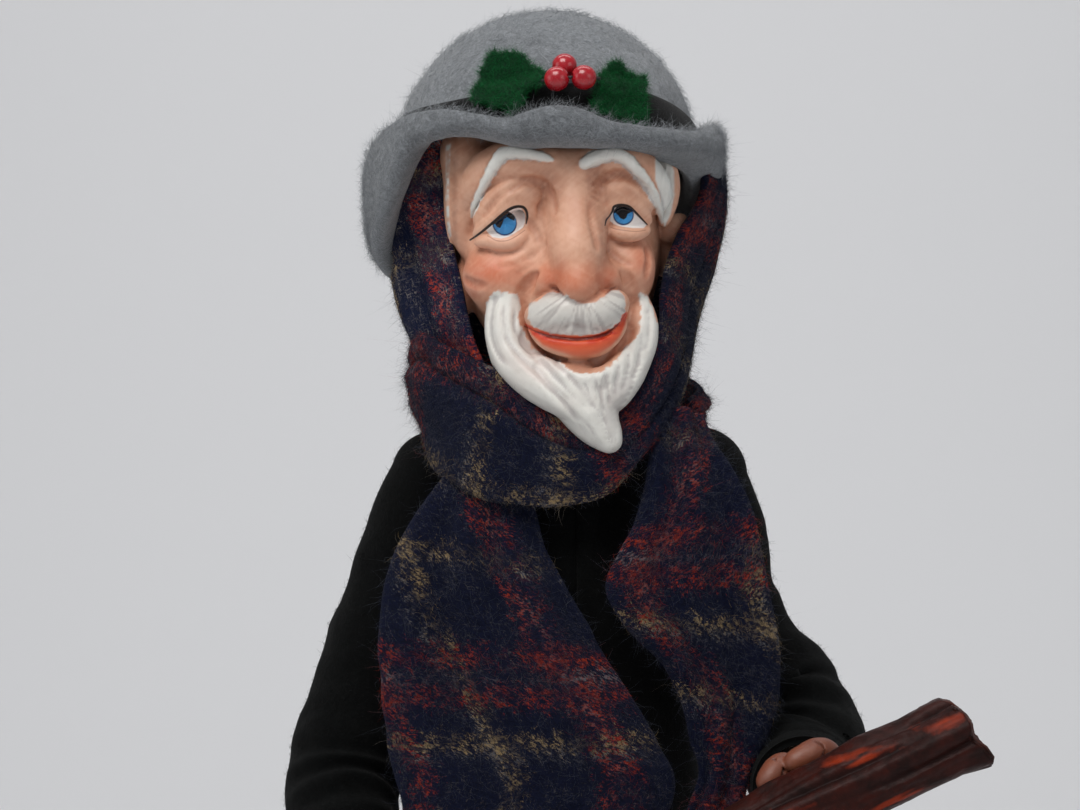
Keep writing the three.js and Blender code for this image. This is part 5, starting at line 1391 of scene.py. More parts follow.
def build_berries():
    axis = (BERRIES[1] - BERRIES[0]) / np.linalg.norm(BERRIES[1] - BERRIES[0])
    R, bore = 2.38, 0.5
    k = Nodes("berry_lacquer", 0.24)
    k.bsdf.inputs["Coat Weight"].default_value = 0.35
    k.bsdf.inputs["Coat Roughness"].default_value = 0.12
    n1 = k.noise(420, 3)
    k.done(k.mix(k.range(n1, 0.3, 0.7), srgb(176, 26, 38), srgb(150, 18, 30)), k.range(k.noise(900, 2), 0.3, 0.7, 0.2, 0.34), k.bump(k.noise(500, 2), 0.12, 0.0001))
    for i, b in enumerate(BERRIES):
        ax = axis.copy()
        if i == 0:
            ax = axis + np.array([0, -0.35, 0.05])
        if i == 1:
            ax = axis + np.array([0, 0.3, -0.05])
        ax /= np.linalg.norm(ax)
        a = np.cross(ax, [0, 0, 1.0])
        a /= np.linalg.norm(a)
        c = np.cross(ax, a)
        a0 = math.asin(bore / R)
        prof = [(R * math.sin(t) * (1 - 0.02 * math.sin(t) ** 2), -R * math.cos(t)) for t in np.linspace(a0 * 1.35, math.pi - a0 * 1.35, 28)]
        z0 = prof[0][1]
        hole = [(bore * 1.12, -z0 + 0.02), (bore, -z0 - 0.22), (bore, -z0 - 1.0), (bore, z0 + 1.0), (bore, z0 + 0.22), (bore * 1.12, z0 - 0.02)]
        prof = np.array(prof + hole)
        ang = np.linspace(0, 2 * np.pi, 36, endpoint=False)
        ring = np.cos(ang)[:, None] * a + np.sin(ang)[:, None] * c
        v = b + ring[:, None, :] * prof[None, :, :1] + ax * prof[None, :, 1:]
        v = hat_world(v.reshape(-1, 3))
        f = grid_faces(36, len(prof), True, True)
        add_mesh("bead_%d" % (i + 1), v, outward(v, f), k.m, "head", ["berry_%d" % (i + 1)])
    t = Nodes("thread_black", 0.6)
    t.done(t.mix(t.range(t.noise(2500, 2), 0.4, 0.6), srgb(16, 15, 16), srgb(38, 34, 34)), 0.6, t.bump(t.noise(3000, 2), 0.5, 0.0001))
    s = np.array([BERRIES[0] + axis * d + np.array([0, w, 0]) for d, w in ((-2.9, 0.6), (-1.5, 0.1), (0, 0), (1.6, -0.1), (2.55, -0.35), (3.5, -0.1), (5.1, 0), (6.6, 0.1), (8.0, 0.7))])
    tv, tf = tube_mesh(hat_world(catmull(s, 60)), 0.3, 10)
    add_mesh("sewing_thread", tv, tf, t.m, "head", ["berry_thread"])


# ==== scarf: brushed wool tartan ====================================================================
# Colours of the sett by place in millimetres: across the cloth (warp) and along it (weft).
NAVY, RED, GREY, OCHRE = (17, 23, 48), (164, 53, 31), (104, 104, 110), (166, 142, 102)
DARK = (14, 17, 30)
WARP = [(-20, NAVY), (6.0, RED), (8.8, GREY), (9.8, RED), (12.4, NAVY), (27.6, OCHRE), (31.4, GREY), (33.0, NAVY), (45.0, RED), (48.5, NAVY), (70, NAVY)]
WEFT = [(0, OCHRE), (2.6, GREY), (4.0, NAVY), (19.0, RED), (23.4, GREY), (26.2, RED), (30.6, NAVY), (36.6, OCHRE), (39.6, GREY), (41.2, NAVY), (52, NAVY)]
WEFT_PERIOD = 52.0


def sett(x, rows):
    """Colour (n, 3), linear, of a stripe list at x with soft edges."""
    pos = np.array([r[0] for r in rows], float)
    col = np.array([srgb(*r[1]) for r in rows])
    i = np.clip(np.searchsorted(pos, x, side="right") - 1, 0, len(rows) - 1)
    out = col[i]
    nxt = np.clip(i + 1, 0, len(rows) - 1)
    d = pos[nxt] - x
    w = (0.5 * (1 - np.clip(d / 0.8, 0, 1)))[:, None]
    return out * (1 - w) + col[nxt] * w


def tartan(u, v, rng):
    """Colours of loose hairs: mostly those of the cloth below, dragged a little by brushing."""
    warp = sett(v + rng.normal(0, 0.9, len(v)), WARP)
    weft = sett(np.mod(u + rng.normal(0, 0.9, len(u)), WEFT_PERIOD), WEFT)
    pick = rng.random(len(u)) < 0.5
    c = np.where(pick[:, None], warp, weft)
    grey = np.array(srgb(*NAVY))
    m = (rng.random(len(u)) < 0.45)[:, None] * 0.9
    dim = np.where(rng.random(len(u)) < 0.6, 0.45, 0.85)[:, None]
    return (c * (1 - m) + grey * m) * dim


def tartan_material(name="scarf_tartan", shade=1.0, pale=(104, 100, 96), gain=1.0):
    k = Nodes(name, 0.95)
    k.bsdf.inputs["Sheen Weight"].default_value = 0.03
    k.bsdf.inputs["Sheen Roughness"].default_value = 0.5
    k.bsdf.inputs["Specular IOR Level"].default_value = 0.1
    u, v = k.attr("ClothU"), k.attr("ClothV")
    uv = k.node("ShaderNodeCombineXYZ")
    k.link(u, uv.inputs[0])
    k.link(v, uv.inputs[1])
    cloth = uv.outputs[0]
    # brushing drags colour across each stripe's edge: coarse wander and fine hairs
    coarse_u, coarse_v = k.noise(0.55, 3, 0.6, cloth), k.noise(0.55, 3, 0.6, k.mapped((1, 1, 1), location=(31, 17, 0), vector=cloth))
    hair_u = k.noise(2.4, 4, 0.7, k.mapped((0.35, 1.6, 1), location=(3, 9, 0), vector=cloth), 0.8)
    hair_v = k.noise(2.4, 4, 0.7, k.mapped((1.6, 0.35, 1), location=(7, 1, 0), vector=cloth), 0.8)
    uu = k.math("ADD", k.math("ADD", u, k.range(coarse_u, 0.25, 0.75, -1.8, 1.8)), k.range(hair_u, 0.25, 0.75, -3.4, 3.4))
    vv = k.math("ADD", k.math("ADD", v, k.range(coarse_v, 0.25, 0.75, -1.8, 1.8)), k.range(hair_v, 0.25, 0.75, -3.4, 3.4))

    def stripes(x, rows, lo, hi):
        stops, edge = [(0.0, srgb(*rows[0][1]))], 0.55
        for (pos, c), (_, before) in zip(rows[1:-1], rows[:-2]):
            stops.append(((pos - edge - lo) / (hi - lo), srgb(*before)))
            stops.append(((pos + edge - lo) / (hi - lo), srgb(*c)))
        return k.ramp(k.range(x, lo, hi), stops, "LINEAR")

    warp = stripes(vv, WARP, -20, 70)
    weft = stripes(k.math("FLOORED_MODULO", uu, WEFT_PERIOD), WEFT, 0, WEFT_PERIOD)
    wob = k.range(k.noise(1.3, 3, 0.6, cloth), 0.2, 0.8, -0.7, 0.7)
    tw = k.math("SINE", k.math("MULTIPLY", k.math("ADD", k.math("ADD", u, v), wob), 2 * math.pi / 1.05))
    # each stripe fades and comes back along its length
    def fade(seed, lo=0.42, hi=0.58):
        return k.range(k.noise(0.13, 3, 0.6, k.mapped((1, 1, 1), location=(seed, seed * 0.7, 0), vector=cloth)), lo, hi, 0.1, 1.0)

    warp = k.mix(fade(19), srgb(*NAVY), warp)
    weft = k.mix(fade(43), srgb(*NAVY), weft)
    mot = k.noise(0.9, 4, 0.68, k.mapped((1.25, 0.8, 1), location=(2, 4, 0), vector=cloth), 0.5)
    fac = k.range(k.math("ADD", k.math("MULTIPLY", tw, 0.07), mot), 0.475, 0.525)
    c = k.mix(fac, warp, weft)
    # pale brushed hairs in patches, and dark gaps between the tufts
    haze = k.math("MULTIPLY", k.range(k.math("MAXIMUM", hair_u, hair_v), 0.56, 0.68, 0.0, 0.75), k.range(k.noise(0.22, 3, 0.6, k.mapped((1, 1, 1), location=(61, 8, 0), vector=cloth)), 0.42, 0.56))
    c = k.mix(haze, c, srgb(*pale))
    c = k.mix(k.range(k.noise(0.62, 4, 0.7, k.mapped((1, 1, 1), location=(11, 5, 0), vector=cloth), 0.6), 0.49, 0.54, 0.0, 0.9 * shade), c, srgb(*NAVY))
    c = k.mix(k.range(k.noise(1.9, 4, 0.7, cloth), 0.5, 0.58, 0.0, 0.7 * shade), c, srgb(*DARK))
    if gain != 1.0:
        bright = k.node("ShaderNodeHueSaturation")
        bright.inputs["Value"].default_value = gain
        k.link(c, bright.inputs["Color"])
        c = bright.outputs[0]
    h = k.math("ADD", k.math("MULTIPLY", tw, 0.12), k.math("ADD", k.math("MULTIPLY", k.math("MAXIMUM", hair_u, hair_v), 1.2), k.noise(3.4, 4, 0.75, cloth)))
    return k.done(c, 0.95, k.bump(h, 0.8, 0.0006))


def strip(rows, ns, nt, thick=2.0, bulge=1.0, ripple=(0.5, 7.0), seed=0, outward_from=(-0.5, 2.8), fixed=None, extra=None):
    """A long piece of cloth between two edges. rows: (A, B) points, or longer rows of points across.
    Returns outer grid, closed vertices, faces, cloth coordinates u and v for the closed mesh."""
    rows = [np.array(r, float) for r in rows]
    m = len(rows[0])
    ctrl = np.stack(rows).reshape(len(rows), -1)  # (k, m*3)
    dense = catmull(ctrl, ns)
    dense = dense.reshape(ns, m, 3)
    if m == 2:
        t = np.linspace(0, 1, nt)
        t = 0.5 - 0.5 * np.cos(np.pi * np.clip(t, 0, 1)) * (0.5 + 0.5 * np.abs(np.cos(np.pi * t)))
        t = (t - t[0]) / (t[-1] - t[0])
        grid = dense[:, 0, None] * (1 - t)[None, :, None] + dense[:, 1, None] * t[None, :, None]
    else:
        grid = np.stack([catmull(dense[i], nt) for i in range(ns)])
        t = np.linspace(0, 1, nt)
    mid = grid[:, nt // 2]
    du = np.r_[0, np.cumsum(np.linalg.norm(np.diff(mid, axis=0), axis=1))]
    dv = np.concatenate([np.zeros((ns, 1)), np.cumsum(np.linalg.norm(np.diff(grid, axis=1), axis=2), axis=1)], axis=1)
    faces = grid_faces(ns, nt)

    def normals(g):
        n = vertex_normals(g.reshape(-1, 3), faces).reshape(ns, nt, 3)
        if fixed is not None:
            ref = np.tile(np.array(fixed, float), (ns, nt, 1))
        else:
            ref = g - np.array([outward_from[0], outward_from[1], 0])
            ref[..., 2] = 0
        flip = (n * ref).sum(-1).mean() < 0
        return (-n if flip else n), flip

    n, flip = normals(grid)
    prof = np.sin(np.pi * t)[None, :, None]
    grid = grid + n * bulge * prof
    q = np.stack([np.repeat(du[:, None], nt, 1) * 0.35, dv, np.full((ns, nt), seed * 50.0)], -1).reshape(-1, 3)
    wave = (0.7 * lattice_noise(q, ripple[1], seed) + 0.3 * lattice_noise(q * [2.2, 1, 1], ripple[1] * 0.5, seed + 1)).reshape(ns, nt)
    edge = np.clip(np.minimum(t, 1 - t) * 6, 0, 1)[None]
    grid = grid + n * (ripple[0] * wave * (0.35 + 0.65 * edge))[..., None]
    # a wavering edge
    across = np.gradient(grid, axis=1)
    across /= np.maximum(np.linalg.norm(across, axis=2, keepdims=True), 1e-9)
    e0 = lattice_noise(np.c_[du, 0 * du, 0 * du + 3], 5.0, seed + 2) * 0.35
    e1 = lattice_noise(np.c_[du, 0 * du, 0 * du + 9], 5.0, seed + 3) * 0.35
    grid = grid + across * (e0[:, None] * (1 - t)[None] ** 6 + e1[:, None] * t[None] ** 6)[..., None]
    if extra is not None:
        grid = grid + n * extra(du[:, None] / du[-1], t[None], du[:, None], dv)[..., None]
    n, flip = normals(grid)
    w = dv[:, -1:]
    rim_w = 1.1
    de = np.minimum(dv, w - dv)
    de = np.minimum(de, np.minimum(du, du[-1] - du)[:, None] + 0.02)
    th = thick / 2 * np.sqrt(np.clip(1 - (1 - np.clip(de / rim_w, 0, 1)) ** 2, 0.02, 1))
    outer, inner = grid + n * th[..., None], grid - n * th[..., None]
    f = faces[:, ::-1] if flip else faces
    allv, allf = shell(outer.reshape(-1, 3), f, ns, nt, 1.0, inner=inner.reshape(-1, 3))
    if flip:
        off = ns * nt
        idx = np.arange(ns * nt).reshape(ns, nt)
        body = [f, f[:, ::-1] + off]
        rims = []
        for line, rev in ((idx[:, 0], 1), (idx[:, -1], 0), (idx[0, :], 0), (idx[-1, :], 1)):
            a, b = line[:-1], line[1:]
            r = np.stack([a, a + off, b + off, b], 1)
            rims.append(r[:, ::-1] if rev else r)
        allf = np.vstack(body + rims)
    allf = outward(allv, allf)
    U = np.tile(np.repeat(du[:, None], nt, 1).reshape(-1), 2)
    V = np.tile(dv.reshape(-1), 2)
    info = {"length": float(du[-1]), "width": float(w.mean()), "grid": grid, "n": n, "ns": ns, "nt": nt, "du": du, "dv": dv, "outer": outer, "faces": f}
    return allv, allf, U, V, info


def cloth_piece(name, data, mat, u0, v_of, replaces):
    allv, allf, U, V, info = data
    ob = add_mesh(name, allv, allf, mat, None, replaces)
    attribute(ob, "ClothU", U + u0)
    attribute(ob, "ClothV", v_of(U, V))
    return ob


def cloth_nap(name, data, u0, v_of, count, seed, length=1.7, lift=0.36, mat=None, gain=1.0):
    """Loose wool hairs of a strip, coloured as the tartan under them."""
    allv, allf, U, V, info = data
    k = len(allv) // 2
    weight = np.r_[np.ones(k), np.full(k, 0.12)]
    p, n, tri, bar = scatter(allv, allf, count, seed, weight)
    u = (U[tri] * bar).sum(1) + u0
    v = (v_of(U, V)[tri] * bar).sum(1)
    rng = np.random.default_rng(seed + 1)
    col = tartan(u, v, rng) * gain
    along = rng.normal(0, 1, (count, 3)) + np.array([0.2, 0, -0.5])
    # one hair in six stands out of the cloth, longer, finer and paler
    out = rng.random(count) < 0.17
    col = np.where(out[:, None], col * 0.55 + np.array(srgb(112, 116, 126)) * 0.45, col)
    return fibres(name, p, n, along, col, np.where(out, length * 1.7, length), np.where(out, 0.017, 0.024), np.where(out, 1.15, lift), seed + 2, mat, 0.55)


# ==== coat and sleeves: thick black felt =============================================================
def felt_sheet(grid, thick=2.0, rim_w=1.2, centre=(0, 3), edges=(1, 1, 1, 1)):
    """A closed sheet of felt round a grid (nu, nv, 3) of middle points, with rounded edges.
    edges: which of the first row, last row, first column and last column are rounded."""
    nu, nv = grid.shape[:2]
    f = grid_faces(nu, nv)
    n = vertex_normals(grid.reshape(-1, 3), f).reshape(nu, nv, 3)
    ref = grid - np.array([centre[0], centre[1], 0])
    ref[..., 2] = 0
    flip = (n * ref).sum() < 0
    if flip:
        n = -n
    du = np.concatenate([np.zeros((1, nv)), np.cumsum(np.linalg.norm(np.diff(grid, axis=0), axis=2), axis=0)])
    dv = np.concatenate([np.zeros((nu, 1)), np.cumsum(np.linalg.norm(np.diff(grid, axis=1), axis=2), axis=1)], axis=1)
    far = np.full((nu, nv), 99.0)
    d = np.minimum.reduce([du if edges[0] else far, du[-1] - du if edges[1] else far, dv if edges[2] else far, dv[:, -1:] - dv if edges[3] else far]) + 0.02
    th = thick / 2 * np.sqrt(np.clip(1 - (1 - np.clip(d / rim_w, 0, 1)) ** 2, 0.03, 1))
    outer, inner = grid + n * th[..., None], grid - n * th[..., None]
    idx = np.arange(nu * nv).reshape(nu, nv)
    off = nu * nv
    quads = [f, f[:, ::-1] + off]
    for line, rev in ((idx[:, 0], 0), (idx[:, -1], 1), (idx[0, :], 1), (idx[-1, :], 0)):
        a, b = line[:-1], line[1:]
        r = np.stack([a, a + off, b + off, b], 1)
        quads.append(r[:, ::-1] if rev else r)
    quads = np.vstack(quads)
    allv = np.vstack([outer.reshape(-1, 3), inner.reshape(-1, 3)])
    return allv, outward(allv, quads), n


def flat_size(verts, faces, length):
    """Width and length in metres of the cloth that a closed sheet was cut from."""
    c = verts[faces]
    area_ = 0.5 * np.linalg.norm(np.cross(c[:, 2] - c[:, 0], c[:, 3] - c[:, 1]), axis=1).sum() / 2
    return (float(area_ / length * MM), float(length * MM))


COAT_ROWS = np.array([[88, 0, 3, 40, 31], [110, 0, 3, 37.2, 28.8], [138, 0, 3, 32.6, 25.2], [160, 0, 3, 29.2, 21.8], [180, 0, 3, 26.8, 19.4],
                      [202, 0, 3, 23.4, 19], [226, 0, 3.5, 20.6, 18.8], [238, 0, 4, 21.2, 15.4], [243.5, 0, 4, 19, 12.6], [247, 0, 4, 14, 10.6]], float)
CAPS = ((-26, 8.8), (27, 9.6))


def coat_panel(side, nz, na):
    zs = np.r_[np.linspace(246.6, 236, max(14, nz // 8)), np.linspace(235, 88.3, nz)]
    ring = [curve_at(COAT_ROWS[:, 0], COAT_ROWS[:, c])(zs) for c in (1, 2, 3, 4)]
    cx, cy, a, b = [q[:, None] for q in ring]
    a, b = a - 1.0, b - 1.0
    t = np.linspace(0, 1, na)[None, :]
    if side == "back":
        lo = np.arcsin(np.clip((4.2 - cy) / b, -1, 1))
        phi = lo + (np.pi - 2 * lo) * t
    else:
        s = np.arcsin(np.clip((3.8 - cy) / b, -1, 1))
        edge = 3.0 + (-1.0 if side == "left" else 0.0)
        mid = -np.arccos(np.clip((edge - cx) / a, -1, 1))
        if side == "left":
            phi = s + (mid - s) * t
        else:
            phi = (-np.pi - s) + (mid + np.pi + s) * t
    z = zs[:, None] + 0 * phi
    x, y = cx + a * np.cos(phi), cy + b * np.sin(phi)
    g = np.stack([x, y, z], -1)
    rad = np.stack([np.cos(phi) / a, np.sin(phi) / b, 0 * phi], -1)
    rad /= np.linalg.norm(rad, axis=2, keepdims=True)
    low = smoothstep(196, 100, z)
    d = low * (1.1 * np.sin(5 * phi + 0.9 + 0.4 * np.sin(z / 37)) + 0.55 * np.sin(11 * phi + 2 + z / 60) - 1.2)
    q = g.reshape(-1, 3)
    d = d + (0.55 * fbm(q * [1, 1, 0.7], 15.0, 2, 61) + 0.16 * fbm(q, 3.6, 2, 63)).reshape(d.shape)
    d = d + 0.5 * smoothstep(93, 89, z)
    if side == "left":
        d = d + 0.8 * smoothstep(6.5, 3.5, x) * (y < 0) * smoothstep(88, 110, z)
    if side == "right":
        d = d - 0.5 * smoothstep(-1.5, 1.5, x) * (y < 0)
    # hollows where the rounded tops of the sleeves sit, with a raised seam round each
    for capx, r in CAPS:
        sgn = 1 if capx > 0 else -1
        R = r + 1.45
        h2 = (g[..., 1] - 6.4) ** 2 + (g[..., 2] - 238) ** 2
        seam = np.exp(-(((np.sqrt(h2 + (g[..., 0] - capx) ** 2) - R - 0.9) / 0.8) ** 2))
        d = d + 0.45 * seam
    g = g + rad * d[..., None]
    for capx, r in CAPS:
        sgn = 1 if capx > 0 else -1
        R = r + 1.35
        h2 = (g[..., 1] - 6.4) ** 2 + (g[..., 2] - 238) ** 2
        lim = capx * sgn - np.sqrt(np.maximum(R * R - h2, 0))
        inside = (h2 < R * R) & (g[..., 0] * sgn > lim)
        g[..., 0] = np.where(inside, sgn * lim, g[..., 0])
    return g


def sleeve_grid(path, radii, cap_r, n, sides, seed, elbow, bend_dir):
    data = np.c_[np.array(path, float), np.array(radii, float)]
    line = catmull(data, n)
    p, r = line[:, :3], line[:, 3]
    s = np.r_[0, np.cumsum(np.linalg.norm(np.diff(p, axis=0), axis=1))]
    t = np.gradient(p, axis=0)
    t /= np.linalg.norm(t, axis=1, keepdims=True)
    nrm = np.array([0, 1.0, 0])
    frames = []
    for k in range(n):
        nrm = nrm - t[k] * (nrm @ t[k])
        nrm /= np.linalg.norm(nrm)
        frames.append((nrm.copy(), np.cross(t[k], nrm)))
    ball = np.sqrt(np.maximum(cap_r**2 - s**2, 0))
    r = np.maximum(r + 0.15, ball)
    # a hem at the cuff
    e = s[-1] - s
    r = r + 0.45 * smoothstep(5.4, 4.6, e) - 0.35 * np.exp(-(((e - 4.7) / 0.5) ** 2))
    ang = np.linspace(0, 2 * np.pi, sides, endpoint=False)
    rings, ss, rr, tt = [], [], [], []
    for a in np.linspace(1.54, 0.06, 18):
        A, B = frames[0]
        rings.append(p[0] - t[0] * cap_r * math.sin(a) + cap_r * math.cos(a) * (np.cos(ang)[:, None] * A + np.sin(ang)[:, None] * B))
        ss.append(-cap_r * math.sin(a))
    for k in range(n):
        A, B = frames[k]
        rings.append(p[k] + r[k] * (np.cos(ang)[:, None] * A + np.sin(ang)[:, None] * B))
        ss.append(s[k])
    g = np.stack(rings)
    ss = np.array(ss)[:, None]
    nu = len(ss)
    f = grid_faces(nu, sides, wrap_v=True)
    nn = vertex_normals(g.reshape(-1, 3), f).reshape(nu, sides, 3)
    c = np.vstack([np.tile(p[0], (18, 1)), p])[:, None]
    if (nn * (g - c)).sum() < 0:
        nn = -nn
    q = g.reshape(-1, 3)
    inner_side = np.clip((nn * np.array(bend_dir)).sum(-1), 0, 1)
    d = (0.55 * fbm(q, 13.0, 2, seed) + 0.18 * fbm(q, 3.4, 2, seed + 1)).reshape(nu, sides)
    fade = smoothstep(4, 16, ss) * smoothstep(0, 7, s[-1] - ss)
    d = d * (0.25 + 0.75 * fade)
    sway = 2.6 * lattice_noise(q, 11.0, seed + 5).reshape(nu, sides)
    wr = np.sin(2 * np.pi * ((ss + sway) / 7.6 + 0.1 * np.sin(2 * ang + seed)[None]))
    d = d + 0.95 * np.exp(-(((ss - elbow) / 12.0) ** 2)) * wr * (0.08 + 0.92 * inner_side)
    wr2 = np.sin(2 * np.pi * ((ss + 1.6 * sway) / 17.0 + 0.3 * np.sin(ang + seed * 2)[None]))
    d = d + 0.3 * wr2 * fade
    g = g + nn * d[..., None]
    nn = vertex_normals(g.reshape(-1, 3), f).reshape(nu, sides, 3)
    if (nn * (g - c)).sum() < 0:
        nn = -nn
    inner = g - nn * 1.6
    allv, allf = shell(g.reshape(-1, 3), f, nu, sides, 1.0, wrap_v=True, inner=inner.reshape(-1, 3))
    flip = np.einsum("ij,ij->i", np.cross(g.reshape(-1, 3)[f[:, 2]] - g.reshape(-1, 3)[f[:, 0]], g.reshape(-1, 3)[f[:, 3]] - g.reshape(-1, 3)[f[:, 1]]), nn.reshape(-1, 3)[f[:, 0]]).sum() < 0
    if flip:
        off = nu * sides
        idx = np.arange(off).reshape(nu, sides)
        quads = [f, f[:, ::-1] + off]
        for line_, rev in ((idx[0], 0), (idx[-1], 1)):
            b = np.roll(line_, -1)
            rr_ = np.stack([line_, line_ + off, b + off, b], 1)
            quads.append(rr_[:, ::-1] if rev else rr_)
        allf = np.vstack(quads)
    return allv, outward(allv, allf), s[-1]


RIGHT_PATH = [[-26, 6.4, 238], [-30.2, 6.4, 230], [-33.2, 6, 221], [-36.4, 5.6, 210.5], [-39.8, 5, 199], [-43.5, 2, 180], [-43, -7, 168], [-38, -17, 160], [-29.5, -31, 148]]
RIGHT_R = [8.4, 8.4, 8.5, 8.9, 9.7, 11.2, 10.5, 9.3, 8]
LEFT_PATH = [[27, 6.4, 238], [30.6, 6.4, 230.5], [32.8, 6, 222], [34, 5.6, 213], [38, 5.2, 203], [44.5, 3.2, 193], [48, -6, 184.6], [45.3, -14, 180.8], [44.9, -25, 179.8]]
LEFT_R = [8.8, 8.3, 8.2, 8.4, 9.7, 11.6, 10.9, 10.8, 9.2]
# ==== log and hands =================================================================================
LOG_A, LOG_B = np.array([72.5, -48.3, 192.6]), np.array([-15.7, -48.3, 145.7])


def build_log():
    L = np.linalg.norm(LOG_A - LOG_B)
    d = (LOG_A - LOG_B) / L
    e2 = np.array([0, -1.0, 0])
    e1 = np.cross(d, e2)
    if e1[2] < 0:
        e1 = -e1
    ns, nt = ((440, 300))
    th = np.linspace(0, 2 * np.pi, nt, endpoint=False)[None, :]
    s = np.linspace(0, L, ns)[:, None]
    t = s / L
    base = 8.0 + 0.75 * np.cos(2 * (th - 1.2)) + 0.45 * np.cos(5 * th + 0.6)
    base = base * (1 + 0.05 * np.cos(6 * t) - 0.24 * (t - 0.5) ** 2 * 0.25)
    # position on a plain cylinder for the noise, stretched along the log
    q = np.stack([8 * np.cos(th) + 0 * s, 8 * np.sin(th) + 0 * s, s * 0.18 + 0 * th], -1).reshape(-1, 3)
    sh = (ns, nt)
    wander = 0.16 * lattice_noise(np.c_[0 * q[:, 0], 0 * q[:, 1], np.repeat(s[:, 0], nt)], 22.0, 5).reshape(sh)
    deg = np.degrees(np.mod(th + wander + 0.12 * np.sin(t * 7), 2 * np.pi))
    end = 1 + 0.3 * smoothstep(0.8, 1.0, t)
    h = np.zeros(sh)
    for a0, w, dep, ph in ((61, 7.5, 1.5, 0.0), (89, 7.5, 1.25, 1.3), (150, 6, 0.7, 2.1), (196, 8, 1.6, 0.4), (240, 7, 1.4, 3.0), (284, 8, 1.7, 4.1), (328, 6, 1.2, 5.2), (24, 6, 1.1, 0.9)):
        drift = {61: 0.53, 89: 0.74}.get(a0, 0.0) * np.clip(s - L, -34, 0)
        c = a0 + drift + 3.5 * np.sin(s / 13.0 + ph) + 1.2 * np.sin(s / 5.1 + 2 * ph)
        dd = (deg - c + 180) % 360 - 180
        amp = dep * (0.62 + 0.38 * np.sin(s / 9.0 + 3 * ph)) * end
        h = h - amp * np.exp(-np.abs(dd / w) ** 1.6)
    fine = 0.15 * fbm(q, 2.4, 2, 11).reshape(sh) + 0.12 * fbm(q * [1, 1, 4.0], 1.2, 2, 13).reshape(sh)
    lump = 0.75 * fbm(q * [1, 1, 2.6], 6.0, 2, 15).reshape(sh)
    # a cut knot on the upper side
    kn = np.sqrt(((s - 47) / 4.4) ** 2 + (((np.degrees(th) - 330 + 180) % 360 - 180) / 30.0) ** 2)
    knot = 1.3 * np.exp(-((kn - 0.8) / 0.3) ** 2) - 0.6 * np.exp(-(kn / 0.5) ** 2)
    R = base + h + fine + lump + knot + 0.5
    ridge = (h + fine + lump * 0.6).ravel()
    rows, tone, ring_at = [], [], []

    # the log thins on its underside towards the end, swells above behind it, and ends in two broken lobes
    def ring(s0, R0):
        h = R0 * np.cos(th[0])
        back = s0 - L
        under = np.interp(back, [-34, -26, -20, -5, -1, 0], [1.0, 0.8, 0.62, 0.7, 0.84, 0.86])
        over = np.interp(back, [-62, -45, -30, -17, -10, 0], [1.0, 1.18, 1.18, 1.07, 1.0, 1.0])
        h = np.where(h < 0, h * under, h * over)
        end_shape = np.interp(h, [-9, -7.2, -4.4, -1.8, 0.6, 2.0, 3.6, 5.4, 7.2, 8.4, 9.5], [-1.4, 0.2, 1.5, 1.1, -0.1, -0.1, 0.5, 0.4, -0.3, -1.4, -2.4])
        s0 = s0 + end_shape * smoothstep(-7, -0.5, back)
        return LOG_B + d * s0[..., None] + h[:, None] * e1 + (R0 * np.sin(th[0]))[:, None] * e2

    def face(i, s_end, sign):
        out = []
        for a in (0.25, 0.55, 0.85, 1.15, 1.45):
            out.append((R[i] - 1.5 * (1 - math.cos(a)), s_end + sign * (1.5 * math.sin(a) - 1.5)))
        for k in np.linspace(0.92, 0.03, 26):
            rr = (R[i] - 1.4) * k
            grain = 0.22 * np.sin(rr * 5.2 + 0.8 * np.sin(3 * th[0]) + 0.5 * np.sin(5 * th[0])) + 0.25 * lattice_noise(np.stack([rr * np.cos(th[0]), rr * np.sin(th[0]), 0 * rr], 1), 2.2, 7 if sign > 0 else 9)
            notch = 0.5 * fbm(np.stack([rr * np.cos(th[0]), rr * np.sin(th[0]), 0 * rr], 1), 5.0, 2, 17)
            out.append((rr, s_end + sign * (0.0 + grain * (0.25 + 0.75 * min(1.0, k * 1.4)) + notch - 0.1)))
        return out

    top_cap, bottom_cap = face(ns - 1, L, 1), face(0, 0.0, -1)
    for rr, so in bottom_cap[::-1]:
        rows.append(ring(so + 0 * rr, rr))
        ring_at.append(1.0)
    for i in range(2, ns - 2):
        rows.append(ring(np.full(nt, s[i, 0]), R[i]))
        ring_at.append(0.0)
    for rr, so in top_cap:
        rows.append(ring(so + 0 * rr, rr))
        ring_at.append(1.0)
    g = np.stack(rows)
    nr = len(rows)
    v = g.reshape(-1, 3)
    f = grid_faces(nr, nt, wrap_v=True)
    poles = np.array([g[0].mean(0), g[-1].mean(0)])
    allv = np.vstack([v, poles])
    tris = [((j + 1) % nt, j, nr * nt) for j in range(nt)] + [((nr - 1) * nt + j, (nr - 1) * nt + (j + 1) % nt, nr * nt + 1) for j in range(nt)]
    c = allv[f]
    vol = np.einsum("ij,ij->i", c[:, 0], np.cross(c[:, 1], c[:, 2])).sum() + np.einsum("ij,ij->i", c[:, 0], np.cross(c[:, 2], c[:, 3])).sum()
    fl = [tuple(map(int, q_)) for q_ in f] + tris
    if vol < 0:
        fl = [tuple(reversed(q_)) for q_ in fl]
    k = Nodes("log_painted", 0.5)
    k.bsdf.inputs["Coat Weight"].default_value = 0.03
    k.bsdf.inputs["Specular IOR Level"].default_value = 0.12
    k.bsdf.inputs["Coat Roughness"].default_value = 0.35
    r = k.attr("Ridge")
    highlight_attr = k.attr("PaintedHighlight")
    cut = k.attr("Cut")
    n1, n2 = k.noise(260, 4, 0.6), k.noise(900, 4, 0.65)
    bark = k.mix(k.range(n1, 0.35, 0.65), srgb(54, 18, 12), srgb(31, 12, 9))
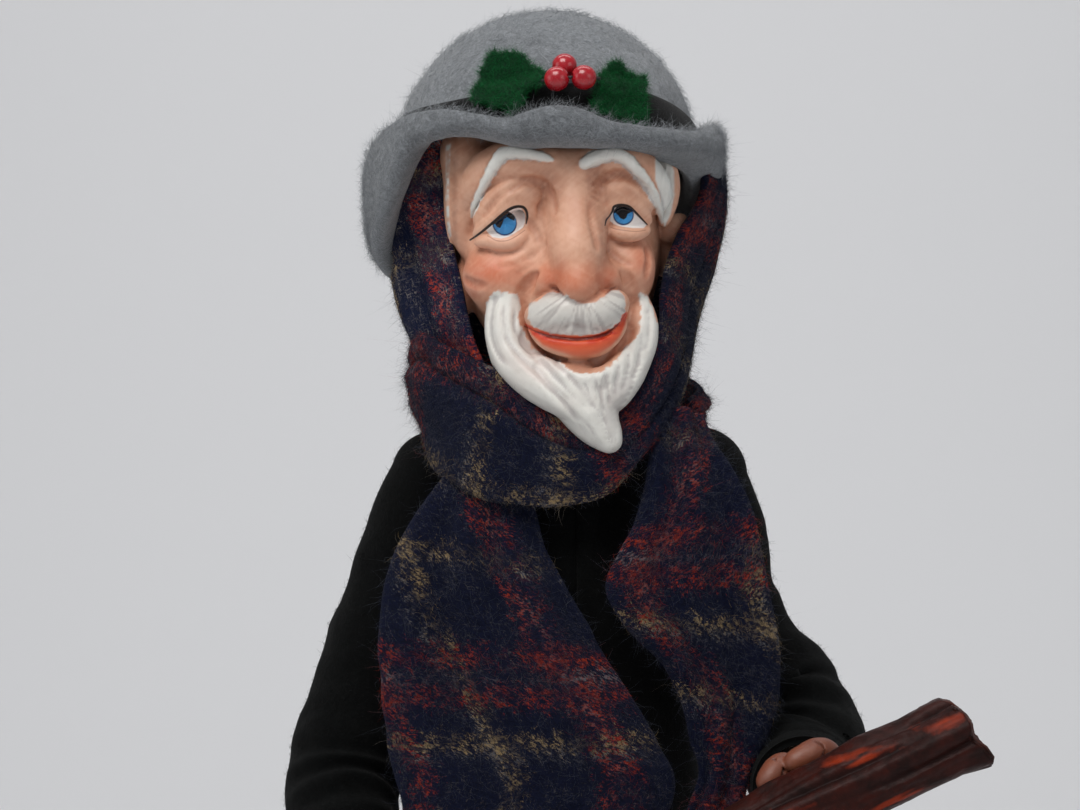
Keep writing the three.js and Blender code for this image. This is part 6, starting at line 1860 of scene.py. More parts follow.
    # painted shade: near black in the grooves, where the Ridge height is low
    bark = k.mix(k.range(k.math("ADD", r, k.math("MULTIPLY", n2, 0.6)), -1.6, 0.1, 0.85, 0.0), bark, srgb(12, 6, 6))
    bark = k.mix(k.range(n2, 0.54, 0.76, 0.0, 0.3), bark, srgb(66, 26, 19))
    # painted highlight: orange where the ridges catch the light, from the patches set in build_log
    highlight_mask = k.math("MULTIPLY", k.range(k.math("ADD", highlight_attr, k.math("ADD", k.math("MULTIPLY", n2, 0.35), k.math("MULTIPLY", n1, 0.35))), 0.62, 1.12), 0.85)
    bark = k.mix(highlight_mask, bark, srgb(142, 46, 18))
    face_c = k.mix(k.range(n1, 0.4, 0.6), srgb(76, 36, 27), srgb(44, 21, 17))
    col = k.mix(cut, bark, face_c)
    k.done(col, k.range(n1, 0.3, 0.7, 0.42, 0.64), k.bump(k.math("ADD", n2, k.math("MULTIPLY", n1, 0.5)), 0.35, 0.0004))
    ob = add_mesh("log_bark", allv, fl, k.m, "arms", ["log"])
    nb = len(bottom_cap)
    rid = np.zeros((nr, nt))
    rid[nb:nr - len(top_cap)] = ridge.reshape(sh)[2:ns - 2]
    highlight_v = np.zeros((nr, nt))
    patch = 0.5 + 0.5 * fbm(np.c_[q[:, :2], np.repeat(s[:, 0], nt) * 0.42], 7.0, 2, 23).reshape(sh)
    up = 0.55 + 0.45 * np.cos(np.radians((deg - 48 + 180) % 360 - 180))
    near = lambda a_, w_: np.exp(-((((deg - a_ + 180) % 360 - 180) / w_) ** 2))
    # painted highlights in orange on the ridges of the front side: distance back from the end, height across the log,
    # half sizes, strength
    high = R * np.cos(th)
    highlight_all = np.zeros(sh)
    for back, h0, ls, lh, amount in ((3.4, 5.3, 3.8, 1.25, 1.0), (8.0, 6.6, 2.6, 0.8, 0.5), (19.0, 6.3, 6.6, 1.25, 1.0), (18.0, -3.9, 6.8, 1.1, 0.9), (26.0, -4.6, 4.6, 0.8, 0.6), (36.0, 4.2, 6.0, 1.0, 0.6), (52.0, -1.0, 6.0, 1.1, 0.6), (66.0, 4.5, 5.4, 1.1, 0.7)):
        dd = ((s - L + back) / ls) ** 2 + ((high - h0 + 0.12 * (s - L + back)) / lh) ** 2
        highlight_all = np.maximum(highlight_all, amount * np.exp(-dd * 0.9) * (np.sin(th) > -0.1))
    streaks = fbm(np.stack([high.ravel(), 0 * high.ravel(), s.ravel() * 0.16], 1) if s.shape == high.shape else np.stack([high.ravel(), 0 * high.ravel(), np.repeat(s[:, 0], nt) * 0.16], 1), 0.8, 2, 29).reshape(sh)
    highlight_all = highlight_all * np.clip(0.8 + 0.9 * streaks, 0.25, 1.3) * (0.75 + 0.5 * patch) + 0.35 * smoothstep(0.6, 0.75, patch) * near(215, 30)
    lower_r = 0 * highlight_all
    highlight_v[nb:nr - len(top_cap)] = np.maximum(highlight_all, lower_r * 0.9)[2:ns - 2]
    cutv = np.repeat(np.array(ring_at)[:, None], nt, 1)
    for arr, nm in ((rid, "Ridge"), (highlight_v, "PaintedHighlight"), (cutv, "Cut")):
        attribute(ob, nm, np.r_[arr.ravel(), arr[0].mean(), arr[-1].mean()])
    return ob


def skin_material():
    k = Nodes("hand_paint_shaded", 0.5)
    k.bsdf.inputs["Subsurface Weight"].default_value = 0.06
    k.bsdf.inputs["Subsurface Radius"].default_value = (0.003, 0.001, 0.0006)
    n1, n2 = k.noise(120, 3, 0.55), k.noise(520, 4, 0.6)
    # the face's clay paint, painted darker and browner as painted shade low on the doll, behind the log
    c = k.mix(k.range(n1, 0.32, 0.68), srgb(134, 76, 53), srgb(106, 55, 38))
    c = k.mix(k.range(n2, 0.5, 0.75, 0.0, 0.3), c, srgb(142, 91, 70))
    # painted shade in the finger creases
    c = k.mix(k.range(k.attr("Crease"), 0.0, 1.0, 0.0, 0.75), c, srgb(96, 50, 38))
    return k.done(c, k.range(n1, 0.3, 0.7, 0.42, 0.56), k.bump(k.math("ADD", n2, k.math("MULTIPLY", k.noise(1800, 3), 0.4)), 0.25, 0.00025))


def smooth_limb(F, pts, r, k=0.8):
    F.tube(pts, r, k)


def build_hand(name, node, palm, wrist, fingers, creases, lo, hi, mat):
    F = Field(lo, hi, 0.26)
    F.tube(wrist[0], wrist[1], 0.0)
    for c, r in palm:
        F.ellipsoid(c, r, 2.0)
    for pts, r in fingers:
        F.tube(pts, r, 0.75)
    # knuckles: the joints of each finger are a little wider, and creased
    for pts, r in fingers:
        pts = np.array(pts, float)
        if len(pts) > 2:
            for j in range(1, len(pts) - 1):
                F.ellipsoid(pts[j], np.ones(3) * (np.interp(j, range(len(r)), r) * 1.07), 0.5)
    for pts, r in creases:
        F.tube(pts, r, 0.35, cut=True)
    # clear of the log
    L = np.linalg.norm(LOG_A - LOG_B)
    d = (LOG_A - LOG_B) / L
    g = np.stack(np.meshgrid(*F.axes, indexing="ij"), -1).astype(f4)
    rel = g - LOG_B.astype(f4)
    al = rel @ d.astype(f4)
    rad = np.sqrt(np.maximum((rel**2).sum(-1) - al**2, 0)) - 8.3
    F.f = np.maximum(F.f, -rad.astype(f4))
    F.displace(lo, hi, lambda p: -0.07 * fbm(p, 1.6, 2, 31) - 0.1 * fbm(p, 5.0, 1, 33))
    v, f = F.mesh()
    ob = add_mesh(name, v, outward(v, f), mat, "arms", [node])
    near = np.zeros(len(v))
    for pts, r in creases:
        dd, _ = polyline_distance(v, pts)
        near = np.maximum(near, np.exp(-((dd / 0.55) ** 2)))
    attribute(ob, "Crease", near)
    return ob
# ==== trousers, shoes and stand ======================================================================
def leg_ring(z, x, grow=0.0):
    zs = np.array([23.5, 40, 60, 90, 118])
    r = np.interp(z, zs, [9.9, 9.4, 9.6, 10.6, 11.4]) + grow
    return x * np.interp(z, [90, 118], [1.0, 0.97]), 4.0, r


def build_trousers(mat):
    """Two felt legs joined at the hips, hollow, open at the hems and at the waist."""
    h = 0.55
    F = Field((-30, -16, 20), (30, 24, 160), h)
    X, Y, Z = F.axes[0][:, None, None], F.axes[1][None, :, None], F.axes[2][None, None, :]

    def body(grow):
        out = np.full(F.n, 9.0, f4)
        for x in (-12.3, 12.3):
            cx = x * np.interp(F.axes[2], [90, 118, 156], [1.0, 0.93, 0.6]).astype(f4)[None, None, :]
            r = (np.interp(F.axes[2], [20, 23.5, 28, 40, 60, 90, 112, 130, 156], [10.3, 10.2, 9.9, 9.5, 9.7, 10.5, 11.2, 11.4, 9.5]) + grow).astype(f4)[None, None, :]
            d = np.sqrt((X - cx) ** 2 + ((Y - 4) / 1.04) ** 2) - r
            k = f4(2.5)
            hh = np.clip(0.5 + 0.5 * (out - d) / k, 0, 1)
            out = out + (d - out) * hh - k * hh * (1 - hh)
        hip = np.sqrt((X / 1.5) ** 2 + (Y - 4) ** 2) - (np.interp(F.axes[2], [100, 112, 130, 156], [4.0, 11.0, 13.0, 11.5]) + grow).astype(f4)[None, None, :]
        hip = np.maximum(hip, 108 - Z)
        k = f4(4)
        hh = np.clip(0.5 + 0.5 * (out - hip) / k, 0, 1)
        return (out + (hip - out) * hh - k * hh * (1 - hh)).astype(f4)

    outer = body(0.0)
    F.f = outer
    # hanging folds, a break above the shoe and a crease behind the knee
    g = np.stack(np.meshgrid(*F.axes, indexing="ij"), -1).reshape(-1, 3).astype(float)
    near = np.abs(outer.ravel()) < 4
    p = g[near]
    s = np.sign(p[:, 0])
    a = np.arctan2(p[:, 1] - 4, p[:, 0] - s * 12.3)
    fold = 0.55 * fbm(p * [1, 1, 0.45], 9.0, 2, 81) + 0.5 * np.sin(2 * np.pi * p[:, 2] / 8.5 + 2.2 * np.sin(a + s)) * np.exp(-(((p[:, 2] - 33) / 8.0) ** 2))
    fold = fold + 0.45 * np.sin(2 * np.pi * p[:, 2] / 9.5 + 1.6 * np.cos(a)) * np.exp(-(((p[:, 2] - 76) / 12.0) ** 2)) * (0.3 + 0.7 * np.clip(np.sin(a), 0, 1))
    fold = fold + 0.45 * np.sin(3 * a + p[:, 2] / 30.0) * smoothstep(45, 80, p[:, 2])
    crease = 0.55 * np.exp(-((np.abs(p[:, 0]) - 12.3) / 0.9) ** 2) * (p[:, 1] < 4) * smoothstep(24, 40, p[:, 2])
    disp = np.zeros(len(g))
    disp[near] = fold + crease
    disp = disp.reshape(F.n).astype(f4)
    hem = (0.35 * np.exp(-((F.axes[2] - 28.5) / 0.5) ** 2) * (F.axes[2] > 24)).astype(f4)[None, None, :]
    o = outer - disp + hem
    inn = o + f4(1.5)
    shell_ = np.maximum(o, -inn)
    shell_ = np.maximum(shell_, np.maximum(23.6 - Z, Z - 155.8).astype(f4))
    F.f = shell_
    v, f = F.mesh()
    f = outward(v, f)
    ob = add_mesh("trousers_felt", v, f, mat, "figure", ["trousers"])
    return ob


def build_shoe(name, node, x, mat):
    s = 1 if x > 0 else -1
    F = Field((x - 11, -30, 9.5), (x + 11 + 2, 17, 36), 0.26)
    base = [(x, 12.6, 15), (x, 8, 15.5), (x + 0.5 * s, -2, 15.2), (x + 2 * s, -13, 13.4), (x + 2.7 * s, -21.5, 12.2)]
    F.tube(base, [5.4, 6.9, 6.6, 6.0, 4.2], 0.0)
    F.ellipsoid((x + 2.4 * s, -17.5, 11.4), (6.8, 8.4, 6.2), 2.2)
    F.ellipsoid((x, 8.4, 12.6), (6.4, 7.2, 6.2), 2.0)
    F.tube([(x, 4.6, 16), (x, 4, 24), (x, 4, 33)], [6.8, 5.7, 5.4], 3.0)
    # the opening at the ankle, a top line and a tongue
    F.tube([(x, 4, 31), (x, 4, 37)], [3.6, 3.8], 0.6, cut=True)
    ring = [(x + 6.3 * math.cos(a), 4 + 6.4 * math.sin(a) * 1.02, 24.6 + 1.2 * math.sin(a)) for a in np.linspace(0, 2 * np.pi, 21)]
    F.tube(ring, 0.42, 0.3, cut=True)
    # toe cap seam, side seams, and the lacing down the instep
    F.tube([(x + 2 * s + 6.9 * math.cos(a), -11.5 + 2.2 * math.sin(a) * -1, 11.5 + 8.6 * math.sin(a)) for a in np.linspace(-0.1, math.pi + 0.1, 25)], 0.3, 0.25, cut=True)
    for sx in (-1, 1):
        F.tube([(x + sx * 2.1, 0.0, 22.4), (x + 0.6 * s + sx * 2.4, -4.6, 20.0), (x + 1.2 * s + sx * 2.2, -8.6, 18.6)], 0.28, 0.25, cut=True)
    for j, yy in enumerate((-0.6, -3.2, -5.8, -8.2)):
        zz = np.interp(yy, [-8.2, -0.6], [19.4, 22.4])
        F.tube([(x + 0.8 * s - 2.6, yy, zz - 0.55), (x + 0.8 * s, yy - 0.2, zz + 0.15), (x + 0.8 * s + 2.6, yy, zz - 0.55)], 0.36, 0.1)
    # sole: a slab that stands out all round as a welt
    g = np.stack(np.meshgrid(*F.axes, indexing="ij"), -1)
    yy = g[..., 1]
    cx = x + s * np.interp(yy, [-24, -13, -2, 13], [2.7, 2.0, 0.5, 0.0])
    w = np.interp(yy, [-27, -25.5, -23, -18, -12, -2, 6, 12, 15, 16.2], [0.5, 3.0, 5.2, 7.2, 7.4, 6.2, 6.4, 6.3, 4.4, 0.8])
    side = np.abs(g[..., 0] - cx) - w
    slab = np.maximum(np.maximum(side * 0.9, np.abs(g[..., 2] - 11.2) - 1.25), np.maximum(yy - 16.3, -27.2 - yy)).astype(f4)
    F.f = np.minimum(F.f, slab)
    welt = (0.35 * np.exp(-((g[..., 2] - 12.9) / 0.3) ** 2)).astype(f4)
    F.f = F.f + welt
    F.f = np.maximum(F.f, (9.85 - g[..., 2]).astype(f4))
    F.f = np.maximum(F.f, -np.maximum(np.maximum(np.abs(yy - 2.6) - 0.5, 10.9 - 0 * yy - 1.5 + 0 * yy - 0), g[..., 2] - 11.0).astype(f4))
    F.displace((x - 12, -30, 12), (x + 14, 18, 34), lambda p: -0.14 * fbm(p, 4.0, 2, 91) - 0.05 * fbm(p, 1.2, 2, 93) + 0.16 * np.sin(p[:, 1] * 2.1 + 0.3 * p[:, 0]) * np.exp(-(((p[:, 1] + 9.5) / 3.0) ** 2)) * (p[:, 2] > 15))
    v, f = F.mesh()
    ob = add_mesh(name, v, outward(v, f), mat, "figure", [node])
    return ob


def leather():
    k = Nodes("shoe_leather", 0.36)
    k.bsdf.inputs["Coat Weight"].default_value = 0.2
    k.bsdf.inputs["Coat Roughness"].default_value = 0.25
    z = k.node("ShaderNodeSeparateXYZ")
    k.link(k.p, z.inputs[0])
    n1, n2 = k.noise(300, 3), k.voronoi(1400)
    up = k.mix(k.range(n1, 0.3, 0.7), srgb(24, 22, 22), srgb(38, 34, 32))
    sole = k.mix(k.range(k.noise(900, 3), 0.3, 0.7), srgb(48, 34, 26), srgb(66, 48, 36))
    col = k.mix(k.range(z.outputs[2], 0.0127, 0.0131), sole, up)
    return k.done(col, k.range(n1, 0.3, 0.7, 0.3, 0.46), k.bump(k.math("ADD", n2, k.math("MULTIPLY", n1, 0.5)), 0.22, 0.00012))


def stand_wood():
    k = Nodes("stand_wood", 0.42)
    k.bsdf.inputs["Coat Weight"].default_value = 0.25
    k.bsdf.inputs["Coat Roughness"].default_value = 0.22
    v = k.mapped((1.0, 14.0, 6.0))
    grain = k.noise(26, 6, 0.62, v, 0.6)
    pore = k.noise(210, 4, 0.6, k.mapped((1.0, 16.0, 9.0)))
    col = k.mix(k.range(grain, 0.32, 0.68), srgb(58, 34, 22), srgb(96, 60, 38))
    col = k.mix(k.range(pore, 0.56, 0.7, 0.0, 0.7), col, srgb(34, 19, 13))
    return k.done(col, k.range(grain, 0.3, 0.7, 0.34, 0.5), k.bump(k.math("ADD", grain, pore), 0.18, 0.0002))


def steel():
    k = Nodes("wire_steel", 0.38)
    k.bsdf.inputs["Metallic"].default_value = 1.0
    n = k.noise(900, 3, 0.6)
    return k.done(k.mix(k.range(n, 0.35, 0.65), srgb(150, 150, 152), srgb(112, 110, 108)), k.range(n, 0.3, 0.7, 0.3, 0.5), k.bump(n, 0.15, 0.00005))


def paper():
    k = Nodes("wound_paper", 0.9)
    n, m = k.noise(140, 4, 0.6), k.noise(700, 4, 0.65)
    wound = k.wave(190, k.mapped((0.25, 0.25, 1.0), (0.25, 0.1, 0)), 2.5, 3, "Z")
    col = k.mix(k.range(n, 0.35, 0.65), srgb(216, 208, 190), srgb(190, 180, 158))
    col = k.mix(k.range(wound, 0.75, 0.98, 0.0, 0.45), col, srgb(150, 138, 116))
    return k.done(col, 0.9, k.bump(k.math("ADD", k.math("MULTIPLY", wound, 0.8), m), 0.5, 0.0005))


def finish_node(name, material):
    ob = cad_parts[name]
    if ob.material_slots:
        for s in ob.material_slots:
            s.material = material
    else:
        ob.data.materials.append(material)


def wound_tube(name, node, pts, radii, body, mat, seed):
    """Soft paper wound round a wire: a tube with the turns of the strip on it."""
    data = catmull(np.c_[np.array(pts, float), np.array(radii, float)], 190)
    p, r = data[:, :3], data[:, 3]
    s = np.r_[0, np.cumsum(np.linalg.norm(np.diff(p, axis=0), axis=1))]
    sides = 40
    v, f = tube_mesh(p, r, sides, up=(0, 1, 0.1))
    c = np.repeat(np.vstack([np.tile(p[0], (4, 1)), p, np.tile(p[-1], (4, 1))]), sides, 0)
    ss = np.repeat(np.r_[np.full(4, s[0]), s, np.full(4, s[-1])], sides)
    ang = np.tile(np.linspace(0, 1, sides, endpoint=False), len(v) // sides)
    turn = np.mod(ss / 5.2 - ang + 0.15 * lattice_noise(v, 9.0, seed), 1.0)
    w = (0.35 * (1 - turn) + 0.25 * fbm(v, 3.0, 2, seed + 1) - 0.3)[:, None]
    n = (v - c) / np.maximum(np.linalg.norm(v - c, axis=1, keepdims=True), 1e-6)
    return add_mesh(name, v + n * w, f, mat, body, [node])
head = build_head()
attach(head, "head")
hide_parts("head")

build_hat()
LEAF_MAT = wool("leaf_felt_green", (5, 40, 22), (9, 60, 31), (26, 96, 50), 1.0, 1.0, 0.95, 0.1)
LEAF_NAP = fibre_material("leaf_fibre")
build_leaf("felt_leaf_right", LEAF_A, 201, "holly_leaf_right")
build_leaf("felt_leaf_left", LEAF_B, 211, "holly_leaf_left")
build_berries()

def BX(bx, by, y):
    """A second window of the front view, lower on the doll, two units to a picture unit."""
    return P((bx / 2 - 60) * 3.267, (330 + by / 2) * 3.267, y)


SCARF_MAT = tartan_material()
SCARF_NAP = fibre_material("scarf_fibre", 0.9, 1.0, 0.0, 0.08)
NECK_LO, NECK_HI = (0, 0.0032, 0.240), (0, 0.0032, 0.264)

run_rows = [
    (P(1150, 430, 4), P(1215, 470, 16)), (P(1182, 530, 0), P(1238, 560, 13)), (P(1186, 610, -3), P(1248, 660, 11)), (P(1152, 690, -6), P(1240, 770, 9)),
    (P(1106, 765, -9), P(1215, 880, 7)), (P(1074, 840, -11.5), P(1180, 990, 5)), (P(1052, 930, -13.5), P(1150, 1100, 2)), (P(1048, 1040, -15), P(1128, 1210, -3)),
    (P(1026, 1150, -17), P(1108, 1300, -8.5)), (P(985, 1250, -18.6), P(1066, 1390, -14.5)), (P(925, 1335, -19.6), P(1005, 1470, -19.5)), (P(850, 1385, -20.2), P(925, 1570, -22)),
    (P(770, 1390, -20.4), P(820, 1640, -23.4)), (P(690, 1350, -20.4), P(690, 1655, -24)), (P(610, 1285, -20), P(560, 1650, -23.5)), (P(530, 1212, -19.2), P(450, 1625, -22)),
    (P(430, 1165, -17), P(370, 1580, -18.5)), (P(330, 1118, -11.5), P(316, 1530, -12)), (P(264, 1085, -4), P(292, 1450, -5)),
    ((-30.6, 7, 262.5), (-28.6, 7, 249.5)), ((-26.4, 20.5, 263), (-24.5, 21, 244)), ((-12.5, 30.2, 263), (-11.5, 30, 236.5)), ((5.5, 31.6, 262), (4.5, 30.6, 235)),
    ((20.5, 25.4, 259.5), (18.6, 24.6, 239)), ((27.0, 13.5, 256), (25.8, 13.5, 248.5)), ((24.6, 3, 253), (24.2, 2, 247.6)),
]


def run_extra(s, t, u, v):
    # a long crease below the beard, and soft folds that follow the strip
    crease = -1.5 * np.exp(-(((t - (0.36 + 0.12 * np.sin(s * 9))) / 0.06) ** 2)) * smoothstep(0.3, 0.42, s) * smoothstep(0.68, 0.58, s)
    side = -1.3 * np.exp(-(((t - 0.62) / 0.09) ** 2)) * smoothstep(0.04, 0.1, s) * smoothstep(0.36, 0.28, s)
    fold = 0.5 * np.sin(2 * np.pi * (t * 2.2 + 0.5 * np.sin(s * 14)))
    return crease + side + fold * smoothstep(0.45, 0.7, s)


Q_ = 1.0
run = strip(run_rows, int(430 * (1)), 58, 2.0, 1.3, (0.55, 6.5), 11, extra=run_extra)
run_v = lambda U, V: 5.0 + V * (26.5 / np.maximum(np.interp(U, run[4]["du"], run[4]["dv"][:, -1]), 12.0))
scarf_run = cloth_piece("scarf_wrap_cloth", run, SCARF_MAT, 4.0, run_v, ["scarf_neck_wrap"])
run_nap = cloth_nap("scarf_wrap_nap", run, 4.0, run_v, int(24000 * Q_), 301, mat=SCARF_NAP)

hood_rows = []
for A, B, c2, c3, c4, c5 in (
    ((338, 380, -5), (250, 390, -1), (-19.5, 19.5, 306), (-1.5, 28.0, 304), (17.5, 19.5, 304), (22.0, 8, 306)),
    ((345, 440, -7), (222, 450, -3), (-21.5, 21, 302), (-1.5, 29.5, 300), (19.5, 21, 300), (24.5, 8, 302)),
    ((350, 520, -8), (190, 560, -5), (-24, 21.3, 297), (-1.5, 30.8, 295), (21.5, 21.5, 295), (27.5, 9, 297)),
    ((346, 620, -8), (178, 680, -2), (-26, 21.8, 290), (-1.5, 31.3, 289), (23, 22, 289), (28.6, 8, 291)),
    ((352, 720, -8), (178, 790, 3), (-26.5, 22, 284), (-1.5, 31, 283), (23.5, 22, 283), (28.6, 6, 285)),
    ((370, 830, -8.5), (184, 900, 5), (-26.5, 22, 278), (-1.5, 30.5, 277), (23.5, 22, 277), (27.6, 4, 279)),
    ((392, 930, -10), (206, 1010, 5), (-26, 21.8, 272), (-1.5, 30.2, 271), (23, 21.5, 271), (26.0, 2, 273)),
    ((414, 1040, -11.5), (242, 1090, 4), (-25, 21.2, 266), (-1.5, 29.6, 265), (22, 20.8, 266), (24.2, 0, 268)),
    ((440, 1130, -12.5), (268, 1170, 4), (-23.6, 20, 261), (-1.5, 28.6, 260), (20.8, 19.8, 262), (22.4, -2, 264)),
    ((470, 1200, -13), (292, 1250, 4), (-22, 18.6, 257), (-1.5, 27.6, 256), (19.4, 18.6, 258), (20.6, -3.5, 260)),
):
    hood_rows.append((P(*A), P(*B), c2, c3, c4, c5))


def hood_extra(s, t, u, v):
    folds = 0.9 * np.sin(2 * np.pi * (v / 11.0 + 0.25 * np.sin(u / 9.0))) * smoothstep(9, 20, v)
    left = -0.9 * np.exp(-((v - 8.5 - 0.06 * u) / 1.6) ** 2) * smoothstep(6, 16, u)
    return folds * 0.8 + left


hood = strip(hood_rows, 120, 230, 2.0, 0.0, (0.5, 8.0), 23, extra=hood_extra)
hood_v = lambda U, V: 5.2 + np.where(V < 26, V, 26 + np.mod(V - 26, 26) * 0 + (V - 26) * 0.42)
# painted light: the hood's cloth and its hairs are a brighter copy of the tartan (gain 1.6, fewer navy and dark
# patches, paler haze), lit up against the brim's shadow
scarf_hood = cloth_piece("scarf_hood_cloth", hood, tartan_material("scarf_tartan_hood_lit", 0.5, (158, 150, 138), 1.6), 26.0, hood_v, ["scarf_hood"])
hood_nap = cloth_nap("scarf_hood_nap", hood, 26.0, hood_v, int(17000 * Q_), 311, mat=SCARF_NAP, gain=1.6)

for piece in (scarf_run, run_nap, scarf_hood, hood_nap):
    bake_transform(piece)
    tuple(NECK_LO)
    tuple(NECK_HI)

# hanging ends: edges as seen from the front, then straight down to the fringe
tail_r_rows = [
    (BX(345, 268, -17.5), BX(498, 300, -19.0)), (BX(300, 330, -18.5), BX(512, 365, -19.6)), (BX(262, 385, -19.2), BX(530, 430, -20.0)), (BX(226, 455, -19.4), BX(566, 505, -20.4)),
    (BX(206, 540, -19.6), BX(606, 575, -20.8)), (BX(198, 640, -20.0), BX(650, 650, -21.4)), (BX(204, 740, -20.6), BX(706, 738, -22.0)), (BX(216, 835, -21.4), BX(756, 830, -22.6)),
    (BX(236, 915, -22.2), BX(788, 925, -23.4)), ((-28.5, -24.0, 162), (13.8, -25.0, 161)), ((-26.4, -25.8, 148), (13.6, -26.8, 147)), ((-23.6, -27.6, 134), (12.4, -28.4, 133)), ((-20.5, -29.4, 121), (10.4, -29.6, 120)), ((-18.4, -30.4, 113), (9.2, -30.6, 112)),
]


def tail_r_extra(s, t, u, v):
    big = 1.5 * np.sin(2 * np.pi * (t * 1.35 + 0.12 * np.sin(s * 6) + 0.1)) * smoothstep(0.05, 0.3, s)
    fan = 0.7 * np.sin(2 * np.pi * (t * 3.1 - 0.7 * s)) * smoothstep(0.0, 0.12, s) * smoothstep(0.75, 0.35, s)
    return big + fan


tail_r = strip(tail_r_rows, 300, 110, 2.0, 1.2, (0.6, 9.0), 37, fixed=(0, -1, 0), extra=tail_r_extra)
wr = tail_r[4]["dv"][:, -1]
tail_r_v = lambda U, V: np.interp(U, tail_r[4]["du"], wr) - V - 0.5
end_r = cloth_piece("scarf_end_right_cloth", tail_r, SCARF_MAT, 37.0, tail_r_v, ["scarf_right_end"])
end_r_nap = cloth_nap("scarf_end_right_nap", tail_r, 37.0, tail_r_v, int(22000 * Q_), 321, mat=SCARF_NAP)

tail_l_rows = [
    (BX(742, 150, -14.5), BX(838, 175, -8.5)), (BX(738, 230, -16.5), BX(866, 232, -12.5)), (BX(732, 310, -18.2), BX(908, 292, -16)), (BX(708, 390, -20.2), BX(944, 360, -17.6)),
    (BX(672, 455, -21.4), BX(962, 440, -18.4)), (BX(652, 520, -22.2), BX(978, 530, -18.8)), (BX(690, 590, -22.2), BX(994, 610, -19.2)), (BX(758, 655, -21.2), BX(1000, 690, -19.6)),
    (BX(800, 735, -20.8), BX(990, 765, -20.0)), (BX(820, 820, -21.2), BX(962, 838, -20.6)), (BX(832, 900, -21.8), BX(934, 905, -21.4)), ((17.6, -23.2, 160), (31.4, -22.4, 161)), ((17.0, -25.0, 146), (31.6, -23.8, 147)), ((15.8, -27.0, 132), (32.0, -25.2, 133)), ((14.8, -28.8, 119), (32.2, -26.6, 119)),
]


def tail_l_extra(s, t, u, v):
    roll = 1.6 * np.exp(-(((t - 0.16) / 0.16) ** 2)) * np.exp(-(((s - 0.36) / 0.13) ** 2))
    valley = -1.3 * np.exp(-(((t - 0.62 + 0.2 * s) / 0.09) ** 2)) * smoothstep(0.3, 0.45, s)
    fan = 0.6 * np.sin(2 * np.pi * (t * 2.3 + 0.5 * s))
    return roll + valley + fan


tail_l = strip(tail_l_rows, 290, 90, 2.0, 1.6, (0.5, 8.0), 41, fixed=(0, -1, 0), extra=tail_l_extra)
tail_l_v = lambda U, V: V + 0.5 + 2.0 * np.sin(U / 30.0)
end_l = cloth_piece("scarf_end_left_cloth", tail_l, SCARF_MAT, 47.5, tail_l_v, ["scarf_left_end"])
end_l_nap = cloth_nap("scarf_end_left_nap", tail_l, 47.5, tail_l_v, int(19000 * Q_), 331, mat=SCARF_NAP)


def fringe(name, data, u0, v_of, seed):
    """Twisted yarns at the end of a strip."""
    info = data[4]
    end, w = info["grid"][-1], info["dv"][-1]
    rng = np.random.default_rng(seed)
    n = int(w[-1] / 0.95)
    vs, fs, cs, off = [], [], [], 0
    for i in range(n):
        d = (i + 0.5) / n * w[-1]
        a = np.array([np.interp(d, w, end[:, k]) for k in range(3)])
        L = 6.6 + rng.normal(0, 0.7)
        side = rng.normal(0, 0.5)
        pts = np.array([a + [0, 0, 0.9], a + [0, -0.1, -0.4], a + [side * 0.3, -0.2 + rng.normal(0, 0.15), -L * 0.45], a + [side, rng.normal(-0.2, 0.3), -L]])
        line = catmull(pts, 12)
        for h in (0, np.pi):
            ph = np.linspace(0, 5.5, 12) + h + i
            q = line + 0.2 * np.stack([np.cos(ph), np.sin(ph), 0 * ph], 1)
            v, f = tube_mesh(q, np.linspace(0.27, 0.2, 12), 6, up=(0, 1, 0))
            vs.append(v)
            fs += [tuple(x + off for x in face) for face in f]
            off += len(v)
            cs.append(np.tile(tartan(np.array([info["du"][-1] + u0]), np.array([v_of(np.array([info["du"][-1]]), np.array([d]))[0]]), rng), (len(v), 1)))
    ob = add_mesh(name, np.vstack(vs), fs, SCARF_NAP)
    attribute(ob, "Paint", np.vstack(cs), "FLOAT_COLOR")
    return ob


fringe_r = fringe("scarf_fringe_right", tail_r, 37.0, tail_r_v, 341)
fringe_l = fringe("scarf_fringe_left", tail_l, 47.5, tail_l_v, 343)
for piece in (end_r, end_r_nap, end_l, end_l_nap, fringe_r, fringe_l):
    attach(piece, "figure")
for data, piece, held, rests, extra_pieces in (
    (run, scarf_run, "gathered", ["scarf_hood_cloth"], [run_nap]),
    (hood, scarf_hood, "draped", ["painted_head"], [hood_nap]),
    (tail_r, end_r, "hung", ["coat_front_right"], [end_r_nap, fringe_r]),
    (tail_l, end_l, "hung", ["coat_front_left"], [end_l_nap, fringe_l]),
):
    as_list(rests)
    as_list(extra_pieces)

COAT_FELT = wool("coat_felt_black", (7, 8, 8), (12, 13, 13), (26, 27, 27), 1.0, 0.75, 0.97, 0.02, 0.08)
COAT_NAP = fibre_material("coat_fibre", 0.9, 1.0, 0.0, 0.08)


def black_nap(name, verts, faces, count, seed, body, length=1.5):
    k = len(verts) // 2
    w = np.r_[np.ones(k), np.full(k, 0.02)]
    p, n, _, _ = scatter(verts, faces, count, seed, w)
    rng = np.random.default_rng(seed)
    col = np.tile(np.array(srgb(16, 17, 17)), (count, 1)) * (0.7 + 1.0 * rng.random(count))[:, None] ** 2
    ob = fibres(name, p, n, rng.normal(0, 1, (count, 3)), col, length, 0.032, 0.5, seed + 1, COAT_NAP, 0.8)
    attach(ob, body)
    return ob


for side, node in (("back", "coat_back"), ("right", "coat_front_right"), ("left", "coat_front_left")):
    g = coat_panel(side, 150, 120 if side == "back" else 80)
    v, f, _ = felt_sheet(g, 2.0)
    piece = add_mesh(node + "_felt", v, f, COAT_FELT, "figure", [node])
    nap = black_nap(node + "_nap", v, f, 5000 if side == "back" else 2600, 401 + len(side), "figure")
    flat_size(v, f, 158.0)

